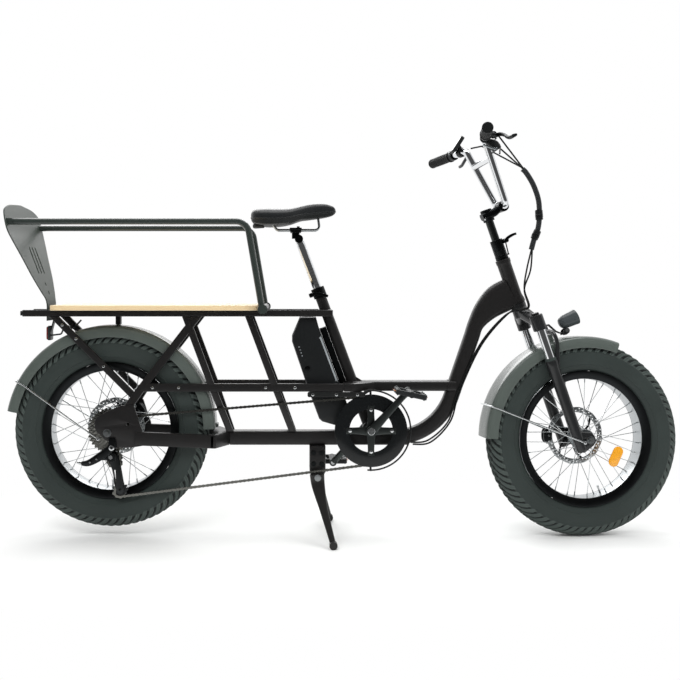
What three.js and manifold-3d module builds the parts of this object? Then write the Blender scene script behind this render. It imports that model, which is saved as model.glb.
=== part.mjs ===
// A longtail cargo bike: a long frame carries a child platform behind the rider,
// an electric rear hub, a battery behind the seat tube and a two-leg stand.
// Millimetres. +X is forward, +Y is the bike's left, +Z is up, and the ground is Z = 0.

import * as THREE from "three";
import { mergeVertices } from "three/addons/utils/BufferGeometryUtils.js";
import Module from "manifold-3d";

const wasm = await Module();
wasm.setup();
const { Manifold } = wasm;

// Driving dimensions

const wheelbase = 1461;
const frontAxleX = 743;
const tyreRadius = 302;
const tyreWidth = 98;
const standLift = 28;
const steerLean = 19;
const steerRest = 6;
const forkRake = 52;
const seatLean = 20.5;
const crankLength = 165;
const crankAngle = 48;
const bottomBracketX = 82;
const bottomBracketZ = 333;
const headBaseZ = 722;
const headLength = 143;
const fenderGap = 22;
const fenderTabGap = 1.5;
const fenderTabDrop = 26;
const rackTubeHeight = 20;
const rearHubSpan = 175;
const frontHubSpan = 135;
const chainLineY = -62;
const fit = 0.3;
const overrun = 40;
const flatness = 0.05;

const rearAxleX = frontAxleX - wheelbase;
const rearAxleZ = tyreRadius + standLift;
const frontAxleZ = tyreRadius;
const fenderCrown = tyreRadius + fenderGap;
const rackTopZ = rearAxleZ + fenderCrown + fenderTabGap + fenderTabDrop + rackTubeHeight;

// Finishes

function finish(color, roughness, metalness) {
  return new THREE.MeshStandardMaterial({ color, roughness, metalness });
}

const satinBlack = finish(0x2b2a29, 0.5, 0.1);
const glossBlack = finish(0x32383a, 0.25, 0.1);
const rubber = finish(0x2c322f, 0.85, 0);
const softGrip = finish(0x222222, 0.9, 0);
const plywood = finish(0xe2cfa8, 0.6, 0);
const chrome = finish(0xd8dadc, 0.15, 1);
const brushedAluminium = finish(0xb4b8ba, 0.4, 1);
const blackAluminium = finish(0x3a3c3c, 0.45, 0.6);
const batteryBlack = finish(0x1c2421, 0.45, 0);
const chainSteel = finish(0x5a5348, 0.4, 0.9);
const saddleBlack = finish(0x3c4040, 0.6, 0);
const amber = finish(0xe2a018, 0.3, 0);
const lampGrey = finish(0x3f4344, 0.3, 0.2);

// Scene graph

const bike = new THREE.Group();

// Facets that lie flat together are merged before a piece becomes a mesh.
function addPiece(parent, name, solid, material) {
  const mesh = solid.asOriginal().simplify(flatness).getMesh();
  const geometry = new THREE.BufferGeometry();
  geometry.setAttribute("position", new THREE.BufferAttribute(Float32Array.from(mesh.vertProperties), 3));
  geometry.setIndex(new THREE.BufferAttribute(Uint32Array.from(mesh.triVerts), 1));
  geometry.computeVertexNormals();
  const piece = new THREE.Mesh(geometry, material);
  piece.name = name;
  parent.add(piece);
  return piece;
}

// Solids from three.js geometries

const degrees = THREE.MathUtils.degToRad;
const vec = (x, y, z) => new THREE.Vector3(x, y, z);
const sides = [1, -1];
const sideName = (side) => (side > 0 ? "left" : "right");

function solidOf(geometry) {
  const bare = geometry.clone();
  bare.deleteAttribute("normal");
  bare.deleteAttribute("uv");
  const merged = mergeVertices(bare);
  const corners = [];
  for (let i = 0; i < merged.index.count; i += 3) {
    const [a, b, c] = [0, 1, 2].map((k) => merged.index.getX(i + k));
    if (a !== b && b !== c && c !== a) corners.push(a, b, c);
  }
  return facingOut(merged.attributes.position.array, corners);
}

// Faces listed the wrong way round give a negative volume, and are then turned over.
function facingOut(positions, corners) {
  const build = (order) =>
    new Manifold(
      new wasm.Mesh({ numProp: 3, vertProperties: Float32Array.from(positions), triVerts: Uint32Array.from(order) }),
    );
  const first = build(corners);
  return first.volume() > 0 ? first : build(corners.slice().reverse());
}

const join = (...solids) => Manifold.union(solids.flat());
const placed = (solid, matrix) => solid.transform(matrix.elements);
const moved = (solid, x, y, z) => solid.translate([x, y, z]);
const mirrored = (solid) => solid.mirror([0, 1, 0]);
const turned = (solid, axis, angle) => placed(solid, new THREE.Matrix4().makeRotationAxis(axis, angle));
const xAxis = vec(1, 0, 0);
const yAxis = vec(0, 1, 0);
const zAxis = vec(0, 0, 1);

// A flat outline drawn in X and Y, thickened from z = low to z = high.
function planPlate(points, low, high, holes = []) {
  const shape = new THREE.Shape(points.map(([x, y]) => new THREE.Vector2(x, y)));
  shape.holes = holes.map((hole) => new THREE.Path(hole.map(([x, y]) => new THREE.Vector2(x, y))));
  const geometry = new THREE.ExtrudeGeometry(shape, { depth: high - low, bevelEnabled: false });
  return moved(solidOf(geometry), 0, 0, low);
}

// The same outline drawn in X and Z, thickened from y = low to y = high.
function sidePlate(points, low, high, holes = []) {
  return moved(turned(planPlate(points, 0, high - low, holes), xAxis, Math.PI / 2), 0, high, 0);
}

// The same outline drawn in Y and Z, thickened from x = low to x = high.
function frontPlate(points, low, high, holes = []) {
  const upright = turned(planPlate(points, 0, high - low, holes), xAxis, Math.PI / 2);
  return moved(turned(upright, zAxis, Math.PI / 2), low, 0, 0);
}

function circle(radius, count, cx = 0, cy = 0) {
  return Array.from({ length: count }, (_, i) => {
    const angle = (i / count) * Math.PI * 2;
    return [cx + radius * Math.cos(angle), cy + radius * Math.sin(angle)];
  });
}

function rectangle(width, height) {
  return [[1, 1], [-1, 1], [-1, -1], [1, -1]].map(([a, b]) => [(a * width) / 2, (b * height) / 2]);
}

// A rectangle with corners cut in short steps, centred on the origin.
function roundedRectangle(width, height, corner, steps = 1) {
  const points = [];
  for (const [sx, sy, start] of [[1, 1, 0], [-1, 1, 90], [-1, -1, 180], [1, -1, 270]]) {
    for (let i = 0; i <= steps; i += 1) {
      const angle = degrees(start + (90 * i) / steps);
      points.push([
        sx * (width / 2 - corner) + corner * Math.cos(angle),
        sy * (height / 2 - corner) + corner * Math.sin(angle),
      ]);
    }
  }
  return points;
}

// A skin over rings of points: one ring for each place on the route, closed at both ends.
function skin(rings) {
  const count = rings[0].length;
  const positions = rings.flat().flatMap((p) => [p.x, p.y, p.z]);
  const index = [];
  for (let r = 0; r + 1 < rings.length; r += 1) {
    for (let i = 0; i < count; i += 1) {
      const a = r * count + i;
      const b = r * count + ((i + 1) % count);
      index.push(a, b, b + count, a, b + count, a + count);
    }
  }
  for (const [ring, flip] of [[0, true], [rings.length - 1, false]]) {
    const flat = flattened(rings[ring]);
    for (const [a, b, c] of THREE.ShapeUtils.triangulateShape(flat, [])) {
      const face = [a, b, c].map((k) => ring * count + k);
      index.push(...(flip ? face.reverse() : face));
    }
  }
  return facingOut(positions, index);
}

function flattened(ring) {
  const origin = ring[0];
  const u = ring[1].clone().sub(origin).normalize();
  let normal = vec(0, 0, 0);
  for (let i = 0; i < ring.length; i += 1) {
    const a = ring[i].clone().sub(origin);
    const b = ring[(i + 1) % ring.length].clone().sub(origin);
    normal.add(a.cross(b));
  }
  normal = normal.normalize();
  const v = normal.clone().cross(u);
  return ring.map((p) => new THREE.Vector2(p.clone().sub(origin).dot(u), p.clone().sub(origin).dot(v)));
}

// Sections drawn across a route. A section's first axis lies along the bike's width
// where the route allows it, and its second axis points up or forward.
function loft(route, sectionAt, across = yAxis) {
  let side = across.clone();
  const rings = route.map((point, i) => {
    const before = route[Math.max(i - 1, 0)];
    const after = route[Math.min(i + 1, route.length - 1)];
    const back = point.clone().sub(before).normalize();
    const ahead = after.clone().sub(point).normalize();
    const tangent = back.add(ahead).normalize();
    side = side.sub(tangent.clone().multiplyScalar(side.dot(tangent))).normalize();
    const up = tangent.clone().cross(side);
    return sectionAt(i).map(([a, b]) => point.clone().addScaledVector(side, a).addScaledVector(up, b));
  });
  return skin(rings);
}

const tube = (route, radius, count = 8) => loft(route, () => circle(radius, count), acrossOf(route));
const rod = (from, to, radius, count = 8) => tube([from, to], radius, count);
const pipe = (from, to, outer, inner, count = 16) =>
  rod(from, to, outer, count).subtract(lengthened(from, to, inner, count));

function acrossOf(route) {
  const run = route[1].clone().sub(route[0]).normalize();
  return Math.abs(run.y) > Math.SQRT1_2 ? zAxis : yAxis;
}

function lengthened(from, to, radius, count) {
  const extra = to.clone().sub(from).normalize().multiplyScalar(overrun);
  return rod(from.clone().sub(extra), to.clone().add(extra), radius, count);
}

// A bar of rounded rectangular section: width lies along Y, or along Z when the bar itself runs along Y.
const bar = (from, to, width, height, corner) =>
  loft([from, to], () => roundedRectangle(width, height, corner), acrossOf([from, to]));

// A route whose corners are rounded by arcs of one radius.
function rounded(points, radius, steps = 4) {
  const route = [points[0]];
  for (let i = 1; i + 1 < points.length; i += 1) {
    const inward = points[i - 1].clone().sub(points[i]).normalize();
    const outward = points[i + 1].clone().sub(points[i]).normalize();
    const half = inward.angleTo(outward) / 2;
    const bisector = inward.clone().add(outward).normalize();
    const centre = points[i].clone().addScaledVector(bisector, radius / Math.sin(half));
    const start = points[i].clone().addScaledVector(inward, radius / Math.tan(half)).sub(centre);
    const end = points[i].clone().addScaledVector(outward, radius / Math.tan(half)).sub(centre);
    const turn = start.angleTo(end);
    for (let k = 0; k <= steps; k += 1) {
      const share = k / steps;
      const a = Math.sin((1 - share) * turn) / Math.sin(turn);
      const b = Math.sin(share * turn) / Math.sin(turn);
      route.push(centre.clone().addScaledVector(start, a).addScaledVector(end, b));
    }
  }
  route.push(points[points.length - 1]);
  return route;
}

// A profile of [radius, y] points turned about an axis along Y.
const lathe = (profile, count) =>
  solidOf(new THREE.LatheGeometry(profile.map(([r, y]) => new THREE.Vector2(r, y)), count));
const disc = (radius, low, high, count, bore = 0) =>
  bore > 0
    ? lathe([[bore, low], [radius, low], [radius, high], [bore, high], [bore, low]], count)
    : lathe([[0, low], [radius, low], [radius, high], [0, high]], count);
const upright = (solid) => turned(solid, xAxis, Math.PI / 2);

// A closed section of [radius, y] points swept round an axle from one angle to another.
function arcSweep(section, from, to, steps) {
  const rings = Array.from({ length: steps + 1 }, (_, i) => {
    const angle = degrees(from + ((to - from) * i) / steps);
    return section.map(([r, y]) => vec(r * Math.cos(angle), y, r * Math.sin(angle)));
  });
  return skin(rings);
}

const at = (solid, x, z) => moved(solid, x, 0, z);

// The radius of a hole of few sides that clears a round rod, whichever way its corners point.
const roomFor = (radius, count) => (radius + fit) / Math.cos(Math.PI / count);

// Steering frame: W runs up the steering axis from the head tube's foot, U points forward

const steerAngle = degrees(steerLean);
const steerFootX = frontAxleX - forkRake / Math.cos(steerAngle) - (headBaseZ - frontAxleZ) * Math.tan(steerAngle);
const steerFrame = new THREE.Group();
steerFrame.position.set(steerFootX, 0, headBaseZ);
steerFrame.rotation.y = -steerAngle;
steerFrame.updateMatrix();
bike.add(steerFrame);
const steered = new THREE.Group();
steered.rotation.z = degrees(steerRest);
steerFrame.add(steered);

const axleRise = -(frontAxleX - steerFootX) * Math.sin(steerAngle) + (frontAxleZ - headBaseZ) * Math.cos(steerAngle);
const frontAxle = vec(forkRake, 0, axleRise);

// A point on the seat tube's axis at a given height, and a point on the steering axis
const seatAngle = degrees(seatLean);
const seatAxisX = (z) => bottomBracketX - (z - bottomBracketZ) * Math.tan(seatAngle);
const seatPoint = (z, y = 0) => vec(seatAxisX(z), y, z);
const alongSeat = vec(-Math.sin(seatAngle), 0, Math.cos(seatAngle));
const behindSeat = vec(-Math.cos(seatAngle), 0, -Math.sin(seatAngle));

// A piece cut back where it would meet others that are already made.
const clearOf = (solid, ...others) => solid.subtract(join(others));

// Wheels: aluminium rims on crossed spokes, with fat 20 inch tyres

const tyreDepth = 93;
const rimDepth = 25;
const rimOuter = tyreRadius - tyreDepth;
const rimInner = rimOuter - rimDepth;
const rimWidth = 84;
const rimWall = 4;
const rimWellDepth = 9;
const spokeRadius = 1.1;
const spokeCount = 36;
const spokeSides = 3;
const tyreWall = 6;
const rotorOuter = 90;
const rotorInner = 75;
const rotorThickness = 2;
const rearRotorY = 62;
const frontRotorY = 51;
const axleRadius = 6;
const tyreSteps = 36;

function tyre() {
  const crown = tyreWidth / 2;
  const bulgeShares = [[0.02, 0.8], [0.42, 1], [0.8, 0.82], [1, 0.26]];
  const outerHalf = bulgeShares.map(([rise, width]) => [
    rimOuter + rise * (tyreRadius - rimOuter) + fit,
    width * crown,
  ]);
  const inner = crown * bulgeShares[0][1] - tyreWall;
  const innerHalf = [
    [tyreRadius - tyreWall, 0],
    [rimOuter + fit, inner],
  ];
  const profile = [
    ...outerHalf.map(([r, y]) => [r, -y]),
    ...outerHalf.slice().reverse(),
    ...innerHalf.slice().reverse(),
    ...innerHalf.slice(1).map(([r, y]) => [r, -y]),
  ];
  return lathe([...profile, profile[0]].reverse(), tyreSteps);
}

function rim() {
  const half = rimWidth / 2;
  const profile = [
    [rimInner, -half + rimWall * 2], [rimInner, half - rimWall * 2], [rimOuter, half],
    [rimOuter - rimWellDepth, half - rimWall * 2], [rimOuter - rimWellDepth, -half + rimWall * 2],
    [rimOuter, -half],
  ];
  return lathe([...profile, profile[0]], spokeCount);
}

// Spokes leave the hub flange on a tangent and cross their neighbours on the way out.
function spokes(flangeRadius, flangeY, apart) {
  const crossing = degrees(46);
  const spread = rimWidth / 8;
  return Array.from({ length: spokeCount }, (_, i) => {
    const side = i % 2 ? 1 : -1;
    const lean = Math.floor(i / 2) % 2 ? 1 : -1;
    const rimAngle = ((i + 0.5) / spokeCount) * Math.PI * 2;
    const hubAngle = rimAngle + lean * crossing;
    const hubY = side * (flangeY + lean * apart);
    const from = vec(flangeRadius * Math.cos(hubAngle), hubY, flangeRadius * Math.sin(hubAngle));
    const reach = rimInner + rimWall;
    const to = vec(reach * Math.cos(rimAngle), side * spread, reach * Math.sin(rimAngle));
    return rod(from, to, spokeRadius, spokeSides);
  });
}

// The brake disc is a ring on six swept arms, fixed to the hub's left end. The axle's room is cut later.
function rotor(boltCircle, rotorY) {
  const armCount = 5;
  const armWidth = 7;
  const sweep = degrees(28);
  const low = rotorY - rotorThickness / 2;
  const high = rotorY + rotorThickness / 2;
  const ring = disc(rotorOuter, low, high, 20, rotorInner);
  const carrier = disc(boltCircle, low - rotorThickness, high, 10);
  const arms = Array.from({ length: armCount }, (_, i) => {
    const angle = (i / armCount) * Math.PI * 2;
    const from = vec((boltCircle - armWidth) * Math.cos(angle), rotorY, (boltCircle - armWidth) * Math.sin(angle));
    const reach = rotorInner + armWidth / 2;
    const to = vec(reach * Math.cos(angle + sweep), rotorY, reach * Math.sin(angle + sweep));
    return loft([from, to], () => rectangle(rotorThickness * 0.8, armWidth));
  });
  return join(ring, carrier, arms);
}

// A hub is turned: its flanges stand on a barrel.
function hub(profile, count) {
  const ends = profile.map(([, y]) => y);
  return lathe([[0, Math.min(...ends)], ...profile, [0, Math.max(...ends)]], count);
}

const frontFlangeRadius = 29;
const frontFlangeY = 33;
const frontBarrel = 17;
const flangeThickness = 6;
const frontSpokeApart = 2.2;
const rearSpokeApart = 3;
const rearShell = 66;
const rearShellHalf = 36;
const rearFlangeY = 30;
const rotorBolts = 27;

function frontHub() {
  const end = frontHubSpan / 2 - fit - 4;
  const flange = frontFlangeY + flangeThickness;
  return hub(
    [
      [frontBarrel, -end], [frontFlangeRadius, -flange], [frontFlangeRadius, -frontFlangeY],
      [frontBarrel, -frontFlangeY + frontBarrel], [frontBarrel, frontFlangeY - frontBarrel],
      [frontFlangeRadius, frontFlangeY], [frontFlangeRadius, flange], [frontBarrel, end],
    ],
    10,
  );
}

// The rear hub holds a geared motor, so its shell is a wide drum.
function rearHub() {
  const bevel = 8;
  const neck = 20;
  const leftEnd = rearHubSpan / 2 - 12;
  return hub(
    [
      [neck, -rearShellHalf - flangeThickness / 2], [rearShell - bevel, -rearShellHalf],
      [rearShell, -rearShellHalf + bevel], [rearShell, rearShellHalf - bevel],
      [rearShell - bevel, rearShellHalf], [neck, rearShellHalf + flangeThickness], [neck, leftEnd],
    ],
    18,
  );
}

function wheel(hubSolid, flangeRadius, flangeY, apart, rotorY) {
  const axleRoom = disc(roomFor(axleRadius, 8), -rearHubSpan, rearHubSpan, 8);
  return join(rim(), spokes(flangeRadius, flangeY, apart), hubSolid, rotor(rotorBolts, rotorY)).subtract(axleRoom);
}

const onFrontAxle = (solid) => moved(solid, frontAxle.x, 0, frontAxle.z);
const onRearAxle = (solid) => moved(solid, rearAxleX, 0, rearAxleZ);
const frontWheel = wheel(
  frontHub(), frontFlangeRadius - spokeRadius * 2, frontFlangeY + flangeThickness / 2, frontSpokeApart, frontRotorY,
);
const rearWheel = wheel(
  rearHub(), rearShell - spokeRadius * 2, rearFlangeY - flangeThickness, rearSpokeApart, rearRotorY,
);
addPiece(steered, "front_wheel", onFrontAxle(frontWheel), brushedAluminium);
addPiece(steered, "front_tyre", onFrontAxle(tyre()), rubber);
addPiece(bike, "rear_wheel", onRearAxle(rearWheel), brushedAluminium);
addPiece(bike, "rear_tyre", onRearAxle(tyre()), rubber);

// Spoke reflector: an amber oval clipped between the front spokes

const reflectorLength = 66;
const reflectorWidth = 32;
const reflectorThickness = 5;
const reflectorRadius = 132;
const reflectorBearing = -38;
const reflectorTilt = 70;
const reflectorFaceY = -21.6;

function spokeReflector() {
  const end = reflectorWidth / 2;
  const straight = (reflectorLength - reflectorWidth) / 2;
  const outline = [1, -1].flatMap((way) =>
    Array.from({ length: 6 }, (_, i) => {
      const angle = degrees(-90 + 36 * i);
      return [way * (straight + end * Math.cos(angle)), way * end * Math.sin(angle)];
    }),
  );
  const low = reflectorFaceY - reflectorThickness;
  const plate = turned(sidePlate(outline, low, reflectorFaceY), yAxis, -degrees(reflectorTilt));
  const bearing = degrees(reflectorBearing);
  return at(plate, reflectorRadius * Math.cos(bearing), reflectorRadius * Math.sin(bearing));
}

const clearOfWheel = (solid) => solid.subtract(frontWheel);
addPiece(steered, "spoke_reflector", onFrontAxle(clearOfWheel(spokeReflector())), amber);

// Front frame: head tube, hydroformed down tube, seat tube, main bar, lower bar and bottom bracket shell

const headTubeRadius = 21.5;
const headTubeFlare = 25.5;
const headFlareHeight = 26;
const steererRadius = 15;
const seatTubeRadius = 17;
const seatTubeTopZ = 750;
const seatpostRadius = 14;
const seatBoreDepth = 380;
const bottomShellRadius = 21;
const bottomShellHalf = 36.5;
const spindleRadius = 11;
const downTubeRadius = 23;
const downTubeLean = 18.9;
const downStraightX = 402;
const downStraightZ = 622;
const neckReach = 119;
const neckDrop = 131;
const lowerBendRadius = 190;
const mainBarWidth = 60;
const mainBarHeight = 30;
const mainBarZ = 464.5;
const mainBarCorner = 7;
const sideTubeY = 65;
const sideTubeWidth = 14;
const sideTubeHeight = 24.5;
const yokeRearX = -2;
const yokeFrontX = 92;
const yokeShoulderX = 30;
const lowerBarWidth = 50;
const lowerBarHeight = 43;
const lowerBarZ = 303.5;
const lowerBarAhead = 366;
const lowerBarRearX = rearAxleX + lowerBarAhead;
const lowerBarFrontX = 200;
const tubeCorner = 3;

const intoFrame = (solid) => placed(solid, steerFrame.matrix);

// The down tube is tall where it meets the head tube and runs out round, then bends under the crank.
function downTube() {
  const lean = Math.tan(degrees(downTubeLean));
  const neckShares = [[0, 0, 2.1], [0.345, 0.168, 2.05], [0.663, 0.43, 1.56], [0.9, 0.741, 1.06], [1, 1, 1]];
  const neck = neckShares.map(([reach, drop]) =>
    vec(downStraightX + (1 - reach) * neckReach, 0, downStraightZ + (1 - drop) * neckDrop),
  );
  const cornerX = downStraightX - lean * (downStraightZ - lowerBarZ);
  const bend = rounded(
    [neck[neck.length - 1], vec(cornerX, 0, lowerBarZ), vec(bottomBracketX, 0, lowerBarZ)],
    lowerBendRadius,
    6,
  );
  const route = [...neck, ...bend.slice(1)];
  return loft(route, (i) => {
    const swell = neckShares[Math.min(i, neckShares.length - 1)][2];
    return roundedRectangle(downTubeRadius * 2, downTubeRadius * 2 * swell, downTubeRadius * 0.6);
  });
}

function headTube() {
  return upright(
    lathe(
      [
        [0, 0], [headTubeFlare, 0], [headTubeFlare, headFlareHeight / 3], [headTubeRadius, headFlareHeight],
        [headTubeRadius, headLength], [0, headLength],
      ],
      16,
    ),
  );
}

function mainBar() {
  const yoke = planPlate(
    [
      [yokeRearX, -sideTubeY - sideTubeWidth / 2], [yokeShoulderX, -sideTubeY - sideTubeWidth / 2],
      [yokeFrontX, -mainBarWidth / 2], [yokeFrontX, mainBarWidth / 2],
      [yokeShoulderX, sideTubeY + sideTubeWidth / 2], [yokeRearX, sideTubeY + sideTubeWidth / 2],
    ],
    mainBarZ - sideTubeHeight / 2,
    mainBarZ + sideTubeHeight / 2,
  );
  const frontX = downStraightX - Math.tan(degrees(downTubeLean)) * (downStraightZ - mainBarZ);
  const beam = bar(vec(yokeShoulderX, 0, mainBarZ), vec(frontX, 0, mainBarZ), mainBarWidth, mainBarHeight, mainBarCorner);
  return join(yoke, beam);
}

function seatTube() {
  const foot = seatPoint(bottomBracketZ);
  const top = seatPoint(seatTubeTopZ);
  const gusset = sidePlate(
    [
      [seatAxisX(mainBarZ), mainBarZ], [seatAxisX(mainBarZ) + seatTubeRadius * 3, mainBarZ],
      [seatAxisX(mainBarZ + seatTubeRadius * 3), mainBarZ + seatTubeRadius * 3],
    ],
    -seatTubeRadius / 2,
    seatTubeRadius / 2,
  );
  return join(rod(foot, top, seatTubeRadius, 16), gusset);
}

function frontFrame() {
  const shell = rod(
    vec(bottomBracketX, -bottomShellHalf, bottomBracketZ),
    vec(bottomBracketX, bottomShellHalf, bottomBracketZ),
    bottomShellRadius,
    16,
  );
  const lowerBar = bar(
    vec(lowerBarRearX, 0, lowerBarZ), vec(lowerBarFrontX, 0, lowerBarZ), lowerBarWidth, lowerBarHeight, mainBarCorner,
  );
  const solid = join(intoFrame(headTube()), downTube(), mainBar(), seatTube(), shell, lowerBar);
  const steererBore = intoFrame(rod(vec(0, 0, -overrun), vec(0, 0, headLength + overrun), roomFor(steererRadius, 14), 14));
  const boreFoot = seatPoint(seatTubeTopZ).addScaledVector(alongSeat, -seatBoreDepth);
  const postBore = rod(boreFoot, seatPoint(seatTubeTopZ + overrun), roomFor(seatpostRadius, 14), 14);
  const spindleBore = rod(
    vec(bottomBracketX, -bottomShellHalf - overrun, bottomBracketZ),
    vec(bottomBracketX, bottomShellHalf + overrun, bottomBracketZ),
    roomFor(spindleRadius, 12),
    12,
  );
  const crownRoom = intoFrame(upright(disc(headTubeFlare * 1.4, -headFlareHeight * 3, 0, 12)));
  return solid.subtract(join(steererBore, postBore, spindleBore, crownRoom));
}

const frontFrameSolid = frontFrame();
addPiece(bike, "frame_front", frontFrameSolid, satinBlack);

// Rear frame stays: a yoke behind the lower bar, two chainstays and slotted dropout plates

const stayWidth = 8;
const stayY = rearHubSpan / 2 + stayWidth / 2;
const stayTubeWidth = 15;
const stayHeight = 41;
const stayRearDrop = 17;
const stayRearZ = rearAxleZ - stayRearDrop;
const yokeLength = 52;
const dropoutHeight = 130;
const dropoutLength = 140;
const axleEnd = 14;
const nutRadius = 10;

// The plate runs from the strut's foot round the axle slot to the chainstay.
function dropoutPlate(side) {
  const shares = [
    [0.3, 0.64], [-0.25, 0.34], [-0.27, 0.12], [-0.14, -0.04], [-0.05, -0.16], [0.07, -0.14],
    [0.1, -0.34], [0.52, -0.34], [0.76, -0.3], [0.74, 0.1], [0.56, 0.64],
  ];
  const outline = shares.map(([x, z]) => [rearAxleX + x * dropoutLength, rearAxleZ + z * dropoutHeight]);
  const inner = rearHubSpan / 2;
  const low = side > 0 ? inner : -inner - stayWidth;
  return sidePlate(outline, low, low + stayWidth);
}

function chainstay(side) {
  const y = side * stayY;
  const front = vec(lowerBarRearX - yokeLength + stayTubeWidth / 2, y, lowerBarZ);
  const rear = vec(rearAxleX + dropoutLength * 0.6, y, stayRearZ);
  return bar(front, rear, stayTubeWidth, stayHeight, tubeCorner);
}

// The rear axle is clamped in the dropouts by a nut at each end.
function rearAxle() {
  const end = rearHubSpan / 2 + stayWidth;
  const shaft = rod(vec(0, -end - axleEnd, 0), vec(0, end + axleEnd, 0), axleRadius, 8);
  const nuts = sides.map((side) => rod(vec(0, side * end, 0), vec(0, side * (end + axleEnd / 2), 0), nutRadius, 6));
  return onRearAxle(join(shaft, nuts));
}

function frameStays() {
  const front = lowerBarRearX - fit;
  const rear = front - yokeLength;
  const wide = stayY + stayTubeWidth / 2;
  const narrow = lowerBarWidth / 2;
  const plan = [
    [front, -narrow], [front, narrow], [rear + stayTubeWidth, wide], [rear, wide],
    [rear, -wide], [rear + stayTubeWidth, -wide],
  ];
  const yoke = planPlate(plan, lowerBarZ - stayHeight / 2, lowerBarZ + stayHeight / 2);
  return join(yoke, sides.map(chainstay), sides.map(dropoutPlate), rearAxle());
}

const staysSolid = frameStays();
addPiece(bike, "frame_stays", staysSolid, satinBlack);

// Frame sides: on each side a main tube carries the rack on three leaning struts

const strutHeight = 20.5;
const sideTubeAhead = 96;
const rearStrutBehind = 167.5;
const nodeStrutAhead = 284;
const sideTubeRearX = rearAxleX + sideTubeAhead;
const rearStrutTopX = rearAxleX - rearStrutBehind;
const nodeStrutTopX = rearAxleX + nodeStrutAhead;
const footStrutY = 18;
const strutOffsets = { middle: -435.5, front: -243 };

const rackUnderside = rackTopZ - rackTubeHeight - fit;

function strutX(offset, z) {
  return seatAxisX(z) + offset;
}

// The middle and front struts lie parallel to the seat tube and draw in to the lower bar.
function leaningStrut(side, offset) {
  const top = rackTopZ;
  const foot = lowerBarZ + lowerBarHeight / 2;
  const knee = mainBarZ + sideTubeHeight / 4;
  return loft(
    [
      vec(strutX(offset, top), side * sideTubeY, top),
      vec(strutX(offset, knee), side * sideTubeY, knee),
      vec(strutX(offset, foot - rackTubeHeight), side * footStrutY, foot - rackTubeHeight),
    ],
    () => rectangle(sideTubeWidth, strutHeight),
  );
}

// The diagonal strut drops from the rack through the middle strut to the dropout plate.
function diagonalStrut(side) {
  const tubeRear = vec(sideTubeRearX, side * sideTubeY, mainBarZ - sideTubeHeight / 4);
  const top = vec(nodeStrutTopX, side * sideTubeY, rackTopZ);
  const foot = vec(rearAxleX + dropoutLength * 0.38, side * stayY, rearAxleZ + dropoutHeight * 0.5);
  return loft([top, tubeRear, foot], () => rectangle(sideTubeWidth, strutHeight * 1.15));
}

function frameSide(side) {
  const y = side * sideTubeY;
  const mainTube = bar(
    vec(sideTubeRearX, y, mainBarZ), vec(yokeRearX - fit, y, mainBarZ), sideTubeWidth, sideTubeHeight, tubeCorner,
  );
  const rise = rackTopZ - mainBarZ + sideTubeHeight;
  const rearStrut = loft(
    [
      vec(rearStrutTopX - rackTubeHeight, y, rackTopZ),
      vec(rearStrutTopX - rackTubeHeight + rise, y, rackTopZ - rise),
    ],
    () => rectangle(sideTubeWidth, strutHeight),
  );
  const solid = join(
    mainTube, rearStrut, diagonalStrut(side),
    leaningStrut(side, strutOffsets.middle), leaningStrut(side, strutOffsets.front),
  );
  const rackSpace = planPlate(
    [[rearAxleX - wheelbase, -wheelbase], [wheelbase, -wheelbase], [wheelbase, wheelbase], [rearAxleX - wheelbase, wheelbase]],
    rackUnderside,
    rackTopZ + overrun,
  );
  const lowerSpace = planPlate(
    [
      [lowerBarRearX - yokeLength - fit, -lowerBarWidth], [lowerBarFrontX, -lowerBarWidth],
      [lowerBarFrontX, lowerBarWidth], [lowerBarRearX - yokeLength - fit, lowerBarWidth],
    ],
    lowerBarZ - overrun,
    lowerBarZ + lowerBarHeight / 2 + fit,
  );
  const low = side > 0 ? rearHubSpan / 2 - fit : -rearHubSpan / 2 - stayWidth - fit;
  const plateTop = rearAxleZ + dropoutHeight * 0.64 + fit;
  const plateSpace = sidePlate(
    [
      [rearAxleX - dropoutLength, plateTop], [rearAxleX - dropoutLength, rearAxleZ - dropoutHeight],
      [rearAxleX + dropoutLength, rearAxleZ - dropoutHeight], [rearAxleX + dropoutLength, plateTop],
    ],
    low - overrun,
    low + stayWidth + overrun,
  );
  return solid.subtract(join(rackSpace, lowerSpace, plateSpace));
}

for (const side of sides) addPiece(bike, `frame_side_${sideName(side)}`, frameSide(side), satinBlack);

// Rack: two long tubes under the deck, tied across and bolted to the seat tube

const rackBehind = 270;
const rackRearX = rearAxleX - rackBehind;
const rackFrontX = -36;
const rackCapLength = 10;
const rackCrossAheads = [-175, 18];
const rackCrossXs = rackCrossAheads.map((ahead) => rearAxleX + ahead);
const rackCrossLength = 16;
const rackClampFront = -34;
const rackClampRear = -78;
const rackClampHalfWidth = 71;
const deckFrontX = -262.7;
const railCrossAhead = 17.7;
const railCrossX = deckFrontX + railCrossAhead;
const railCrossRadius = 11;
const railCrossHalf = 190;
const railY = 180;
const fenderTabX = rackCrossXs[1];
const fenderTabHalf = 12;
const boltRadius = 4.5;
const boltHead = 3;

function rackTube(side) {
  const y = side * sideTubeY;
  const z = rackTopZ - rackTubeHeight / 2;
  const tubeBody = bar(
    vec(rackRearX + rackCapLength, y, z), vec(rackFrontX, y, z), sideTubeWidth, rackTubeHeight, tubeCorner,
  );
  const cap = bar(
    vec(rackRearX, y, z), vec(rackRearX + rackCapLength, y, z), sideTubeWidth * 0.7, rackTubeHeight * 0.7, tubeCorner,
  );
  return join(tubeBody, cap);
}

function rackCross(x) {
  const z = rackTopZ - rackTubeHeight / 2;
  return bar(vec(x, -sideTubeY, z), vec(x, sideTubeY, z), rackTubeHeight, rackCrossLength, tubeCorner);
}

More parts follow.
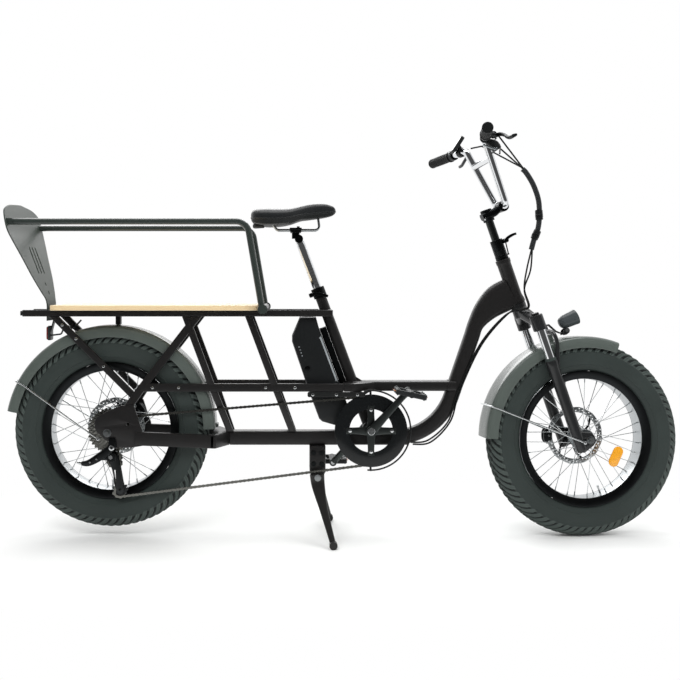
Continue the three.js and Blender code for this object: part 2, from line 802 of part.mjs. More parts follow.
// The front cross-piece is a block round the seat tube.
function rackClamp() {
  const corner = 12;
  const points = [
    [rackClampRear, -rackClampHalfWidth], [rackClampFront - corner, -rackClampHalfWidth],
    [rackClampFront, -rackClampHalfWidth + corner], [rackClampFront, rackClampHalfWidth - corner],
    [rackClampFront - corner, rackClampHalfWidth], [rackClampRear, rackClampHalfWidth],
  ];
  return planPlate(points, rackTopZ - rackTubeHeight, rackTopZ);
}

function frameRack() {
  const railCross = rod(
    vec(railCrossX, -railCrossHalf, rackTopZ + railCrossRadius / 2),
    vec(railCrossX, railCrossHalf, rackTopZ + railCrossRadius / 2),
    railCrossRadius,
    12,
  );
  const tab = planPlate(
    [
      [fenderTabX - rackCrossLength / 2, -fenderTabHalf], [fenderTabX + rackCrossLength / 2, -fenderTabHalf],
      [fenderTabX + rackCrossLength / 2, fenderTabHalf], [fenderTabX - rackCrossLength / 2, fenderTabHalf],
    ],
    rackTopZ - rackTubeHeight - fenderTabDrop,
    rackTopZ - rackTubeHeight / 2,
  );
  const solid = join(sides.map(rackTube), rackCrossXs.map(rackCross), rackClamp(), railCross, tab);
  const seatSpace = rod(seatPoint(bottomBracketZ), seatPoint(seatTubeTopZ + overrun), roomFor(seatTubeRadius, 16), 16);
  return solid.subtract(seatSpace);
}

const rackSolid = frameRack();
addPiece(bike, "frame_rack", rackSolid, satinBlack);

// Deck: a plywood platform on the rack tubes

const deckBehind = 166.5;
const deckRearX = rearAxleX - deckBehind;
const deckHalfWidth = 150;
const deckThickness = 15;
const deckCorner = 32;
const deckEdge = 1.5;
const deckScrewInset = 81;
const deckBottomZ = rackTopZ + fit;
const deckTopZ = deckBottomZ + deckThickness;

function deck() {
  const length = deckFrontX - deckRearX;
  const middle = (deckFrontX + deckRearX) / 2;
  const outline = roundedRectangle(length, deckHalfWidth * 2, deckCorner, 4).map(([x, y]) => [x + middle, y]);
  const shape = new THREE.Shape(outline.map(([x, y]) => new THREE.Vector2(x, y)));
  const geometry = new THREE.ExtrudeGeometry(shape, {
    depth: deckThickness - deckEdge * 2,
    bevelThickness: deckEdge,
    bevelSize: deckEdge,
    bevelOffset: -deckEdge,
    bevelSegments: 1,
  });
  const screwXs = [deckRearX + deckScrewInset, deckFrontX - deckScrewInset];
  const screws = screwXs.flatMap((x) =>
    sides.map((side) => moved(upright(disc(boltRadius, -boltHead / 3, boltHead / 3, 6)), x, side * sideTubeY, deckTopZ)),
  );
  return join(moved(solidOf(geometry), 0, 0, deckBottomZ + deckEdge), screws);
}

addPiece(bike, "deck", deck(), plywood);

// Hand rails: a bent tube each side, from the cross tube up and back to the backrest

const railRadius = 9.5;
const railRise = 263;
const railSetback = 46;
const railBehind = 279;
const railFootSetback = 3;
const railTopZ = rackTopZ + railRise;
const railCornerX = railCrossX - railSetback;
const railRearX = rearAxleX - railBehind;
const railBend = 38;
const railFootX = railCrossX - railFootSetback;
const railClampRadius = 14;
const railClampHalf = 16;

function handRail(side) {
  const y = side * railY;
  const rail = tube(
    rounded(
      [vec(railRearX, y, railTopZ), vec(railCornerX, y, railTopZ), vec(railFootX, y, rackTopZ + railCrossRadius)],
      railBend,
      4,
    ),
    railRadius,
    10,
  );
  const clampZ = rackTopZ + railCrossRadius / 2;
  const clamp = rod(vec(railCrossX, y - railClampHalf, clampZ), vec(railCrossX, y + railClampHalf, clampZ), railClampRadius, 12);
  return join(rail, clamp);
}

const crossSpace = rod(
  vec(railCrossX, -railCrossHalf - overrun, rackTopZ + railCrossRadius / 2),
  vec(railCrossX, railCrossHalf + overrun, rackTopZ + railCrossRadius / 2),
  roomFor(railCrossRadius, 12),
  12,
);

for (const side of sides) {
  addPiece(bike, `rail_${sideName(side)}`, handRail(side).subtract(crossSpace), glossBlack);
}

// Backrest: a pressed sheet that widens upwards, bolted to the rear cross tube and both rails

const sheet = 4;
const backBehind = 187.5;
const backFootDrop = 33.5;
const backFootX = rearAxleX - backBehind;
const backFootZ = rackTopZ - backFootDrop;
const backLean = 20.5;
const backUpperLean = 12;
const backKneeRise = 238.5;
const backKneeZ = rackTopZ + backKneeRise;
const backHole = 6;
const backSlotHalfWidth = 6;
const backSlotBottomRise = 110.5;
const backSlotTopRise = 194.5;
const backSlotBottomZ = rackTopZ + backSlotBottomRise;
const backSlotTopZ = rackTopZ + backSlotTopRise;
const backSlotYs = [-34, 0, 34];
const backFlangeDepth = 18;
const backBendRise = 25.5;
const backApexRise = 324.5;
const backHoleRises = [52.5, 78.5];
const backBoltDrop = 3.5;
const backBottomBendZ = rackTopZ + backBendRise;
const backApexZ = rackTopZ + backApexRise;

// Half-widths of the sheet at each height over the rack, read up one edge
const backEdge = [
  [55, -backFootDrop], [55, backBendRise], [80, 54.5], [119, 100.5], [154, 156.5], [199, 223.5], [207, 253.5],
  [202, 283.5], [184, 301.5], [120, 316.5],
].map(([half, rise]) => [half, rackTopZ + rise]);

// The sheet's centre line seen from the side
function backX(z) {
  const lean = Math.tan(degrees(backLean));
  const upper = Math.tan(degrees(backUpperLean));
  const start = backFootX - sheet;
  if (z < backBottomBendZ) return start;
  const knee = start - lean * (Math.min(z, backKneeZ) - backBottomBendZ);
  return knee - upper * Math.max(z - backKneeZ, 0);
}

function backrest() {
  const outline = [
    ...backEdge,
    [0, backApexZ],
    ...backEdge.slice().reverse().map(([y, z]) => [-y, z]),
  ];
  const slots = backSlotYs.map((y) =>
    roundedRectangle(backSlotHalfWidth * 2, backSlotTopZ - backSlotBottomZ, backSlotHalfWidth * 0.9, 1).map(([a, b]) => [
      a + y,
      b + (backSlotTopZ + backSlotBottomZ) / 2,
    ]),
  );
  const holes = backHoleRises.map((rise) => circle(backHole, 8, 0, rackTopZ + rise));
  const blank = frontPlate(outline, -wheelbase, wheelbase, [...slots, ...holes]);
  const levels = [backFootZ - overrun, backBottomBendZ, backKneeZ, backApexZ + overrun];
  const front = levels.map((z) => [backX(z) + sheet / 2, z]);
  const rear = levels.map((z) => [backX(z) - sheet / 2, z]);
  const formed = sidePlate([...front, ...rear.reverse()], -wheelbase / 4, wheelbase / 4).intersect(blank);
  const lug = sides.map((side) => {
    const y = side * (railY + railRadius);
    const x = backX(railTopZ);
    return loft(
      [vec(x, y + (side * sheet) / 2, railTopZ), vec(x + backFlangeDepth, y + (side * sheet) / 2, railTopZ)],
      () => rectangle(sheet, railRadius * 2),
    );
  });
  const boltX = backX(backFootZ);
  const boltZ = rackTopZ - backBoltDrop;
  const bolts = sides.map((side) => {
    const y = (side * sideTubeY) / 2;
    return rod(vec(boltX - boltHead - sheet / 2, y, boltZ), vec(boltX, y, boltZ), boltRadius, 8);
  });
  const railSpace = sides.map((side) =>
    rod(vec(railRearX - fit, side * railY, railTopZ), vec(railCornerX, side * railY, railTopZ), roomFor(railRadius, 10), 10),
  );
  return join(formed, lug, bolts).subtract(join(railSpace));
}

addPiece(bike, "backrest", backrest(), glossBlack);

// Rear light: a lens on a curved bracket below the backrest, with its lead looping forward

const lightSetback = 3.5;
const lightDepth = 12;
const lightDrop = 30.2;
const lightHeight = 45;
const lightCorner = 8;
const lightStrapForward = 4.5;
const lightFrontX = backFootX - lightSetback;
const lightRearX = lightFrontX - lightDepth;
const lightTopZ = rackUnderside - lightDrop;
const lightBottomZ = lightTopZ - lightHeight;
const lightHalfWidth = 22;
const lightWire = 2.6;

// The lead's points: forward of the shell, to the left, and over the shell's middle
const lightWirePoints = [[-4, 0, -8], [29, 4, -4], [41, 10, 26.5], [63, 14, 11.5], [89, 16, 39.5]];

function rearLight() {
  const middleZ = (lightBottomZ + lightTopZ) / 2;
  const height = lightTopZ - lightBottomZ;
  const outline = roundedRectangle(lightHalfWidth * 2, height, lightCorner, 3).map(([y, z]) => [y, z + middleZ]);
  const body = frontPlate(outline, lightRearX, lightFrontX);
  const strapX = backFootX + lightStrapForward;
  const bracket = loft(
    [
      vec(lightFrontX - sheet / 2, 0, middleZ), vec(lightFrontX + sheet, 0, lightTopZ),
      vec(strapX, 0, backFootZ), vec(strapX, 0, rackUnderside),
    ],
    () => roundedRectangle(lightHalfWidth, sheet, sheet / 4),
  );
  const wire = tube(
    rounded(lightWirePoints.map(([x, y, z]) => vec(lightFrontX + x, y, middleZ + z)), lightCorner, 2),
    lightWire,
    4,
  );
  return join(body, bracket, wire);
}

addPiece(bike, "rear_light", rearLight(), lampGrey);

// Rear fender: a pressed hood over the tyre with turned-in lips, and its wire stay

const fenderHalf = 56;
const fenderDepth = 36;
const fenderEdge = fenderCrown - fenderDepth;
const fenderSheet = 1.6;
const rearFenderFrom = 1;
const rearFenderTo = 169;
const fenderSteps = 16;
const stayWire = 2.4;

function fenderSection(edge, crown) {
  const depth = crown - edge;
  const shares = [[0, 1], [0.7, 1], [1, 0.62]];
  const outer = shares.map(([rise, width]) => [edge + rise * depth, width * fenderHalf]);
  const inner = shares.map(([rise, width]) => [edge + rise * (depth - fenderSheet), width * fenderHalf - fenderSheet]);
  return [
    ...outer.map(([r, y]) => [r, -y]), ...outer.slice().reverse(),
    ...inner, ...inner.slice().reverse().map(([r, y]) => [r, -y]),
  ];
}

const rearFenderTab = 6;

function rearFender() {
  const hood = arcSweep(fenderSection(fenderEdge, fenderCrown), rearFenderFrom, rearFenderTo, fenderSteps);
  const frontBracket = bar(
    vec(rearAxleX + fenderCrown - fenderSheet / 2, 0, rearAxleZ + rearFenderTab * 2),
    vec(rearAxleX + fenderCrown + rearFenderTab, 0, rearAxleZ + rearFenderTab * 2),
    fenderHalf / 2, rearFenderTab * 2, fenderSheet / 2,
  );
  const topBracket = bar(
    vec(fenderTabX, 0, rearAxleZ + fenderCrown - fenderSheet * 2),
    vec(fenderTabX, 0, rackTopZ - rackTubeHeight - fenderTabDrop - fit),
    fenderHalf / 3, rearFenderTab * 2, fenderSheet / 2,
  );
  return join(onRearAxle(hood), frontBracket, topBracket);
}

const rearFenderSolid = rearFender();
addPiece(bike, "rear_fender", rearFenderSolid, glossBlack);

// The stay is one bent wire, from each dropout up and over the hood.
function fenderStay(bearing, crown, footY, foot, spread) {
  const over = crown + stayWire + fit;
  const angle = degrees(bearing);
  const hoop = (r, y) => vec(r * Math.cos(angle), y, r * Math.sin(angle));
  const half = fenderHalf + stayWire + fit;
  return tube(
    rounded(
      [
        vec(foot[0], -footY, foot[1]), hoop(fenderEdge + spread, -half), hoop(over, -half), hoop(over, half),
        hoop(fenderEdge + spread, half), vec(foot[0], footY, foot[1]),
      ],
      spread / 2,
      1,
    ),
    stayWire,
    4,
  );
}

const rearStayBearing = 152;
const rearStayFoot = [-27, -18];
const staySpread = 10;
const rearStayY = rearHubSpan / 2 + stayWidth + stayWire + fit;

function rearFenderStay() {
  const wire = fenderStay(rearStayBearing, fenderCrown, rearStayY, rearStayFoot, staySpread);
  const eyes = sides.map((side) => {
    const y = side * rearStayY;
    return moved(disc(boltRadius * 1.4, y - stayWire, y + stayWire, 6), rearStayFoot[0], 0, rearStayFoot[1]);
  });
  return onRearAxle(join(wire, eyes));
}

addPiece(bike, "rear_fender_stay", rearFenderStay(), chrome);

// Seat tube fittings: clamp collar, quick release, post, rail clamp and saddle

const collarBottomZ = 745;
const collarTopZ = 765;
const collarRadius = 21;
const collarLug = 13;
const collarLugReach = 32;
const collarBoltRadius = 3;
const collarLugWidth = 22;
const collarLugCorner = 1.5;
const collarLugSeat = 4;
const seatpostTopZ = 906;
const seatpostInsert = 180;
const saddleRailRise = 42;
const saddleRailZ = seatpostTopZ + saddleRailRise;
const saddleMiddleX = seatAxisX(seatpostTopZ + saddleRailRise);
const postHeadRise = 10;
const cradleRise = 16;
const cradleRadius = 13;
const cradleHalf = 16;
const saddleRailRadius = 3.5;
const saddleRailY = 22;
const saddleRailBend = 14;
const clampPlateHalf = 31;
const clampPlateLength = 34;
const clampPlateHeight = 20;
const clampFootDrop = 26;

// A saddle rail's points: forward of the clamp, to the side, and over the rails' straight part
const saddleRailPoints = [[69, 12, 42], [75, 22, 0], [-58, 22, 0], [-85, 32, 36]];

const alongSeatFrom = (z, run) => seatPoint(z).addScaledVector(alongSeat, run);

function seatCollar() {
  const foot = seatPoint(seatTubeTopZ);
  const low = foot.clone().addScaledVector(alongSeat, fit);
  const top = foot.clone().addScaledVector(alongSeat, collarTopZ - collarBottomZ);
  const skirt = foot.clone().addScaledVector(alongSeat, collarBottomZ - collarTopZ + seatTubeRadius / 2);
  const ring = rod(skirt, top, collarRadius, 12);
  const middle = alongSeatFrom(seatTubeTopZ, (collarTopZ - collarBottomZ) / 4);
  const lugEnd = middle.clone().addScaledVector(behindSeat, collarLugReach);
  const lug = bar(
    middle.clone().addScaledVector(behindSeat, collarRadius - collarLugSeat),
    lugEnd, collarLugWidth, collarLug, collarLugCorner,
  );
  const tubeSpace = rod(skirt.clone().addScaledVector(alongSeat, -overrun), low, roomFor(seatTubeRadius, 16), 16);
  const postFoot = foot.clone().addScaledVector(alongSeat, -overrun);
  const postSpace = rod(postFoot, alongSeatFrom(seatTubeTopZ, overrun * 2), roomFor(seatpostRadius, 14), 14);
  const pin = middle.clone().addScaledVector(behindSeat, collarLugReach - collarLug / 2);
  const pinSpace = rod(pin.clone().setY(-overrun), pin.clone().setY(overrun), roomFor(collarBoltRadius, 8), 8);
  return join(ring, lug).subtract(join(tubeSpace, postSpace, pinSpace));
}

addPiece(bike, "seat_collar", seatCollar(), blackAluminium);

// The quick release turns on its pin behind the collar, with the lever on the right.
const pinHalf = 17;
const pinHeadRadius = 7;
const pinHeadHalf = 4;

// The lever's points, forward, to the right and up from the cam, and its section there
const leverPoints = [[0, -1, 0], [18.2, -7, 5.2], [52, -10, -2.6]];
const leverSections = [[4, 9], [4, 11], [3, 8]];

function seatLever() {
  const middle = alongSeatFrom(seatTubeTopZ, (collarTopZ - collarBottomZ) / 4);
  const pin = middle.clone().addScaledVector(behindSeat, collarLugReach - collarLug / 2);
  const shaft = rod(pin.clone().setY(-pinHalf), pin.clone().setY(pinHalf), collarBoltRadius, 8);
  const nut = rod(pin.clone().setY(pinHalf - pinHeadHalf), pin.clone().setY(pinHalf), pinHeadRadius, 6);
  const cam = rod(
    pin.clone().setY(-pinHalf - pinHeadHalf), pin.clone().setY(-pinHalf + pinHeadHalf), pinHeadRadius, 8,
  );
  const start = pin.clone().setY(-pinHalf);
  const blade = loft(
    leverPoints.map((point) => start.clone().add(vec(...point))),
    (i) => roundedRectangle(...leverSections[i], 1),
  );
  return join(shaft, nut, cam, blade);
}

addPiece(bike, "seat_lever", seatLever(), blackAluminium);

function seatpost() {
  const foot = alongSeatFrom(seatTubeTopZ, -seatpostInsert);
  const top = seatPoint(seatpostTopZ);
  const head = top.clone().addScaledVector(alongSeat, postHeadRise);
  const shaft = rod(foot, head, seatpostRadius, 14);
  const cradleCentre = top.clone().addScaledVector(alongSeat, cradleRise);
  const cradle = rod(cradleCentre.clone().setY(-cradleHalf), cradleCentre.clone().setY(cradleHalf), cradleRadius, 10);
  return join(shaft, cradle);
}

addPiece(bike, "seatpost", seatpost(), chrome);

// The clamp grips the saddle's two steel rails above the post's cradle.
function saddleRails() {
  const rails = sides.map((side) =>
    tube(
      rounded(saddleRailPoints.map(([x, y, z]) => vec(saddleMiddleX + x, side * y, saddleRailZ + z)), saddleRailBend, 1),
      saddleRailRadius,
      5,
    ),
  );
  const plate = loft(
    [vec(saddleMiddleX, -clampPlateHalf, saddleRailZ), vec(saddleMiddleX, clampPlateHalf, saddleRailZ)],
    () => rectangle(clampPlateHeight, clampPlateLength),
    zAxis,
  );
  const foot = loft(
    [vec(saddleMiddleX, 0, saddleRailZ - clampFootDrop), vec(saddleMiddleX, 0, saddleRailZ)],
    () => rectangle(clampPlateHeight, clampFootDrop),
  );
  return join(rails, plate, foot);
}

const cradleSpace = () => {
  const centre = seatPoint(seatpostTopZ).addScaledVector(alongSeat, cradleRise);
  return rod(centre.clone().setY(-overrun), centre.clone().setY(overrun), roomFor(cradleRadius, 10), 10);
};

// The saddle's stations from the tail to the nose: forward of the clamp, half-width, and bottom and top over the rails
const saddleStations = [
  [-138, 56, 24, 52], [-128, 82, 15, 63], [-92, 95, 9, 65], [-52, 92, 10, 64], [-17, 78, 16, 65],
  [14, 56, 26, 73], [45, 38, 29, 81], [88, 26, 35, 82], [116, 20, 44, 74], [124, 11, 52, 66],
];
const saddleBumper = [-114, 34, 14];

function saddleSection([, half, low, high]) {
  const middle = (low + high) / 2;
  const rise = (high - low) / 2;
  return circle(1, 12).map(([a, b]) => {
    const square = 1 / Math.max(Math.abs(a), Math.abs(b));
    const blend = 1 + (square - 1) * 0.45;
    return [half * a * Math.min(blend, 1 / Math.max(Math.abs(a), 1e-6)), middle + rise * b * blend];
  });
}

function saddle() {
  const rings = saddleStations.map((station) =>
    saddleSection(station).map(([y, z]) => vec(saddleMiddleX + station[0], y, saddleRailZ + z)),
  );
  const body = skin(rings);
  const [bumperX, bumperHalf, bumperZ] = saddleBumper;
  const bumper = loft(
    [
      vec(saddleMiddleX + bumperX, -bumperHalf, saddleRailZ + bumperZ),
      vec(saddleMiddleX + bumperX, bumperHalf, saddleRailZ + bumperZ),
    ],
    () => rectangle(clampPlateHeight, bumperHalf),
    zAxis,
  );
  return join(body, bumper);
}

const saddleSolid = saddle();
addPiece(bike, "saddle_rails", saddleRails().subtract(join(saddleSolid, cradleSpace())), blackAluminium);
addPiece(bike, "saddle", saddleSolid, saddleBlack);

// Battery: a long case behind the seat tube, sliding on a slotted rail

const batteryHalf = 45;
const batteryStrip = 14;
const batteryRailHalf = 17;
const batteryRailDepth = 21;
const batteryCorner = 9;
const keyX = -112;
const keyZ = 520;
const keyRadius = 9;
const keyHalf = 3;
const batteryGrip = [-128, -92];
const batteryGripWidth = 50;
const batteryGripHeight = 6;
const batteryRailZs = [484, 655];
const railSlotZs = [494, 548, 600];
const railSlotHeight = 26;

// Case outline in X and Z, from the top's rear corner round the front and back up
const batteryOutline = [
  [-134.7, 679.5], [-85.6, 679.5], [-76.4, 645.8], [-18.1, 490], [-4, 452], [24, 376], [20, 366],
  [-14, 350], [-24, 345], [-66, 357], [-76, 366], [-107, 449], [-119.4, 486], [-159.3, 603], [-159.3, 621],
];

function bevelledSide(points, half, edge) {
  const shape = new THREE.Shape(points.map(([x, z]) => new THREE.Vector2(x, z)));
  const geometry = new THREE.ExtrudeGeometry(shape, {
    depth: (half - edge) * 2,
    bevelThickness: edge,
    bevelSize: edge,
    bevelOffset: -edge,
    bevelSegments: 1,
  });
  return moved(turned(solidOf(geometry), xAxis, Math.PI / 2), 0, half - edge, 0);
}

function battery() {
  const body = bevelledSide(batteryOutline, batteryHalf, batteryCorner);
  const gap = fit + 0.2;
  const front = seatTubeRadius + batteryRailDepth + gap;
  const foot = seatPoint(bottomBracketZ).addScaledVector(behindSeat, -overrun);
  const top = seatPoint(seatTubeTopZ).addScaledVector(behindSeat, -overrun);
  const depth = (overrun + front) * 2;
  const tubeSpace = bar(foot, top, batteryHalf * 3, depth, tubeCorner);
  const key = rod(
    vec(keyX, -batteryHalf - keyHalf, keyZ), vec(keyX, -batteryHalf + keyHalf, keyZ), keyRadius, 12,
  );
  const handle = bar(
    vec(batteryGrip[0], 0, batteryOutline[0][1]), vec(batteryGrip[1], 0, batteryOutline[0][1]),
    batteryGripWidth, batteryGripHeight, 2,
  );
  return join(body, key, handle).subtract(tubeSpace);
}

const batterySolid = battery();
addPiece(bike, "battery", batterySolid, batteryBlack);

function batteryRail() {
  const middle = seatTubeRadius + fit + batteryRailDepth / 2;
  const foot = seatPoint(batteryRailZs[0]).addScaledVector(behindSeat, middle);
  const top = seatPoint(batteryRailZs[1]).addScaledVector(behindSeat, middle);
  const strip = bar(foot, top, batteryRailHalf * 2, batteryRailDepth, 3);
  const slots = railSlotZs.map((z) => {
    const low = seatPoint(z).addScaledVector(behindSeat, middle);
    const high = seatPoint(z + railSlotHeight).addScaledVector(behindSeat, middle);
    return loft([low, high], () => rectangle(batteryRailHalf * 3, 7));
  });
  return strip.subtract(join(slots));
}

addPiece(bike, "battery_rail", clearOf(batteryRail(), frontFrameSolid, rackSolid), blackAluminium);

// Kickstand: a bracket block under the lower bar and a sprung pair of legs

const standPivotX = -81;
const standPivotZ = 192;
const standPivotRadius = 9;
const standBlockRise = 9;
const standStop = [-100, 24, 30, 12];
const standEarInset = 6;
const standEarHalf = 4;
const standPostFront = -56;
const standPostRear = -105;
const standPostHalf = 46;
const standSpread = 177;
const standFootX = -37;
const standFootZ = 12;
const footRingRadius = 12;
const footRingHalf = 11;
const legTopY = 77;
const standAxleEnd = 4;

// A leg's points, forward, outward and up from the axle's end, and its section at each and at the foot
const legPoints = [[-2, 0, 10], [2, 0, -26], [16, 36, -84]];
const legSections = [[17, 44, 6], [17, 40, 6], [16, 26, 6], [15, 17, 5]];

function kickstandBracket() {
  const top = lowerBarZ - lowerBarHeight / 2 - fit;
  const plan = roundedRectangle(standPostFront - standPostRear, standPostHalf * 2, 6).map(([x, y]) => [
    x + (standPostFront + standPostRear) / 2,
    y,
  ]);
  const block = planPlate(plan, standPivotZ + standBlockRise, top);
  const ears = sides.map((side) =>
    sidePlate(
      [
        [standPostRear, standPivotZ + overrun], [standPivotX - standPivotRadius * 1.4, standPivotZ - standPivotRadius],
        [standPivotX + standPivotRadius * 1.4, standPivotZ - standPivotRadius], [standPostFront, standPivotZ + overrun],
      ],
      side * (standPostHalf - standEarInset) - standEarHalf,
      side * (standPostHalf - standEarInset) + standEarHalf,
    ),
  );
  const pivotSpace = rod(
    vec(standPivotX, -overrun * 2, standPivotZ), vec(standPivotX, overrun * 2, standPivotZ), roomFor(standPivotRadius, 12), 12,
  );
  const [stopX, stopDrop, stopWidth, stopDepth] = standStop;
  const stop = bar(vec(stopX, 0, lowerBarZ - stopDrop), vec(stopX, 0, top), stopWidth, stopDepth, 2);
  return join(block, ears, stop).subtract(pivotSpace);
}

addPiece(bike, "kickstand_bracket", kickstandBracket(), blackAluminium);

function kickstand() {
  const axle = rod(
    vec(standPivotX, -legTopY - standAxleEnd, standPivotZ),
    vec(standPivotX, legTopY + standAxleEnd, standPivotZ), standPivotRadius, 12,
  );
  const legs = sides.map((side) => {
    const leg = loft(
      [
        ...legPoints.map(([x, out, z]) => vec(standPivotX + x, side * (legTopY + out), standPivotZ + z)),
        vec(standFootX, side * standSpread, standFootZ),
      ],
      (i) => roundedRectangle(...legSections[i]),
    );
    const y = side * standSpread;
    const ring = moved(disc(footRingRadius, -footRingHalf, footRingHalf, 12), standFootX, y, footRingRadius);
    return join(leg, ring);
  });
  const ground = planPlate(rectangle(wheelbase * 2, wheelbase * 2), -overrun * 2, 0);
  return join(axle, legs).subtract(ground);
}

addPiece(bike, "kickstand", kickstand(), blackAluminium);

// Sprockets: discs with pointed teeth, each sized from its tooth count

const chainPitch = 12.7;
const sprocketThickness = 2;
const toothRise = 2.2;
const toothDrop = 3.6;

const pitchRadius = (teeth) => chainPitch / 2 / Math.sin(Math.PI / teeth);

// Two points a tooth: a tip, and a root half a pitch on. The phase turns the first root to an angle.
function toothedOutline(teeth, phase = 0) {
  return Array.from({ length: teeth * 2 }, (_, i) => {
    const radius = pitchRadius(teeth) + (i % 2 ? toothRise : -toothDrop);
    const angle = phase + (i * Math.PI) / teeth;
    return [radius * Math.cos(angle), radius * Math.sin(angle)];
  });
}

function sprocket(teeth, y, phase = 0) {
  return sidePlate(toothedOutline(teeth, phase), y - sprocketThickness / 2, y + sprocketThickness / 2);
}

// Cassette: eight sprockets on one carrier beside the motor hub

const cassetteTeeth = [34, 30, 26, 23, 20, 17, 14, 11];
const cassetteSpacing = 4.8;
const cassetteRoom = 44.7;
const cassetteInnerY = cassetteRoom - rearHubSpan / 2;
const cassetteBore = 15;
const chainSprocket = cassetteTeeth.indexOf(20);
const chainTeeth = cassetteTeeth[chainSprocket];

function cassette() {
  const lastY = cassetteInnerY - cassetteSpacing * (cassetteTeeth.length - 1);
  const rings = cassetteTeeth.map((teeth, i) => {
    const y = cassetteInnerY - cassetteSpacing * i;
    return disc(pitchRadius(teeth) + toothRise / 2, y - 1, y + 1, i ? 12 : 20);
  });
  rings[chainSprocket] = sprocket(chainTeeth, chainLineY, Math.PI / 2);
  const carrier = disc(cassetteBore, lastY - 2, cassetteInnerY + 2, 8);
  return join(rings, carrier).subtract(disc(roomFor(axleRadius, 8), -rearHubSpan, rearHubSpan, 8));
}

addPiece(bike, "cassette", onRearAxle(cassette()), chainSteel);

// Crankset: the right crank arm, its four-armed spider, the chainring, the guard disc and the spindle

const ringTeeth = 52;
const ringBore = 88;
const guardRadius = 111;
const guardInner = 74;
const guardY = -66.2;
const guardThickness = 3;
const boltCircle = 52;
const spiderWidth = 18;
const armInnerY = -72;
const armThickness = 13;
const crankRootWidth = 31;
const crankTipWidth = 24;
const pedalAxleRadius = 7;
const spindleEnd = 76;

const onCrank = (solid) => moved(solid, bottomBracketX, 0, bottomBracketZ);

function crankArm(side) {
  const y = side > 0 ? spindleEnd : armInnerY - armThickness / 2;
  const angle = degrees(crankAngle) + (side > 0 ? Math.PI : 0);
  const tip = crankLength;
  const tiltOut = (side * armThickness) / 2;
  const start = vec(0, y, 0);
  const end = vec(tip * Math.cos(angle), y + tiltOut, tip * Math.sin(angle));
  const blade = loft(
    [start, end],
    (i) => roundedRectangle(armThickness - 1, [crankRootWidth, crankTipWidth][i] - 2, 3),
  );
  const boss = rod(vec(0, y - armThickness / 2, 0), vec(0, y + armThickness / 2, 0), crankRootWidth / 2, 10);
  const eye = rod(
    vec(end.x, end.y - armThickness / 2, end.z), vec(end.x, end.y + armThickness / 2, end.z), crankTipWidth / 2, 10,
  );
  const bore = rod(
    vec(end.x, end.y - overrun / 2, end.z), vec(end.x, end.y + overrun / 2, end.z), roomFor(pedalAxleRadius, 8), 8,
  );
  return { solid: join(blade, boss, eye).subtract(bore), end };
}

function crankset() {
  const tips = circle(pitchRadius(ringTeeth) + toothRise / 2, ringTeeth);
  const ring = sidePlate(
    tips, chainLineY - sprocketThickness / 2, chainLineY + sprocketThickness / 2, [circle(ringBore, 20)],
  );
  const guard = disc(guardRadius, guardY - guardThickness, guardY, 26, guardInner);
  const spiderY = guardY - guardThickness / 2;
  const arms = [0, 1, 2, 3].map((i) => {
    const angle = (i * Math.PI) / 2;
    const reach = ringBore + 6;
    return loft(
      [vec(0, spiderY, 0), vec(reach * Math.cos(angle), spiderY, reach * Math.sin(angle))],
      () => rectangle(5, spiderWidth),
    );
  });
  const mounts = [0, 1, 2, 3].map((i) => {
    const angle = (i * Math.PI) / 2;
    const reach = ringBore + 3;
    return at(
      disc(boltRadius * 1.2, guardY - guardThickness - 1.5, chainLineY, 5), reach * Math.cos(angle), reach * Math.sin(angle),
    );
  });
  const spindle = rod(vec(0, armInnerY - armThickness / 2, 0), vec(0, spindleEnd - armThickness / 2 - fit, 0), spindleRadius, 14);
  return join(ring, guard, arms, mounts, spindle, crankArm(-1).solid);
}

const cranksetSolid = onCrank(crankset());
addPiece(bike, "crankset", cranksetSolid, blackAluminium);
addPiece(bike, "crank_left", onCrank(crankArm(1).solid), blackAluminium);

// Pedals: platform frames with raised teeth, turning on axles screwed into the crank ends

const pedalLength = 92;
const pedalWidth = 96;
const pedalHeight = 15;
const pedalGap = 6;
const pedalWall = 13;
const pedalCore = 22;
const pedalTilt = { right: 12, left: 0 };

function pedal(side) {
  const { end } = crankArm(side);
  const inner = end.y + side * (armThickness / 2 + pedalGap);
  const outer = inner + side * pedalWidth;
  const middle = (inner + outer) / 2;
  const half = pedalWidth / 2;
  const window = (x) => roundedRectangle(pedalLength / 2 - pedalWall - pedalCore / 2, pedalWidth - pedalWall * 2, 4).map(([a, b]) => [a + x, b]);
  const offset = (pedalLength / 2 - pedalWall + pedalCore / 2) / 2;
  const frame = planPlate(
    roundedRectangle(pedalLength, pedalWidth, 10), -pedalHeight / 2, pedalHeight / 2, [window(offset), window(-offset)],
  );
  const studs = [-1, 1].flatMap((i) =>
    sides.map((way) =>
      moved(upright(disc(3, -pedalHeight / 2 - 3, pedalHeight / 2 + 3, 4)), way * (pedalLength / 2 - pedalWall / 2), i * half * 0.7, 0),
    ),
  );
  const axle = rod(vec(0, -side * (half + pedalGap + armThickness - 1), 0), vec(0, 0, 0), pedalAxleRadius, 8);
  const tilt = degrees(pedalTilt[sideName(side)]);
  const level = turned(join(frame, studs, axle), yAxis, tilt);
  return onCrank(moved(level, end.x, middle, end.z));
}

for (const side of sides) addPiece(bike, `pedal_${sideName(side)}`, pedal(side), batteryBlack);

// Rear derailleur: a bolted hanger and parallelogram body, a sprung cage and two jockey pulleys

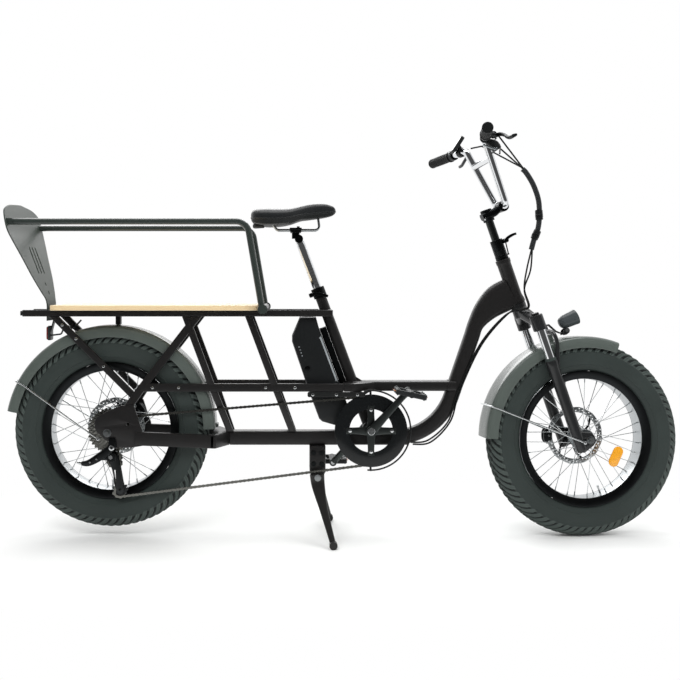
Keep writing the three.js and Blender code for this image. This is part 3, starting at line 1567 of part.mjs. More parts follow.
const pulleyTeeth = 11;
const guideAhead = 18;
const guideDrop = 87;
const tensionAhead = 34;
const tensionDrop = 177;
const guideX = rearAxleX + guideAhead;
const guideZ = rearAxleZ - guideDrop;
const tensionX = rearAxleX + tensionAhead;
const tensionZ = rearAxleZ - tensionDrop;
const pulleyBore = 4;
const cagePivotAhead = 10;
const cagePivotDrop = 74;
const cagePivotX = rearAxleX + cagePivotAhead;
const cagePivotZ = rearAxleZ - cagePivotDrop;
const cageInnerY = -56;
const cageOuterY = -68;
const cagePlate = 2.2;
const cagePinRadius = 5;
const derailleurBodyY = -84;
const hangerThickness = 5;
const cagePinLength = 14;
const drumRadius = 15;
const drumHalf = 8.5;
const knuckleBehind = 22;

// The hanger's outline and the body's route, measured from the rear axle
const hangerPoints = [[6, -14], [24, -14], [28, -44], [18, -54], [4, -50]];
const linkPoints = [[15, -14, -44], [-17, -12, -68], [-54, -8, -90], [-78, 0, -94]];
const linkSections = [[16, 22, 3], [20, 26, 3], [20, 20, 3], [14, 14, 3]];
const knuckleSection = [12, 24, 5];

function pulley(phase) {
  const wheelDisc = sidePlate(
    toothedOutline(pulleyTeeth, phase), chainLineY - sprocketThickness / 2, chainLineY + sprocketThickness / 2,
    [circle(roomFor(pulleyBore, 8), 8)],
  );
  const boss = disc(pulleyBore + 4, chainLineY - 2.5, chainLineY + 2.5, 8, roomFor(pulleyBore, 8));
  return join(wheelDisc, boss);
}

function derailleurCage() {
  const platePoints = [
    [cagePivotX - 14, cagePivotZ + 6], [cagePivotX + 2, cagePivotZ + 13], [guideX + 12, guideZ + 4],
    [tensionX + 13, tensionZ + 2], [tensionX + 5, tensionZ - 12], [tensionX - 9, tensionZ - 9],
    [guideX - 10, guideZ - 22],
  ];
  const plates = [[cageInnerY, cageInnerY + cagePlate], [cageOuterY - cagePlate, cageOuterY]].map(([low, high]) =>
    sidePlate(platePoints, low, high),
  );
  const pins = [[guideX, guideZ], [tensionX, tensionZ]].map(([x, z]) =>
    at(disc(pulleyBore, cageOuterY - cagePlate - 1, cageInnerY + cagePlate + 1, 8), x, z),
  );
  const pivot = at(disc(cagePinRadius, cageOuterY - cagePlate - cagePinLength, cageOuterY, 10), cagePivotX, cagePivotZ);
  return join(plates, pins, pivot);
}

function derailleur() {
  const hangerY = -rearHubSpan / 2 - stayWidth - fit;
  const hanger = sidePlate(
    hangerPoints.map(([x, z]) => [rearAxleX + x, rearAxleZ + z]), hangerY - hangerThickness, hangerY,
  );
  const bodyY = derailleurBodyY;
  const link = loft(
    linkPoints.map(([x, y, z]) => vec(rearAxleX + x, bodyY + y, rearAxleZ + z)),
    (i) => roundedRectangle(...linkSections[i]),
  );
  const knuckle = loft(
    [vec(rearAxleX - knuckleBehind, bodyY, cagePivotZ), vec(cagePivotX, bodyY, cagePivotZ)],
    () => roundedRectangle(...knuckleSection),
  );
  const drum = at(disc(drumRadius, bodyY - drumHalf, bodyY + drumHalf, 10), cagePivotX, cagePivotZ);
  const screw = at(
    disc(boltRadius * 1.8, bodyY - knuckleBehind, bodyY, 8), rearAxleX + linkPoints[0][0], rearAxleZ + linkPoints[0][2],
  );
  const bore = at(disc(roomFor(cagePinRadius, 10), bodyY - overrun, bodyY + overrun, 10), cagePivotX, cagePivotZ);
  return join(hanger, link, knuckle, drum, screw).subtract(bore);
}

addPiece(bike, "pulley_upper", at(pulley(0), guideX, guideZ), batteryBlack);
addPiece(bike, "pulley_lower", at(pulley(Math.PI / 2), tensionX, tensionZ), batteryBlack);
addPiece(bike, "derailleur_cage", derailleurCage(), blackAluminium);
addPiece(bike, "derailleur", clearOf(derailleur(), staysSolid, derailleurCage()), blackAluminium);

// Chain: one closed run of waisted links round the chainring, both pulleys and the sprocket

const linkHeight = 8.4;
const innerLinkWidth = 5.4;
const outerLinkWidth = 7.4;
const chainSteps = 96;

// Circles in running order, with the turning sense of the chain round each seen from the right
const chainStops = [
  { x: rearAxleX, z: rearAxleZ, r: pitchRadius(chainTeeth), turn: -1 },
  { x: bottomBracketX, z: bottomBracketZ, r: pitchRadius(ringTeeth), turn: -1 },
  { x: tensionX, z: tensionZ, r: pitchRadius(pulleyTeeth), turn: -1 },
  { x: guideX, z: guideZ, r: pitchRadius(pulleyTeeth), turn: 1 },
];

// The straight run that touches two circles: it leaves one and meets the next on their turning sides.
function tangentRun(a, b) {
  const dx = b.x - a.x;
  const dz = b.z - a.z;
  const distance = Math.hypot(dx, dz);
  const heading = Math.atan2(dz, dx);
  const offset = Math.asin((b.turn * b.r - a.turn * a.r) / distance);
  const angle = heading - offset;
  const nx = -Math.sin(angle);
  const nz = Math.cos(angle);
  return {
    from: [a.x - nx * a.r * a.turn, a.z - nz * a.r * a.turn],
    to: [b.x - nx * b.r * b.turn, b.z - nz * b.r * b.turn],
  };
}

function chainRoute() {
  const route = [];
  const runs = chainStops.map((stop, i) => tangentRun(stop, chainStops[(i + 1) % chainStops.length]));
  for (let i = 0; i < chainStops.length; i += 1) {
    const stop = chainStops[i];
    const arrive = runs[(i + chainStops.length - 1) % chainStops.length].to;
    const leave = runs[i].from;
    const start = Math.atan2(arrive[1] - stop.z, arrive[0] - stop.x);
    let sweep = Math.atan2(leave[1] - stop.z, leave[0] - stop.x) - start;
    const full = Math.PI * 2;
    if (stop.turn < 0) while (sweep > 0) sweep -= full;
    if (stop.turn > 0) while (sweep < 0) sweep += full;
    const steps = Math.max(2, Math.ceil(Math.abs(sweep) / 0.06));
    for (let k = 0; k <= steps; k += 1) {
      const angle = start + (sweep * k) / steps;
      route.push([stop.x + stop.r * Math.cos(angle), stop.z + stop.r * Math.sin(angle)]);
    }
  }
  return route;
}

// Equal steps along the closed route
function evenSteps(route, count) {
  const closed = [...route, route[0]];
  const lengths = [0];
  for (let i = 1; i < closed.length; i += 1) {
    lengths.push(lengths[i - 1] + Math.hypot(closed[i][0] - closed[i - 1][0], closed[i][1] - closed[i - 1][1]));
  }
  const total = lengths[lengths.length - 1];
  let k = 0;
  return Array.from({ length: count }, (_, i) => {
    const wanted = (total * i) / count;
    while (lengths[k + 1] < wanted) k += 1;
    const share = (wanted - lengths[k]) / (lengths[k + 1] - lengths[k]);
    return [0, 1].map((axis) => closed[k][axis] + share * (closed[k + 1][axis] - closed[k][axis]));
  });
}

// The width alternates from pin to pin between the inner and the outer link plates.
function chain() {
  const points = evenSteps(chainRoute(), chainSteps);
  const half = linkHeight / 2;
  const rings = points.map((point, i) => {
    const before = points[(i + chainSteps - 1) % chainSteps];
    const after = points[(i + 1) % chainSteps];
    const tangent = new THREE.Vector2(after[0] - before[0], after[1] - before[1]).normalize();
    const normal = [-tangent.y, tangent.x];
    const width = i % 2 ? innerLinkWidth : outerLinkWidth;
    return [[-1, -1], [1, -1], [1, 1], [-1, 1]].map(([a, b]) =>
      vec(point[0] + normal[0] * b * half, chainLineY + (a * width) / 2, point[1] + normal[1] * b * half),
    );
  });
  return loopSkin(rings);
}

function loopSkin(rings) {
  const count = rings[0].length;
  const positions = rings.flat().flatMap((p) => [p.x, p.y, p.z]);
  const index = [];
  for (let r = 0; r < rings.length; r += 1) {
    const next = ((r + 1) % rings.length) * count;
    for (let i = 0; i < count; i += 1) {
      const a = r * count + i;
      const b = r * count + ((i + 1) % count);
      const c = next + ((i + 1) % count);
      const d = next + i;
      index.push(a, b, c, a, c, d);
    }
  }
  return facingOut(positions, index);
}

// Room for the teeth inside the chain, a little larger than each sprocket
const toothRoom = chainStops.map((stop) => {
  const count = stop.r > guardInner ? 28 : 18;
  const half = sprocketThickness / 2 + fit;
  return at(disc(roomFor(stop.r + toothRise, count), chainLineY - half, chainLineY + half, count), stop.x, stop.z);
});
const beside = (y, thick, radius) => onCrank(disc(radius, y - thick / 2, y + thick / 2, 26));
const neighbours = [
  beside(guardY - guardThickness / 2, guardThickness + fit * 2, guardRadius + fit),
];
addPiece(bike, "chain", chain().subtract(join(toothRoom)).subtract(join(neighbours)), chainSteel);

// Chain guard: a wire hoop round the front of the chainring, and a strip along the right main tube

const guardHoopRadius = 122;
const guardWire = 2.6;
const guardHoopY = -58;
const guardArmY = -46;

const stripRearX = -112;
const stripFrontX = 64;
const stripZ = 444;
const stripHeight = 16;
const stripThickness = 2.8;
const stripBoltXs = [-96, -24, 40];

const hoopAngles = [100, 78, 52, 26, 0, -26, -52, -78, -95];
const hoopArmAngles = [90, 0, -90];
const hoopCollar = 5;
const hoopCollarLength = 14;

function chainGuard() {
  const hoopPoint = (angle, r = guardHoopRadius, y = guardHoopY) =>
    vec(bottomBracketX + r * Math.cos(degrees(angle)), y, bottomBracketZ + r * Math.sin(degrees(angle)));
  const hoop = tube(hoopAngles.map((angle) => hoopPoint(angle)), guardWire, 4);
  const arms = hoopArmAngles.map((angle) =>
    tube(
      [
        hoopPoint(angle), hoopPoint(angle, guardHoopRadius, guardArmY),
        hoopPoint(angle, bottomShellRadius, guardArmY),
      ],
      guardWire * 1.3,
      4,
    ),
  );
  const collar = onCrank(
    disc(
      bottomShellRadius + hoopCollar, -bottomShellHalf - hoopCollarLength, -bottomShellHalf - fit, 10,
      roomFor(spindleRadius, 10),
    ),
  );
  const stripY = -sideTubeY - sideTubeWidth / 2 - fit;
  const middleY = stripY - stripThickness / 2;
  const strip = loft(
    [vec(stripRearX, middleY, stripZ), vec(stripFrontX, middleY, stripZ)], () => rectangle(stripThickness, stripHeight),
  );
  const neck = loft(
    [vec(stripFrontX - stripHeight / 2, middleY, stripZ), vec(bottomBracketX, guardHoopY, bottomBracketZ + guardHoopRadius)],
    () => rectangle(stripThickness, stripHeight / 2),
  );
  const bolts = stripBoltXs.map((x) =>
    rod(vec(x, middleY - stripThickness, stripZ), vec(x, middleY, stripZ), boltRadius, 6),
  );
  return join(hoop, arms, collar, strip, neck, bolts);
}

addPiece(bike, "chain_guard", clearOf(chainGuard(), frontFrameSolid, cranksetSolid), blackAluminium);

// Rear brake caliper on the left dropout

const caliperWidths = [24, 34, 34, 24];
const caliperShares = [0.6, 1, 1, 0.6];
const caliperInset = 2;
const rearCaliperBearing = degrees(34);
const rearCaliperLength = 46;
const rearCaliperHeight = 28;

function caliper(length, height, gapY) {
  const shell = loft(
    [vec(-length / 2, gapY, 0), vec(-length / 4, gapY, height / 6), vec(length / 4, gapY, height / 6), vec(length / 2, gapY, 0)],
    (i) => roundedRectangle(caliperWidths[i], height * caliperShares[i], 5),
  );
  const slot = bar(vec(-length, gapY, -height / 2), vec(length, gapY, -height / 2), rotorThickness + 1.4, height * 1.3, 0.4);
  return { shell, slot };
}

function rearCaliper() {
  const { shell, slot } = caliper(rearCaliperLength, rearCaliperHeight, rearRotorY);
  const bearing = rearCaliperBearing;
  const reach = rotorOuter - caliperInset;
  const body = turned(shell.subtract(slot), yAxis, degrees(90) - bearing);
  const seated = onRearAxle(moved(body, reach * Math.cos(bearing), 0, reach * Math.sin(bearing)));
  return seated;
}

function rotorRoom(y) {
  const half = rotorThickness / 2 + fit * 2;
  return disc(rotorOuter + fit * 3, y - half, y + half, 36);
}

addPiece(
  bike, "rear_caliper", clearOf(rearCaliper(), staysSolid, onRearAxle(rotorRoom(rearRotorY))), blackAluminium,
);

// Fork crown: steerer, crown arms and the two chromed stanchions, turning in the head tube

const legU = 18;
const legY = 72;
const stanchionRadius = 14;
const stanchionFootW = -240;
const crownBossRadius = 21;
const crownBossBottomW = -96;
const crownBossTopW = -47;
const crownRaceRadius = 24;
const crownArmHeight = 38;
const crownArmWidth = 34;
const steererTopW = 188;
const steererBore = 13;
const mastRadius = 12.7;
const headsetRadius = 20;
const headsetTopW = 158;
const raceFootW = -46;
const steererFootW = -10;
const crownCapHeight = 7;
const crownArmPoints = [[0, 0, -26], [6, legY * 0.45, -42], [legU, legY, -70]];
const crownArmShares = [1, 1, 0.9];

const leg = (low, high, radius, count, side) => rod(vec(legU, side * legY, low), vec(legU, side * legY, high), radius, count);

function forkCrown() {
  const race = upright(disc(crownRaceRadius, raceFootW, -fit * 2, 12));
  const steerer = rod(vec(0, 0, steererFootW), vec(0, 0, steererTopW), steererRadius, 14);
  const headset = upright(disc(headsetRadius, headLength + fit, headsetTopW, 14));
  const arms = sides.map((side) =>
    loft(
      crownArmPoints.map(([u, y, w]) => vec(u, side * y, w)),
      (i) => roundedRectangle(crownArmHeight * crownArmShares[i], crownArmWidth, 6),
      zAxis,
    ),
  );
  const bosses = sides.map((side) => leg(crownBossBottomW, crownBossTopW, crownBossRadius, 10, side));
  const caps = sides.map((side) => leg(crownBossTopW, crownBossTopW + crownCapHeight, stanchionRadius * 0.8, 6, side));
  const stanchions = sides.map((side) => leg(stanchionFootW, crownBossBottomW + 4, stanchionRadius, 10, side));
  const bore = rod(vec(0, 0, steererFootW + 4), vec(0, 0, steererTopW + overrun), steererBore, 14);
  return join(race, steerer, headset, arms, bosses, caps, stanchions).subtract(bore);
}
const forkCrownSolid = forkCrown();
addPiece(steered, "fork_crown", forkCrownSolid, satinBlack);

// Fork lowers: two sliding legs, the arch over the fender, the dropouts and the axle

const lowersTopW = -193;
const lowersFootW = -488;
const lowersRadius = 17.5;
const lowersBoreW = -302;
const dropoutThickness = 12;
const archWidth = 13;
const archHeight = 11;
const archTopW = -118;
const archU = 62;
const axleHead = 9;
const axleNut = 6;

// One half of the arch from its foot on the leg to its middle
const archPoints = [[legU + 10, legY, lowersTopW - 22], [46, 69, -178], [archU, 58, -138], [archU, 34, archTopW]];

const frontDropInner = frontHubSpan / 2 + fit;

function forkLowers() {
  const legs = sides.map((side) => leg(lowersFootW, lowersTopW, lowersRadius, 10, side));
  const bores = sides.map((side) => leg(lowersBoreW, lowersTopW + overrun, roomFor(stanchionRadius, 10), 10, side));
  const arch = loft(
    [
      ...archPoints.map(([u, y, w]) => vec(u, -y, w)),
      ...archPoints.map(([u, y, w]) => vec(u, y, w)).reverse(),
    ],
    () => rectangle(archWidth, archHeight),
    xAxis,
  );
  const drops = sides.map((side) => {
    const outline = [
      [legU - 16, lowersFootW + 6], [legU - 16, lowersFootW + 52], [legU + 18, lowersFootW + 58],
      [forkRake + 16, axleRise + 12], [forkRake + 16, axleRise - 10], [forkRake + 2, axleRise - 20],
      [legU + 4, lowersFootW - 4],
    ];
    const low = side > 0 ? frontDropInner : -frontDropInner - dropoutThickness;
    return sidePlate(outline, low, low + dropoutThickness);
  });
  const end = frontDropInner + dropoutThickness;
  const axle = rod(
    vec(forkRake, -end - axleHead, axleRise), vec(forkRake, end + axleHead, axleRise), axleRadius, 12,
  );
  const nuts = sides.map((side) =>
    rod(vec(forkRake, side * end, axleRise), vec(forkRake, side * (end + axleNut), axleRise), nutRadius, 6),
  );
  return join(legs, arch, drops, axle, nuts).subtract(join(bores));
}

const forkLowersSolid = forkLowers();
addPiece(steered, "fork_lowers", forkLowersSolid, blackAluminium);

// Front fender and its wire stay

const frontFenderFrom = 51;
const frontFenderTo = 160;
const frontFenderGap = 14;
const frontFenderDepth = 35;
const frontFenderCrown = tyreRadius + frontFenderGap;
const frontFenderEdge = frontFenderCrown - frontFenderDepth;
const frontStayBearing = 142;
const frontStayFoot = [-24, 2];

function frontFender() {
  const hood = arcSweep(fenderSection(frontFenderEdge, frontFenderCrown), frontFenderFrom, frontFenderTo, 11);
  const bracket = bar(
    vec(archU - frontAxle.x, 0, frontFenderCrown - 3), vec(archU - frontAxle.x, 0, archTopW - axleRise - archHeight / 2 - fit * 3),
    26, 12, 1,
  );
  return onFrontAxle(join(hood, bracket));
}

const frontFenderSolid = frontFender();
addPiece(steered, "front_fender", clearOf(frontFenderSolid, forkLowersSolid), glossBlack);

function frontFenderStay() {
  const y = legY + lowersRadius + stayWire + fit * 2;
  const wire = fenderStay(frontStayBearing, frontFenderCrown, y, frontStayFoot, staySpread);
  const eyes = sides.map((side) =>
    moved(disc(boltRadius * 1.4, side * y - stayWire, side * y + stayWire, 6), frontStayFoot[0], 0, frontStayFoot[1]),
  );
  return onFrontAxle(join(wire, eyes));
}

addPiece(steered, "front_fender_stay", clearOf(frontFenderStay(), forkLowersSolid), chrome);

// Front caliper behind the left leg

const frontCaliperBearing = degrees(160);
const frontCaliperLength = 44;
const frontCaliperHeight = 26;

function frontCaliper() {
  const { shell, slot } = caliper(frontCaliperLength, frontCaliperHeight, frontRotorY);
  const bearing = frontCaliperBearing;
  const reach = rotorOuter - caliperInset;
  const body = turned(shell.subtract(slot), yAxis, degrees(90) - bearing);
  return onFrontAxle(moved(body, reach * Math.cos(bearing), 0, reach * Math.sin(bearing)));
}

const frontCaliperSolid = clearOf(
  frontCaliper(), forkLowersSolid, frontWheel, onFrontAxle(rotorRoom(frontRotorY)),
);
addPiece(steered, "front_caliper", frontCaliperSolid, blackAluminium);

// Headlight on a bent bracket from the fork arch

const lampPivot = [118, -131];
const lampReach = 20;
const lampRise = 27;
const lampTilt = 4;
const lampPinRadius = 3;
const lampPinHalf = 17;
const lampEarY = 12;
const lampEarHalf = 1.5;
const lampProfile = [[0, -34], [14, -32], [21, -18], [24, 24], [20, 30], [0, 31]];
const strapWidth = 16;
const strapThickness = 4;
const strapRise = fit * 3;

// The strap's points from the arch forward, and the outline of one ear beside the lamp's lug
const strapPoints = [[archU, -97], [70, -96], [86, -124], [98, -134], [110, -137]];
const earOutline = [[102, -142], [123, -138], [126, -129], [118, -126], [106, -130]];
const earBridge = [107, -137];

function headlightBracket() {
  const strap = loft(
    [
      vec(archU, 0, archTopW + archHeight / 2 + strapRise),
      ...strapPoints.map(([u, w]) => vec(u, 0, w)),
    ],
    () => rectangle(strapWidth, strapThickness),
  );
  const fork = sides.map((side) =>
    sidePlate(earOutline, side * lampEarY - lampEarHalf, side * lampEarY + lampEarHalf),
  );
  const bridge = loft(
    sides.map((side) => vec(earBridge[0], -side * (lampEarY + 1), earBridge[1])), () => rectangle(strapThickness + 2, strapThickness + 1), zAxis,
  );
  const space = rod(
    vec(lampPivot[0], -overrun, lampPivot[1]), vec(lampPivot[0], overrun, lampPivot[1]), roomFor(lampPinRadius, 8), 8,
  );
  return join(strap, fork, bridge).subtract(space);
}

addPiece(steered, "headlight_bracket", headlightBracket(), blackAluminium);

function headlight() {
  const body = lathe(lampProfile, 14);
  const pointed = turned(turned(body, zAxis, -Math.PI / 2), yAxis, -degrees(lampTilt));
  const lug = loft([vec(-lampReach, 0, -lampRise - 4), vec(-lampReach, 0, -8)], () => rectangle(strapWidth, lampRise / 3));
  const pin = rod(
    vec(-lampReach, -lampPinHalf, -lampRise), vec(-lampReach, lampPinHalf, -lampRise), lampPinRadius, 8,
  );
  const lamp = join(pointed, lug, pin);
  return moved(lamp, lampPivot[0] + lampReach, 0, lampPivot[1] + lampRise);
}

addPiece(steered, "headlight", headlight(), lampGrey);

// Mast: a collar with a cam lever clamps the telescoping handlebar mast

const mastCollarRadius = 19.5;
const mastCollarTopW = 207;
const mastLugU = 27;
const mastPinW = 196;
const mastFootW = 40;
const mastTopW = 300;
const mastPinRadius = 3;
const mastPinEnds = [-18, 16];
const mastCamEnds = [-20, -12];
const mastCamRadius = 7;
const mastNutEnds = [12, 16];
const mastNutRadius = 6;
const mastLugWidth = 22;
const mastLugHeight = 14;

// The lever's points forward, sideways and up from its pin, its sections, and the safety latch beside it
const mastLeverPoints = [[-2, -18, 2], [16, -22, 9], [34, -24, 10]];
const mastLeverSections = [[4, 9], [4, 9], [3, 7]];
const mastLatchPoints = [[-5, -19, -2], [-10, -21, -44]];
const mastLatchRadius = 2.2;

function mastCollar() {
  const body = upright(disc(mastCollarRadius, headsetTopW + fit, mastCollarTopW, 14));
  const lug = bar(
    vec(mastCollarRadius - mastNutRadius, 0, mastPinW), vec(mastLugU + mastNutRadius, 0, mastPinW),
    mastLugWidth, mastLugHeight, 2,
  );
  const steererSpace = rod(vec(0, 0, 0), vec(0, 0, steererTopW + fit), roomFor(steererRadius, 14), 14);
  const mastSpace = rod(vec(0, 0, 0), vec(0, 0, mastCollarTopW + overrun), steererBore, 14);
  const pinSpace = rod(vec(mastLugU, -overrun, mastPinW), vec(mastLugU, overrun, mastPinW), roomFor(mastPinRadius, 8), 8);
  return join(body, lug).subtract(join(steererSpace, mastSpace, pinSpace));
}

addPiece(steered, "mast_collar", mastCollar(), blackAluminium);

function mastLever() {
  const onPin = ([u, y, w]) => vec(mastLugU + u, y, mastPinW + w);
  const acrossPin = (ends, radius, count) => rod(onPin([0, ends[0], 0]), onPin([0, ends[1], 0]), radius, count);
  const pin = acrossPin(mastPinEnds, mastPinRadius, 8);
  const cam = acrossPin(mastCamEnds, mastCamRadius, 8);
  const nut = acrossPin(mastNutEnds, mastNutRadius, 6);
  const blade = loft(mastLeverPoints.map(onPin), (i) => roundedRectangle(...mastLeverSections[i], 1));
  const latch = rod(...mastLatchPoints.map(onPin), mastLatchRadius, 6);
  return join(pin, cam, nut, blade, latch);
}

addPiece(steered, "mast_lever", mastLever(), blackAluminium);
addPiece(steered, "mast", rod(vec(0, 0, mastFootW), vec(0, 0, mastTopW), mastRadius, 14), brushedAluminium);

// Stem, handlebar and grips

const barRadius = 11.1;
const barU = 53;
const barW = 300;
const barKneeY = 44;
const barBend = 26;
const barCorner = [36, 106, 508];
const barEnd = [-21, 330, 519];
const crossW = 449;
const crossRadius = 11;
const gripStartY = 200;
const gripRadius = 16.2;
const gripFlange = 2;
const gripFlangeWidth = 7;
const gripEnd = 3.5;

// A point on the straight outer part of the bar, at a given distance from the middle
function barPoint(y, side) {
  const share = (y - barCorner[1]) / (barEnd[1] - barCorner[1]);
  return vec(
    barCorner[0] + share * (barEnd[0] - barCorner[0]),
    side * y,
    barCorner[2] + share * (barEnd[2] - barCorner[2]),
  );
}

function handlebar() {
  const half = [vec(barU, barKneeY, barW), vec(...barCorner), barPoint(barEnd[1] - gripEnd - fit * 2, 1)];
  const other = half.map((p) => vec(p.x, -p.y, p.z)).reverse();
  const bent = tube(rounded([...other, ...half], barBend, 3), barRadius, 8);
  const share = (crossW - barW) / (barCorner[2] - barW);
  const reach = barKneeY + share * (barCorner[1] - barKneeY);
  const u = barU + share * (barCorner[0] - barU);
  const brace = rod(vec(u, -reach, crossW), vec(u, reach, crossW), crossRadius, 8);
  return join(bent, brace);
}

const handlebarSolid = handlebar();
addPiece(steered, "handlebar", handlebarSolid, chrome);

const barSpace = rod(vec(barU, -overrun, barW), vec(barU, overrun, barW), roomFor(barRadius, 10), 10);

const stemFootW = 268;
const stemWall = 6;
const stemClampHalf = 22;
const stemPoints = [[-22, 287], [20, 290], [barU - 6, barW]];
const stemSections = [[36, 24], [40, 26], [38, 26]];

function stem() {
  const body = loft(
    stemPoints.map(([u, w]) => vec(u, 0, w)),
    (i) => roundedRectangle(...stemSections[i], 4),
  );
  const clamp = rod(vec(barU, -stemClampHalf, barW), vec(barU, stemClampHalf, barW), barRadius + stemWall, 10);
  const tower = rod(vec(0, 0, stemFootW), vec(0, 0, mastTopW + stemWall), mastRadius + stemWall, 10);
  const mastFoot = vec(0, 0, stemFootW - overrun);
  const mastSpace = rod(mastFoot, vec(0, 0, mastTopW + fit), roomFor(mastRadius, 14), 14);
  return join(body, clamp, tower).subtract(join(mastSpace, barSpace));
}

addPiece(steered, "stem", stem(), blackAluminium);

function grip(side) {
  const start = barPoint(gripStartY, side);
  const end = barPoint(barEnd[1], side);
  const flange = barPoint(gripStartY + gripFlangeWidth, side);
  const plug = barPoint(barEnd[1] - gripEnd, side);
  const body = join(rod(start, end, gripRadius, 12), rod(start, flange, gripRadius + gripFlange, 12));
  const inner = rod(barPoint(gripStartY - overrun, side), plug, roomFor(barRadius, 10), 10);
  return body.subtract(inner);
}

for (const side of sides) addPiece(steered, `grip_${sideName(side)}`, grip(side), softGrip);

// Brake levers: perches clamped inboard of the grips, and sprung blades

const perchY = 186;
const leverPivotU = 34;
const leverPivotY = 160;
const leverPivotDrop = 9;
const perchHalf = 9;
const perchWall = 5;
const perchSections = [[17, 15], [19, 14], [20, 13]];
const perchArmPoints = [[8, 0, -2], [22, -10, -4]];
const reservoirPoints = [[-18, 26, -2], [-38, 26, -2]];
const reservoirRadius = 9;
const perchGapHalf = 4;
const perchGapYs = [-14, 40];
const leverPinRadius = 3;
const leverPostRadius = 2.7;
const leverPostHalf = 8;
const leverHubRadius = 8;
const leverHubHalf = 3.6;

// A blade's points forward, outward and up from its pivot, and its section at each
const brakeBladePoints = [[-3, -4, 0], [10, 20, 0], [12, 48, -10], [6, 90, -24], [6, 128, -26], [12, 138, -26]];
const brakeBladeSections = [[7, 12], [7, 12], [12, 9], [14, 8], [12, 8], [6, 6]];

function perch(side) {
  const middle = barPoint(perchY, side);
  const ring = rod(barPoint(perchY - perchHalf, side), barPoint(perchY + perchHalf, side), barRadius + perchWall, 10);
  const arm = loft(
    [
      ...perchArmPoints.map(([x, y, z]) => middle.clone().add(vec(x, side * y, z))),
      vec(middle.x + leverPivotU, side * (leverPivotY + 4), middle.z - leverPivotDrop),
    ],
    (i) => rectangle(...perchSections[i]),
    zAxis,
  );
  const reservoirEnds = reservoirPoints.map(([y, x, z]) => barPoint(perchY + y, side).add(vec(x, 0, z)));
  const reservoir = rod(...reservoirEnds, reservoirRadius, 8);
  const gapX = middle.x + leverPivotU;
  const gapZ = middle.z - leverPivotDrop;
  const [gapNear, gapFar] = perchGapYs.map((y) => side * (leverPivotY + y));
  const gap = planPlate(
    [[gapX - perchHalf, gapNear], [gapX + overrun, gapNear], [gapX + overrun, gapFar], [gapX - perchHalf, gapFar]],
    gapZ - perchGapHalf,
    gapZ + perchGapHalf,
  );
  const pivot = moved(upright(disc(leverPinRadius, -overrun, overrun, 8)), gapX, side * leverPivotY, gapZ);
  const barRoom = rod(barPoint(perchY - overrun, side), barPoint(perchY + overrun, side), roomFor(barRadius, 10), 10);
  const post = moved(
    upright(disc(leverPostRadius, -leverPostHalf, leverPostHalf, 8)), gapX, side * leverPivotY, gapZ,
  );
  return { solid: join(ring, arm, reservoir).subtract(join(gap, pivot, barRoom)), post, middle };
}

function brakeLever(side) {
  const { middle, post } = perch(side);
  const z = middle.z - leverPivotDrop;
  const x = middle.x + leverPivotU;
  const blade = loft(
    brakeBladePoints.map(([forward, out, rise]) => vec(x + forward, side * (leverPivotY + out), z + rise)),
    (i) => roundedRectangle(...brakeBladeSections[i], 1.5),
    zAxis,
  );
  const hub = moved(upright(disc(leverHubRadius, -leverHubHalf, leverHubHalf, 10)), x, side * leverPivotY, z);
  return join(blade, hub, post);
}

for (const side of sides) {
  const { solid } = perch(side);
  const lever = brakeLever(side);
  addPiece(steered, `brake_${sideName(side)}`, solid.subtract(thickened(lever)), blackAluminium);
  addPiece(steered, `brake_lever_${sideName(side)}`, lever, blackAluminium);
}

// A piece grown about its own centre by a small gap, to cut room for it.
function thickened(solid) {
  const box = solid.boundingBox();
  const grown = [0, 1, 2].map((axis) => 1 + (fit * 2) / (box.max[axis] - box.min[axis]));
  const centre = [0, 1, 2].map((axis) => (box.max[axis] + box.min[axis]) / 2);
  return solid
    .translate(centre.map((c) => -c))
    .scale(grown)
    .translate(centre);
}

// Shifter under the right side of the bar, and its thumb lever

const shifterY = 134;
const shifterHalf = 8;
const shifterWall = 4.5;
const shifterPoints = [[4, 0, -14], [16, 0, -26], [24, 0, -46]];
const shifterSections = [[18, 24], [28, 32], [26, 28]];
const thumbPin = [14, -42];
const thumbPinEnds = [-20, 10];
const thumbPinRadius = 4;

// The thumb lever's points forward, sideways and up from the bar, and its sections
const thumbPoints = [[16, -21, -44], [-2, -21, -34], [-22, -23, -18]];
const thumbSections = [[5, 12], [5, 10], [4, 12]];

const thumbPoint = (middle, y) => vec(middle.x + thumbPin[0], -shifterY + y, middle.z + thumbPin[1]);

function shifter() {
  const middle = barPoint(shifterY, -1);
  const ring = rod(
    barPoint(shifterY - shifterHalf, -1), barPoint(shifterY + shifterHalf, -1), barRadius + shifterWall, 12,
  );
  const body = loft(
    shifterPoints.map((point) => middle.clone().add(vec(...point))),
    (i) => roundedRectangle(...shifterSections[i], 4),
  );
  const barRoom = rod(barPoint(shifterY - overrun, -1), barPoint(shifterY + overrun, -1), roomFor(barRadius, 10), 10);
  const pinRoom = rod(
    thumbPoint(middle, -overrun), thumbPoint(middle, overrun), roomFor(thumbPinRadius, 8), 8,
  );
  return join(ring, body).subtract(join(barRoom, pinRoom));
}

function shiftLever() {
  const middle = barPoint(shifterY, -1);
  const pin = rod(...thumbPinEnds.map((y) => thumbPoint(middle, y)), thumbPinRadius, 8);
  const blade = loft(
    thumbPoints.map((point) => middle.clone().add(vec(...point))),
    (i) => roundedRectangle(...thumbSections[i], 1.5),
  );
  return join(pin, blade);
}

addPiece(steered, "shifter", shifter(), blackAluminium);
addPiece(steered, "shift_lever", shiftLever(), chrome);

// Display on the left of the bar

const displayY = 135;
const displayHalf = 9;
const displayWall = 4;
const displayTilt = 38;
const displayLength = 60;
const displayHeight = 12;
const displayWidth = 48;
const displayEdge = 2.5;
const displayPlace = [-5, 28];
const displayNeck = [[2, 0, 8], [-2, 0, 24]];

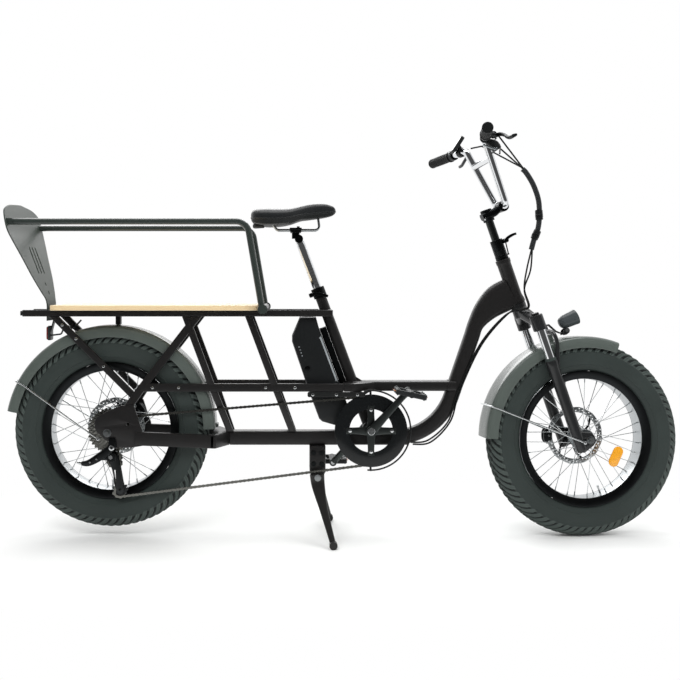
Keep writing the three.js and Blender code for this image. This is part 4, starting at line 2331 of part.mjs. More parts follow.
function display() {
  const middle = barPoint(displayY, 1);
  const ring = rod(
    barPoint(displayY - displayHalf, 1), barPoint(displayY + displayHalf, 1), barRadius + displayWall, 12,
  );
  const neck = bar(
    ...displayNeck.map((point) => middle.clone().add(vec(...point))), displayHeight + 2, displayHeight, 2,
  );
  const shell = bevelledSide(rectangle(displayLength, displayHeight), displayWidth / 2, displayEdge);
  const seated = turned(shell, yAxis, -degrees(displayTilt));
  const barRoom = rod(barPoint(displayY - overrun, 1), barPoint(displayY + overrun, 1), roomFor(barRadius, 10), 10);
  return join(join(ring, neck).subtract(barRoom), moved(seated, middle.x + displayPlace[0], middle.y, middle.z + displayPlace[1]));
}

addPiece(steered, "display", display(), batteryBlack);

// Cable bundle: hoses and wires from the bar run in one sleeve and then along the down tube

const sleeveRadius = 8.5;
const hoseRadius = 2.6;
const sleeveY = -4;
const hoseBend = 12;
const connectorWall = 4;

// The sleeve's route and the two plugs on it, in X and Z
const sleeveRoutePoints = [
  [558, 1139], [570, 1127], [592, 1090], [608, 1043], [611, 996], [607, 955], [594, 918], [586, 888],
];
const plugEnds = [[[609, 1012], [611, 980]], [[606, 948], [594, 920]]];

// Where each hose leaves the bar and where it turns down, in the steering's axes
const hoseStarts = [
  [[62, -128, 512], [86, -90, 505]], [[62, 128, 512], [86, 90, 505]], [[62, -116, 452], [84, -70, 470]],
];

// The two lower hoses: each point of the first, and how far the second lies from it
const hoseTopPoints = [[590, -7, 905], [568, -20, 826], [556, -40, 765], [569, -48, 713], [545, -46, 700]];
const hoseTopShifts = [[0, 6, 0], [12, 0, 0], [0, 0, 0], [-4, -6, 0], [0, -6, 4]];
const hoseAlongPoints = [[500, 684], [421, 592], [353, 447], [323, 355], [262, 298], [208, 291]];
const hoseAlongShifts = [[10, 6], [6, 0], [6, 0], [7, 0], [8, -6], [6, -6]];

bike.updateMatrixWorld(true);
const fromSteering = (u, y, w) => vec(u, y, w).applyMatrix4(steered.matrixWorld);

function cableBundle() {
  const sleeveRoute = sleeveRoutePoints.map(([x, z]) => vec(x, sleeveY, z));
  const sleeve = tube(sleeveRoute, sleeveRadius, 8);
  const plugs = plugEnds.map((ends) =>
    rod(...ends.map(([x, z]) => vec(x, sleeveY, z)), sleeveRadius + connectorWall, 8),
  );
  const hoses = hoseStarts.map((points, i) => {
    const mouth = sleeveRoute[0].clone().add(vec(0, (i - 1) * connectorWall, connectorWall));
    const route = [...points.map((point) => fromSteering(...point)), mouth, sleeveRoute[2].clone()];
    return tube(rounded(route, hoseBend, 1), hoseRadius, 4);
  });
  const y = -downTubeRadius - hoseRadius * Math.SQRT1_2 - fit;
  const lower = [0, 1].map((shift) => {
    const top = hoseTopPoints.map((point, i) => vec(...point.map((value, axis) => value + shift * hoseTopShifts[i][axis])));
    const along = hoseAlongPoints.map(([x, z], i) => {
      const [forward, rise] = hoseAlongShifts[i];
      return vec(x + shift * forward, i ? y : y - 2, z + shift * rise);
    });
    return tube(rounded([...top, ...along], hoseBend, 1), hoseRadius, 4);
  });
  return join(sleeve, plugs, hoses, lower);
}

addPiece(bike, "cable_bundle", cableBundle(), batteryBlack);

export default bike;
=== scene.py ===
# A longtail cargo bike with a hub motor, a plywood child deck and a telescoping bar mast.
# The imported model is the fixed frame: +X is forward, +Y is the bike's left, +Z is up.
import math

import bpy
import bmesh
from mathutils import Matrix, Vector


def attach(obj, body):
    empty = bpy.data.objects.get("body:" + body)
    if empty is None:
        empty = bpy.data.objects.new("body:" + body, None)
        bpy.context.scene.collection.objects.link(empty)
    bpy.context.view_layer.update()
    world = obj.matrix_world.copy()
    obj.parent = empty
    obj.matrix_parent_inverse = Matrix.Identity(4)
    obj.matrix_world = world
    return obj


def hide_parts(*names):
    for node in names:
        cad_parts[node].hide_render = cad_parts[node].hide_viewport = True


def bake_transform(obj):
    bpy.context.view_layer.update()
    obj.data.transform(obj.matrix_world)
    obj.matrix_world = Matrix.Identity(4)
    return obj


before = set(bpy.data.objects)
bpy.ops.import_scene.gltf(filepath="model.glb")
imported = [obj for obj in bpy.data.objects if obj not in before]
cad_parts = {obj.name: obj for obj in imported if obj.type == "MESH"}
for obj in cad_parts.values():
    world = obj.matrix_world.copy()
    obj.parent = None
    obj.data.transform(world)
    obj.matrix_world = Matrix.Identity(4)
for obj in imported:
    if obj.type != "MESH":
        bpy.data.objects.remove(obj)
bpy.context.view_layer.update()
scene = bpy.context.scene

# Photographer's set. The bike stands on a painted floor that runs out to a white sweep behind it.
# The camera looks square at the bike's right side from about saddle height, three metres away.
# The room behind the camera is dark, which gives chrome its dark middle.

camera_data = bpy.data.cameras.new("camera")
camera_data.lens = 52.62
camera_data.sensor_width = 36
camera_data.shift_x = 0.0647
camera_data.shift_y = -0.0809
camera = bpy.data.objects.new("camera", camera_data)
camera.location = (-0.147, -3.1, 0.7777)
camera.rotation_euler = (math.radians(90), 0, 0)
scene.collection.objects.link(camera)
scene.camera = camera
scene.view_settings.view_transform = "Standard"


def linear(code):
    """An sRGB hex colour as linear RGBA."""
    channels = [int(code[i:i + 2], 16) / 255 for i in (0, 2, 4)]
    return tuple(c / 12.92 if c <= 0.04045 else ((c + 0.055) / 1.055) ** 2.4 for c in channels) + (1,)


def fill(tree, node, inputs):
    """Gives a node its inputs, as values or links."""
    for key, value in inputs.items():
        if isinstance(value, bpy.types.NodeSocket):
            tree.links.new(value, node.inputs[key])
        else:
            node.inputs[key].default_value = value


def add(tree, kind, inputs=None, **settings):
    """One node, with its settings, and its inputs as values or links."""
    node = tree.nodes.new(kind)
    for key, value in settings.items():
        setattr(node, key, value)
    fill(tree, node, inputs or {})
    return node


def mixed(tree, factor, first, second, **settings):
    """The colour between two others, each a value or a link."""
    mix = add(tree, "ShaderNodeMix", {"Factor": factor, 6: first, 7: second}, data_type="RGBA", **settings)
    return mix.outputs[2]


def shaded(colour, factor):
    """A linear colour made lighter or darker."""
    return tuple(min(c * factor, 1) for c in colour[:3]) + (1,)


def blank_material(name):
    """A material with one surface shader, and its tree."""
    material = bpy.data.materials.new(name)
    material.use_nodes = True
    tree = material.node_tree
    tree.nodes.clear()
    surface = add(tree, "ShaderNodeBsdfPrincipled")
    add(tree, "ShaderNodeOutputMaterial", {"Surface": surface.outputs["BSDF"]})
    return material, tree, surface


def backdrop_ray(tree):
    """One for what the camera sees, straight or in gloss or through glass."""
    rays = add(tree, "ShaderNodeLightPath")
    gloss = add(tree, "ShaderNodeMath", {
        0: rays.outputs["Is Glossy Ray"], 1: rays.outputs["Is Transmission Ray"]}, operation="MAXIMUM")
    seen = add(tree, "ShaderNodeMath", {0: rays.outputs["Is Camera Ray"], 1: gloss.outputs[0]},
               operation="MAXIMUM")
    return seen.outputs[0]


def dark_room(tree, depth, start, end):
    """One, falling to nearly none towards the camera's side, though not for the camera itself."""
    fall = add(tree, "ShaderNodeMapRange", {
        "Value": depth, "From Min": start, "From Max": end, "To Min": 0.08, "To Max": 1.0,
    }, interpolation_type="SMOOTHSTEP")
    straight = add(tree, "ShaderNodeLightPath")
    return add(tree, "ShaderNodeMath", {
        0: fall.outputs[0], 1: straight.outputs["Is Camera Ray"]}, operation="MAXIMUM").outputs[0]


def painted_floor():
    """Painted board: near white, it keeps the shadow under the bike and runs out to the white sweep."""
    material, tree, surface = blank_material("floor_painted_board")
    spot = add(tree, "ShaderNodeTexCoord")
    grain = add(tree, "ShaderNodeTexNoise", {"Vector": spot.outputs["Object"], "Scale": 3.0, "Detail": 2.0})
    tint = mixed(tree, grain.outputs["Fac"], linear("fbfcfb"), linear("f8f9f8"))
    oval = add(tree, "ShaderNodeMapping", {"Vector": spot.outputs["Object"], "Scale": (0.5, 1, 1)})
    reach = add(tree, "ShaderNodeVectorMath", {0: oval.outputs[0]}, operation="LENGTH")
    far = add(tree, "ShaderNodeMapRange", {
        "Value": reach.outputs["Value"], "From Min": 0.35, "From Max": 0.85}, interpolation_type="SMOOTHSTEP")
    fade = add(tree, "ShaderNodeMath", {0: far.outputs[0], 1: backdrop_ray(tree)}, operation="MULTIPLY")
    apart = add(tree, "ShaderNodeSeparateXYZ", {"Vector": spot.outputs["Object"]})
    sweep = add(tree, "ShaderNodeEmission", {
        "Color": linear("ffffff"), "Strength": dark_room(tree, apart.outputs["Y"], -1.3, -0.8)})
    both = add(tree, "ShaderNodeMixShader", {0: fade.outputs[0], 1: surface.outputs["BSDF"],
                                             2: sweep.outputs[0]})
    fill(tree, surface, {"Base Color": tint, "Roughness": 0.9, "Specular IOR Level": 0.1})
    fill(tree, tree.nodes["Material Output"], {"Surface": both.outputs[0]})
    return material


floor_mesh = bpy.data.meshes.new("floor")
floor_mesh.from_pydata([(-9, -6, 0), (9, -6, 0), (9, 6, 0), (-9, 6, 0)], [], [(0, 1, 2, 3)])
floor_mesh.materials.append(painted_floor())
floor = bpy.data.objects.new("floor", floor_mesh)
scene.collection.objects.link(floor)


def softbox(name, place, target, size, power, mirrored=True):
    lamp = bpy.data.lights.new(name, "AREA")
    lamp.shape = "RECTANGLE"
    lamp.size, lamp.size_y = size
    lamp.energy = power
    holder = bpy.data.objects.new(name, lamp)
    holder.location = place
    holder.rotation_euler = (Vector(target) - Vector(place)).to_track_quat("-Z", "Y").to_euler()
    holder.visible_glossy = mirrored
    scene.collection.objects.link(holder)


softbox("key_softbox", (-1.2, -3.4, 3.4), (0, 0, 0.5), (2.6, 1.8), 95, False)
softbox("fill_softbox", (2.6, -2.6, 2.0), (0.2, 0, 0.6), (2.0, 2.0), 45, False)
softbox("top_softbox", (0, 0.3, 3.6), (0, 0, 0), (3.4, 1.6), 60)
softbox("back_softbox", (-0.4, 3.0, 2.4), (0, 0, 0.6), (3.0, 1.6), 50)

world = bpy.data.worlds.new("studio")
world.use_nodes = True
sky = world.node_tree
sky.nodes.clear()
way = add(sky, "ShaderNodeSeparateXYZ", {"Vector": add(sky, "ShaderNodeTexCoord").outputs["Generated"]})
plain = add(sky, "ShaderNodeBackground", {"Color": linear("ffffff"), "Strength": 0.5})
lit = dark_room(sky, way.outputs["Y"], -0.4, 0.05)
white = add(sky, "ShaderNodeBackground", {"Color": linear("ffffff"), "Strength": lit})
both = add(sky, "ShaderNodeMixShader", {0: backdrop_ray(sky), 1: plain.outputs[0], 2: white.outputs[0]})
add(sky, "ShaderNodeOutputWorld", {"Surface": both.outputs[0]})
scene.world = world

# Wheels. Each has a wide aluminium rim laced with crossed stainless spokes to its hub.
# The rear hub holds the motor. Rims are extruded and rolled, hubs are cast and turned.
# The tyres are moulded rubber on a 20 inch bead, with slanted tread bars.

up = Vector((0, 0, 1))
side_axis = Vector((0, 1, 0))
rear_x, rear_z = -718, 330
rear_axle = Vector((rear_x, 0, rear_z))
front_axle = Vector((52, 0, -461.98))
on_rear_axle = Matrix.Translation(rear_axle)
steered = (
    Matrix.Translation((543.383, 0, 722)) @ Matrix.Rotation(math.radians(-19), 4, "Y")
    @ Matrix.Rotation(math.radians(6), 4, "Z")
)
on_front_axle = steered @ Matrix.Translation(front_axle)
metres = Matrix.Scale(0.001, 4)


def built_from(parts):
    """A bmesh of some parts. A face of two points is an edge."""
    built = bmesh.new()
    for points, faces in parts:
        corners = [built.verts.new(point) for point in points]
        for face in faces:
            grow = built.edges.new if len(face) == 2 else built.faces.new
            grow([corners[i] for i in face])
    return built


def piece(name, parts, material, body, nodes=(), place=None, bevel=0.0, sharp=35, levels=0):
    """One mesh object made of closed parts in millimetres, riding on a body.

    A body given as (a, b, start, end) is attached to neither: the piece is baked in place.
    """
    built = built_from(parts)
    bmesh.ops.recalc_face_normals(built, faces=built.faces)
    built.transform(metres @ (place or Matrix.Identity(4)))
    mesh = bpy.data.meshes.new(name)
    built.to_mesh(mesh)
    built.free()
    mesh.shade_smooth()
    if not bevel and not levels:
        mesh.set_sharp_from_angle(angle=math.radians(sharp))
    mesh.materials.append(material)
    item = bpy.data.objects.new(name, mesh)
    scene.collection.objects.link(item)
    if bevel:
        edge = item.modifiers.new("edge_radius", "BEVEL")
        edge.width = bevel / 1000
        edge.segments = 2
        edge.limit_method = "ANGLE"
        edge.angle_limit = math.radians(sharp)
        edge.harden_normals = True
    if levels:
        smooth = item.modifiers.new("smooth", "SUBSURF")
        smooth.levels = smooth.render_levels = levels
    if nodes:
        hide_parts(*([nodes] if isinstance(nodes, str) else nodes))
    if isinstance(body, str):
        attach(item, body)
    else:
        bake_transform(item)
    return item


def skin(rings):
    """Quads between rings of points, with flat ends."""
    count = len(rings[0])
    faces = []
    for r in range(len(rings) - 1):
        ahead = (r + 1) * count
        for i in range(count):
            j = (i + 1) % count
            faces.append((r * count + i, r * count + j, ahead + j, ahead + i))
    faces.append(tuple(reversed(range(count))))
    faces.append(tuple(range(len(rings) * count - count, len(rings) * count)))
    return [point for ring in rings for point in ring], faces


def lathe(profile, count=96, closed=False):
    """A profile of (radius, y) turned about the Y axis. A point of no radius closes the shape."""
    rings = []
    for k in range(count):
        angle = 2 * math.pi * k / count
        rings.append([(max(r, 0.01) * math.cos(angle), y, max(r, 0.01) * math.sin(angle)) for r,
                      y in profile])
    width = len(profile)
    faces = []
    for k in range(count):
        ahead = ((k + 1) % count) * width
        for i in range(width if closed else width - 1):
            j = (i + 1) % width
            faces.append((k * width + i, k * width + j, ahead + j, ahead + i))
    if not closed:
        faces.append(tuple(k * width for k in range(count)))
        faces.append(tuple(k * width + width - 1 for k in reversed(range(count))))
    return [point for ring in rings for point in ring], faces


def disc(radius, low, high, count=64, bore=0.0):
    if bore:
        return lathe([(bore, low), (radius, low), (radius, high), (bore, high)], count, closed=True)
    return lathe([(radius, low), (radius, high)], count)


def at(part, place):
    """The same part moved by a vector or placed by a matrix."""
    points, faces = part
    if isinstance(place, Matrix):
        return [tuple(place @ Vector(p)) for p in points], faces
    return [tuple(Vector(p) + Vector(place)) for p in points], faces


def turn(part, axis, angle):
    return at(part, Matrix.Rotation(math.radians(angle), 4, axis))


def standing(profile, count=64, closed=False):
    """A profile of (radius, height) turned about the upright axis."""
    return turn(lathe(profile, count, closed), "X", 90)


def aimed(start, direction):
    """The place of a part turned about Y that starts at a point and runs in a direction."""
    return Matrix.Translation(start) @ direction.to_track_quat("Y", "Z").to_matrix().to_4x4()


def copies_tree():
    """Geometry nodes: the pattern's copies, spread evenly round the Y axis."""
    tree = bpy.data.node_groups.new("copies_round_axle", "GeometryNodeTree")
    for name, kind in (("Geometry", "Geometry"), ("Count", "Int"), ("Sweep", "Float"),
                       ("Material", "Material")):
        tree.interface.new_socket(name, in_out="INPUT", socket_type="NodeSocket" + kind)
    tree.interface.new_socket("Geometry", in_out="OUTPUT", socket_type="NodeSocketGeometry")
    given = add(tree, "NodeGroupInput")
    points = add(tree, "GeometryNodePoints", {"Count": given.outputs["Count"]})
    index = add(tree, "GeometryNodeInputIndex")
    step = add(tree, "ShaderNodeMath", {0: given.outputs["Sweep"], 1: given.outputs["Count"]},
               operation="DIVIDE")
    angle = add(tree, "ShaderNodeMath", {0: index.outputs[0], 1: step.outputs[0]}, operation="MULTIPLY")
    about = add(tree, "ShaderNodeCombineXYZ", {"Y": angle.outputs[0]})
    copies = add(tree, "GeometryNodeInstanceOnPoints", {
        "Points": points.outputs[0], "Instance": given.outputs["Geometry"], "Rotation": about.outputs[0]})
    solid = add(tree, "GeometryNodeRealizeInstances", {"Geometry": copies.outputs[0]})
    dressed = add(tree, "GeometryNodeSetMaterial", {
        "Geometry": solid.outputs[0], "Material": given.outputs["Material"]})
    add(tree, "NodeGroupOutput", {"Geometry": dressed.outputs[0]})
    return tree


def grown(parts, tree, **inputs):
    """The plain mesh that a geometry nodes tree makes from some parts, in millimetres."""
    built = built_from(parts)
    mesh = bpy.data.meshes.new("pattern")
    built.to_mesh(mesh)
    built.free()
    pattern = bpy.data.objects.new("pattern", mesh)
    scene.collection.objects.link(pattern)
    growth = pattern.modifiers.new("growth", "NODES")
    growth.node_group = tree
    sockets = {item.name: item.identifier for item in tree.interface.items_tree if item.in_out == "INPUT"}
    for key, value in inputs.items():
        growth[sockets[key]] = value
    grown_mesh = bpy.data.meshes.new_from_object(pattern.evaluated_get(bpy.context.evaluated_depsgraph_get()))
    part = ([tuple(v.co) for v in grown_mesh.vertices], [tuple(f.vertices) for f in grown_mesh.polygons])
    bpy.data.objects.remove(pattern)
    bpy.data.meshes.remove(mesh)
    bpy.data.meshes.remove(grown_mesh)
    return part


copies_round_axle = copies_tree()
full_turn = 2 * math.pi


def round_axle(parts, count):
    """Copies of some parts, spread evenly round the Y axis."""
    return grown(parts, copies_round_axle, Count=count, Sweep=full_turn)


def sweep_frames(route, across):
    """The sideways and upward directions at each point of a route, carried along without twist."""
    frames = []
    beside = Vector(across)
    for i, point in enumerate(route):
        back = point - route[max(i - 1, 0)]
        ahead = route[min(i + 1, len(route) - 1)] - point
        if back.length:
            back.normalize()
        if ahead.length:
            ahead.normalize()
        along = (back + ahead).normalized()
        beside = (beside - along * beside.dot(along)).normalized()
        frames.append((beside.copy(), along.cross(beside)))
    return frames


def across_of(route):
    run = (route[1] - route[0]).normalized()
    return up if abs(run.y) > 0.7071 else side_axis


def loft(route, sections, across=None):
    route = [Vector(p) for p in route]
    frames = sweep_frames(route, across or across_of(route))
    rings = []
    for point, section, (beside, upward) in zip(route, sections, frames):
        rings.append([tuple(point + beside * a + upward * b) for a, b in section])
    return skin(rings)


def circle(radius, count):
    return [(radius * math.cos(full_turn * i / count), radius * math.sin(full_turn * i / count))
            for i in range(count)]


def tube(route, radius, count=24):
    return loft(route, [circle(radius, count)] * len(route))


def rod(start, end, radius, count=32):
    return tube([Vector(start), Vector(end)], radius, count)


def cone(start, end, first, last, count=32):
    return loft([start, end], [circle(first, count), circle(last, count)])


def hex_bolt(start, end, radius):
    """A bolt or nut with six flats, and a turned washer under it."""
    start, end = Vector(start), Vector(end)
    along = (end - start).normalized()
    return [rod(start, end, radius, 6), rod(start - along * 0.2, start + along * 1.2, radius * 1.25, 24)]


def button_bolt(start, end, radius):
    """A domed socket screw: a low head with a hexagon sunk in its middle."""
    start, end = Vector(start), Vector(end)
    run = end - start
    shape = [(0, 1.0), (0.45, 1.0), (0.85, 0.82), (1.0, 0.6), (1.0, 0.42), (0.5, 0.4)]
    return loft([start + run * t for t, _ in shape], [circle(radius * s, 20) for _, s in shape])


def rounded(points, radius, steps=8):
    """A route whose corners are rounded by arcs of one radius."""
    points = [Vector(p) for p in points]
    route = [points[0]]
    for before, corner, after in zip(points, points[1:], points[2:]):
        inward = (before - corner).normalized()
        outward = (after - corner).normalized()
        half = inward.angle(outward) / 2
        centre = corner + (inward + outward).normalized() * (radius / math.sin(half))
        start = corner + inward * (radius / math.tan(half)) - centre
        end = corner + outward * (radius / math.tan(half)) - centre
        bend = start.angle(end)
        for k in range(steps + 1):
            a = math.sin((1 - k / steps) * bend) / math.sin(bend)
            b = math.sin(k / steps * bend) / math.sin(bend)
            route.append(centre + start * a + end * b)
    return route + [points[-1]]


def stainless(name, code, roughness, streak=0.0):
    """Metal: polished or brushed, with fine streaks drawn about 0.8 mm apart so that they show."""
    material, tree, surface = blank_material(name)
    spot = add(tree, "ShaderNodeTexCoord")
    fine = add(tree, "ShaderNodeTexNoise", {"Vector": spot.outputs["Object"], "Scale": 1250.0, "Detail": 2.0})
    broad = add(tree, "ShaderNodeTexNoise", {"Vector": spot.outputs["Object"], "Scale": 40.0, "Detail": 3.0})
    shade = add(tree, "ShaderNodeMapRange", {
        "Value": broad.outputs["Fac"], "To Min": roughness * 0.8, "To Max": roughness * 1.3})
    base = linear(code)
    tint = mixed(tree, fine.outputs["Fac"], shaded(base, 1 - streak * 0.6), shaded(base, 1 + streak * 0.4))
    ridge = add(tree, "ShaderNodeBump", {
        "Strength": 0.05 + streak * 0.4, "Distance": 0.0002, "Height": fine.outputs["Fac"]})
    fill(tree, surface, {
        "Base Color": tint, "Roughness": shade.outputs[0], "Normal": ridge.outputs[0], "Metallic": 1.0})
    return material


def moulded(name, code, roughness, grain_mm, depth_mm, light=0.12, specular=0.3):
    """Moulded rubber or plastic, or a powder coat: a faint grain of a given size in the surface."""
    material, tree, surface = blank_material(name)
    spot = add(tree, "ShaderNodeTexCoord")
    grain = add(tree, "ShaderNodeTexNoise", {
        "Vector": spot.outputs["Object"], "Scale": 1000 / grain_mm, "Detail": 3.0, "Roughness": 0.6})
    cloud = add(tree, "ShaderNodeTexNoise", {"Vector": spot.outputs["Object"], "Scale": 9.0, "Detail": 4.0})
    base = linear(code)
    tint = mixed(tree, cloud.outputs["Fac"], shaded(base, 1 - light), shaded(base, 1 + light))
    shade = add(tree, "ShaderNodeMapRange", {
        "Value": grain.outputs["Fac"], "To Min": roughness * 0.85, "To Max": roughness * 1.2})
    bump = add(tree, "ShaderNodeBump", {"Strength": 0.5, "Distance": depth_mm / 1000,
                                        "Height": grain.outputs["Fac"]})
    fill(tree, surface, {
        "Base Color": tint, "Roughness": shade.outputs[0], "Normal": bump.outputs[0], "IOR": 1.5,
        "Specular IOR Level": specular})
    return material


def coated(material, weight, roughness=None):
    """The same material under a clear coat, which adds a second, sharper shine."""
    coat = material.node_tree.nodes["Principled BSDF"].inputs
    coat["Coat Weight"].default_value = weight
    if roughness:
        coat["Coat Roughness"].default_value = roughness
    return material


# Rolled aluminium keeps fine lines, drawn steel spokes are brighter, and black anodising has a dull gleam.
# Vulcanised rubber is dull with a bloom, worn pale on the bars. The darkest rubber, in the grooves, is painted
# shade.
rolled_aluminium = stainless("rolled_aluminium", "b9bdbf", 0.3, 0.25)
cast_aluminium = stainless("cast_aluminium", "9aa0a2", 0.42, 0.1)
drawn_steel = stainless("drawn_stainless_steel", "dfe2e3", 0.18)
ground_steel = stainless("ground_steel", "aeb2b3", 0.28, 0.5)
black_anodised = stainless("black_anodised_aluminium", "2c2e2f", 0.4, 0.15)
tread_rubber = moulded("scuffed_tread_rubber", "434b48", 0.7, 0.6, 0.2, 0.2)
groove_painted_shade = moulded("groove_painted_shade", "141817", 0.7, 0.8, 0.1, 0.1)
tyre_rubber = moulded("vulcanised_rubber", "2d3432", 0.62, 0.8, 0.12, 0.2)

tyre_half = [
    (302, 0), (301.7, 8), (299.6, 18), (295.4, 28), (288.5, 36.5), (279, 43), (266, 47.4), (252, 49),
    (238, 48.2), (226, 45), (217, 41), (211.3, 37.5), (209.5, 34.5),
]


def tyre_surface(y):
    """The tread's radius at a distance from the middle."""
    for (r0, y0), (r1, y1) in zip(tyre_half, tyre_half[1:]):
        if y0 <= abs(y) <= y1:
            return r0 + (r1 - r0) * (abs(y) - y0) / (y1 - y0)
    return tyre_half[7][0]


def casing():
    sunk = [(r - 4.5, y - 1.2 if y > 30 else y) if r > 270 else (r, y) for r, y in tyre_half]
    rib = []
    for r, y in sunk:
        if r == 226:
            rib += [(229, 46.1), (227.6, 47), (226, 45.9)]
        elif r == 266:
            rib += [(268.5, 46.7), (267.2, 47.8), (265.6, 47.5)]
        else:
            rib.append((r, y))
    inner = [(296, 0), (285, 32), (268, 42), (250, 44), (228, 40), (212, 31)]
    loop = rib + [(r, y) for r, y in reversed(inner)]
    other = [(r, -y) for r, y in reversed(rib)][:-1]
    other_inner = [(r, -y) for r, y in inner][1:]
    return lathe(loop + other_inner + other, 144, closed=True)


def tread_bar(first, last, slant, offset, half):
    """A bar on the tyre from one distance off the middle to another, slanted back by an angle in degrees."""
    rings = []
    steps = 6
    for k in range(steps + 1):
        y = first + (last - first) * k / steps
        r = tyre_surface(y)
        angle = math.radians(offset + slant * (abs(y) - abs(first)) / abs(last - first))
        spread = half / r
        ring = []
        for sign, depth in ((-1, 6), (1, 6), (0.8, 0), (-0.8, 0)):
            turn_by = angle + sign * spread
            ring.append(((r - depth) * math.cos(turn_by), y * (1 - depth * 0.003),
                         (r - depth) * math.sin(turn_by)))
        rings.append(ring)
    return skin(rings)


def tread_grooves():
    """The darker rubber between the bars: a band of painted shade in the grooves."""
    base = [(r - 4.1, y - (1.0 if y > 30 else 0)) for r, y in tyre_half if r > 262]
    loop = base + [(r - 1.2, y) for r, y in reversed(base)]
    return lathe(loop + [(r, -y) for r, y in reversed(loop)], 144, closed=True)


def tread():
    bars = []
    for side in (1, -1):
        offset = 0 if side > 0 else 2.2
        bars.append(tread_bar(side * 2.0, side * 17, 3.0, offset, 2.6))
        bars.append(tread_bar(side * 19, side * 46.8, 8.4, offset + 2.4, 3.4))
        bars.append(tread_bar(side * 26, side * 46.0, 6.4, offset + 5.6, 2.6))
    return round_axle(bars, 72)


def valve():
    return [rod((0, 0, -196), (0, 0, -184), 3.2), rod((0, 0, -184), (0, 0, -160), 2.6),
            rod((0, 0, -166), (0, 0, -158), 3.4, 12)]


def rim_bed():
    """The drilled middle of the rim, which carries the nipples."""
    outer = [(184, 30), (199.2, 30), (198.8, 20), (196, 12)]
    loop = outer + [(r, -y) for r, y in reversed(outer)]
    return [lathe(loop + [(182.6, -12), (182.6, 12)], 144, closed=True)]


def rim_walls():
    """The rim's two sides, with the hooks that hold the tyre's beads."""
    wall = [
        (184, 30.1), (184.4, 33), (186, 34.6), (207, 42.4), (208.7, 42), (209, 40.8), (201, 35),
        (199.6, 33.4),
        (199.2, 30.1),
    ]
    return [lathe([(r, side * y) for r, y in wall], 144, closed=True) for side in (1, -1)]


def nipple(reach, angle, spread, toward):
    at_rim = Vector((reach * math.cos(angle), spread, reach * math.sin(angle)))
    along = (toward - at_rim).normalized()
    return [cone(at_rim - along * 2, at_rim + along * 4, 3.2, 2.4, 10),
            rod(at_rim + along * 4, at_rim + along * 14, 1.9, 10)]


def spoke_pattern(flange, flange_y, apart):
    """Four spokes, two to each flange and one of each lean, with a nipple at the rim and a hook at the hub."""
    spokes, nipples = [], []
    for i in range(4):
        side = -1 if i % 2 else 1
        lean = -1 if (i // 2) % 2 else 1
        rim_angle = (i + 0.5) / 36 * full_turn
        hub_angle = rim_angle + lean * math.radians(46)
        hub_y = side * (flange_y + lean * apart)
        foot = Vector((flange * math.cos(hub_angle), hub_y, flange * math.sin(hub_angle)))
        reach = 185
        tip = Vector((reach * math.cos(rim_angle), side * 10.5, reach * math.sin(rim_angle)))
        head = foot + Vector((0, side * -lean * 4.6, 0))
        spokes.append(tube([head, foot, foot + (tip - foot) * 0.02, tip], 1.1, 8))
        spokes.append(rod(head, head + Vector((0, side * -lean * 1.2, 0)), 2.1, 8))
        nipples += nipple(reach, rim_angle, side * 10.5, foot)
    return round_axle(spokes, 9), round_axle(nipples, 9)


def rotor_ring(y):
    """A stamped brake ring with drilled holes, on a swept carrier with six bolts."""
    outer = [(90 + 0.8 * math.cos(k * full_turn / 12), k * full_turn / 144) for k in range(144)]
    shape = [(r * math.cos(a), r * math.sin(a)) for r, a in outer]
    holes = [circle(73.5, 96)]
    for k in range(48):
        angle = k * full_turn / 48
        reach = (78.5, 82.3, 86)[k % 3]
        holes.append([(reach * math.cos(angle) + a, reach * math.sin(angle) + b) for a, b in circle(1.9, 10)])
    return [plate(shape, y - 1, y + 1, holes)]


def plate(outline, low, high, holes=(), edge=0.25, plane="side"):
    """A flat outline with holes, thickened.

    Side plates are drawn in X and Z, plan plates in X and Y, front plates in Y and Z.
    """
    curve = bpy.data.curves.new("outline", "CURVE")
    curve.dimensions = "2D"
    curve.fill_mode = "BOTH"
    for loop in [outline, *holes]:
        spline = curve.splines.new("POLY")
        spline.points.add(len(loop) - 1)
        for point, (a, b) in zip(spline.points, loop):
            point.co = (a, b, 0, 1)
        spline.use_cyclic_u = True
    curve.extrude = (high - low) / 2 - edge
    curve.bevel_depth = edge
    curve.bevel_resolution = 1
    curve.offset = -edge
    holder = bpy.data.objects.new("outline", curve)
    scene.collection.objects.link(holder)
    mesh = bpy.data.meshes.new_from_object(holder.evaluated_get(bpy.context.evaluated_depsgraph_get()))
    built = bmesh.new()
    built.from_mesh(mesh)
    bmesh.ops.remove_doubles(built, verts=built.verts, dist=0.01)
    built.verts.ensure_lookup_table()
    middle = (low + high) / 2
    ways = {"side": lambda p: (p.x, middle + p.z, p.y), "plan": lambda p: (p.x, p.y, middle + p.z),
            "front": lambda p: (middle + p.z, p.x, p.y)}
    part = ([ways[plane](v.co) for v in built.verts], [tuple(v.index for v in f.verts) for f in built.faces])
    built.free()
    bpy.data.objects.remove(holder)
    bpy.data.curves.remove(curve)
    bpy.data.meshes.remove(mesh)
    return part


def rotor_carrier(y):
    arm = loft(
        [Vector((r * math.cos(a), y, r * math.sin(a))) for r,
         a in ((20, 0), (38, 0.12), (56, 0.27), (76, 0.5))],
        [rounded_box(1.6, w, 0.4) for w in (12, 8, 6.4, 8)],
    )
    bolt = button_bolt((22, y + 0.8, 0), (22, y + 3.4, 0), 3.6)
    return [disc(31, y - 3, y + 0.9, 48, 12), round_axle([arm], 6), round_axle([bolt], 6)]


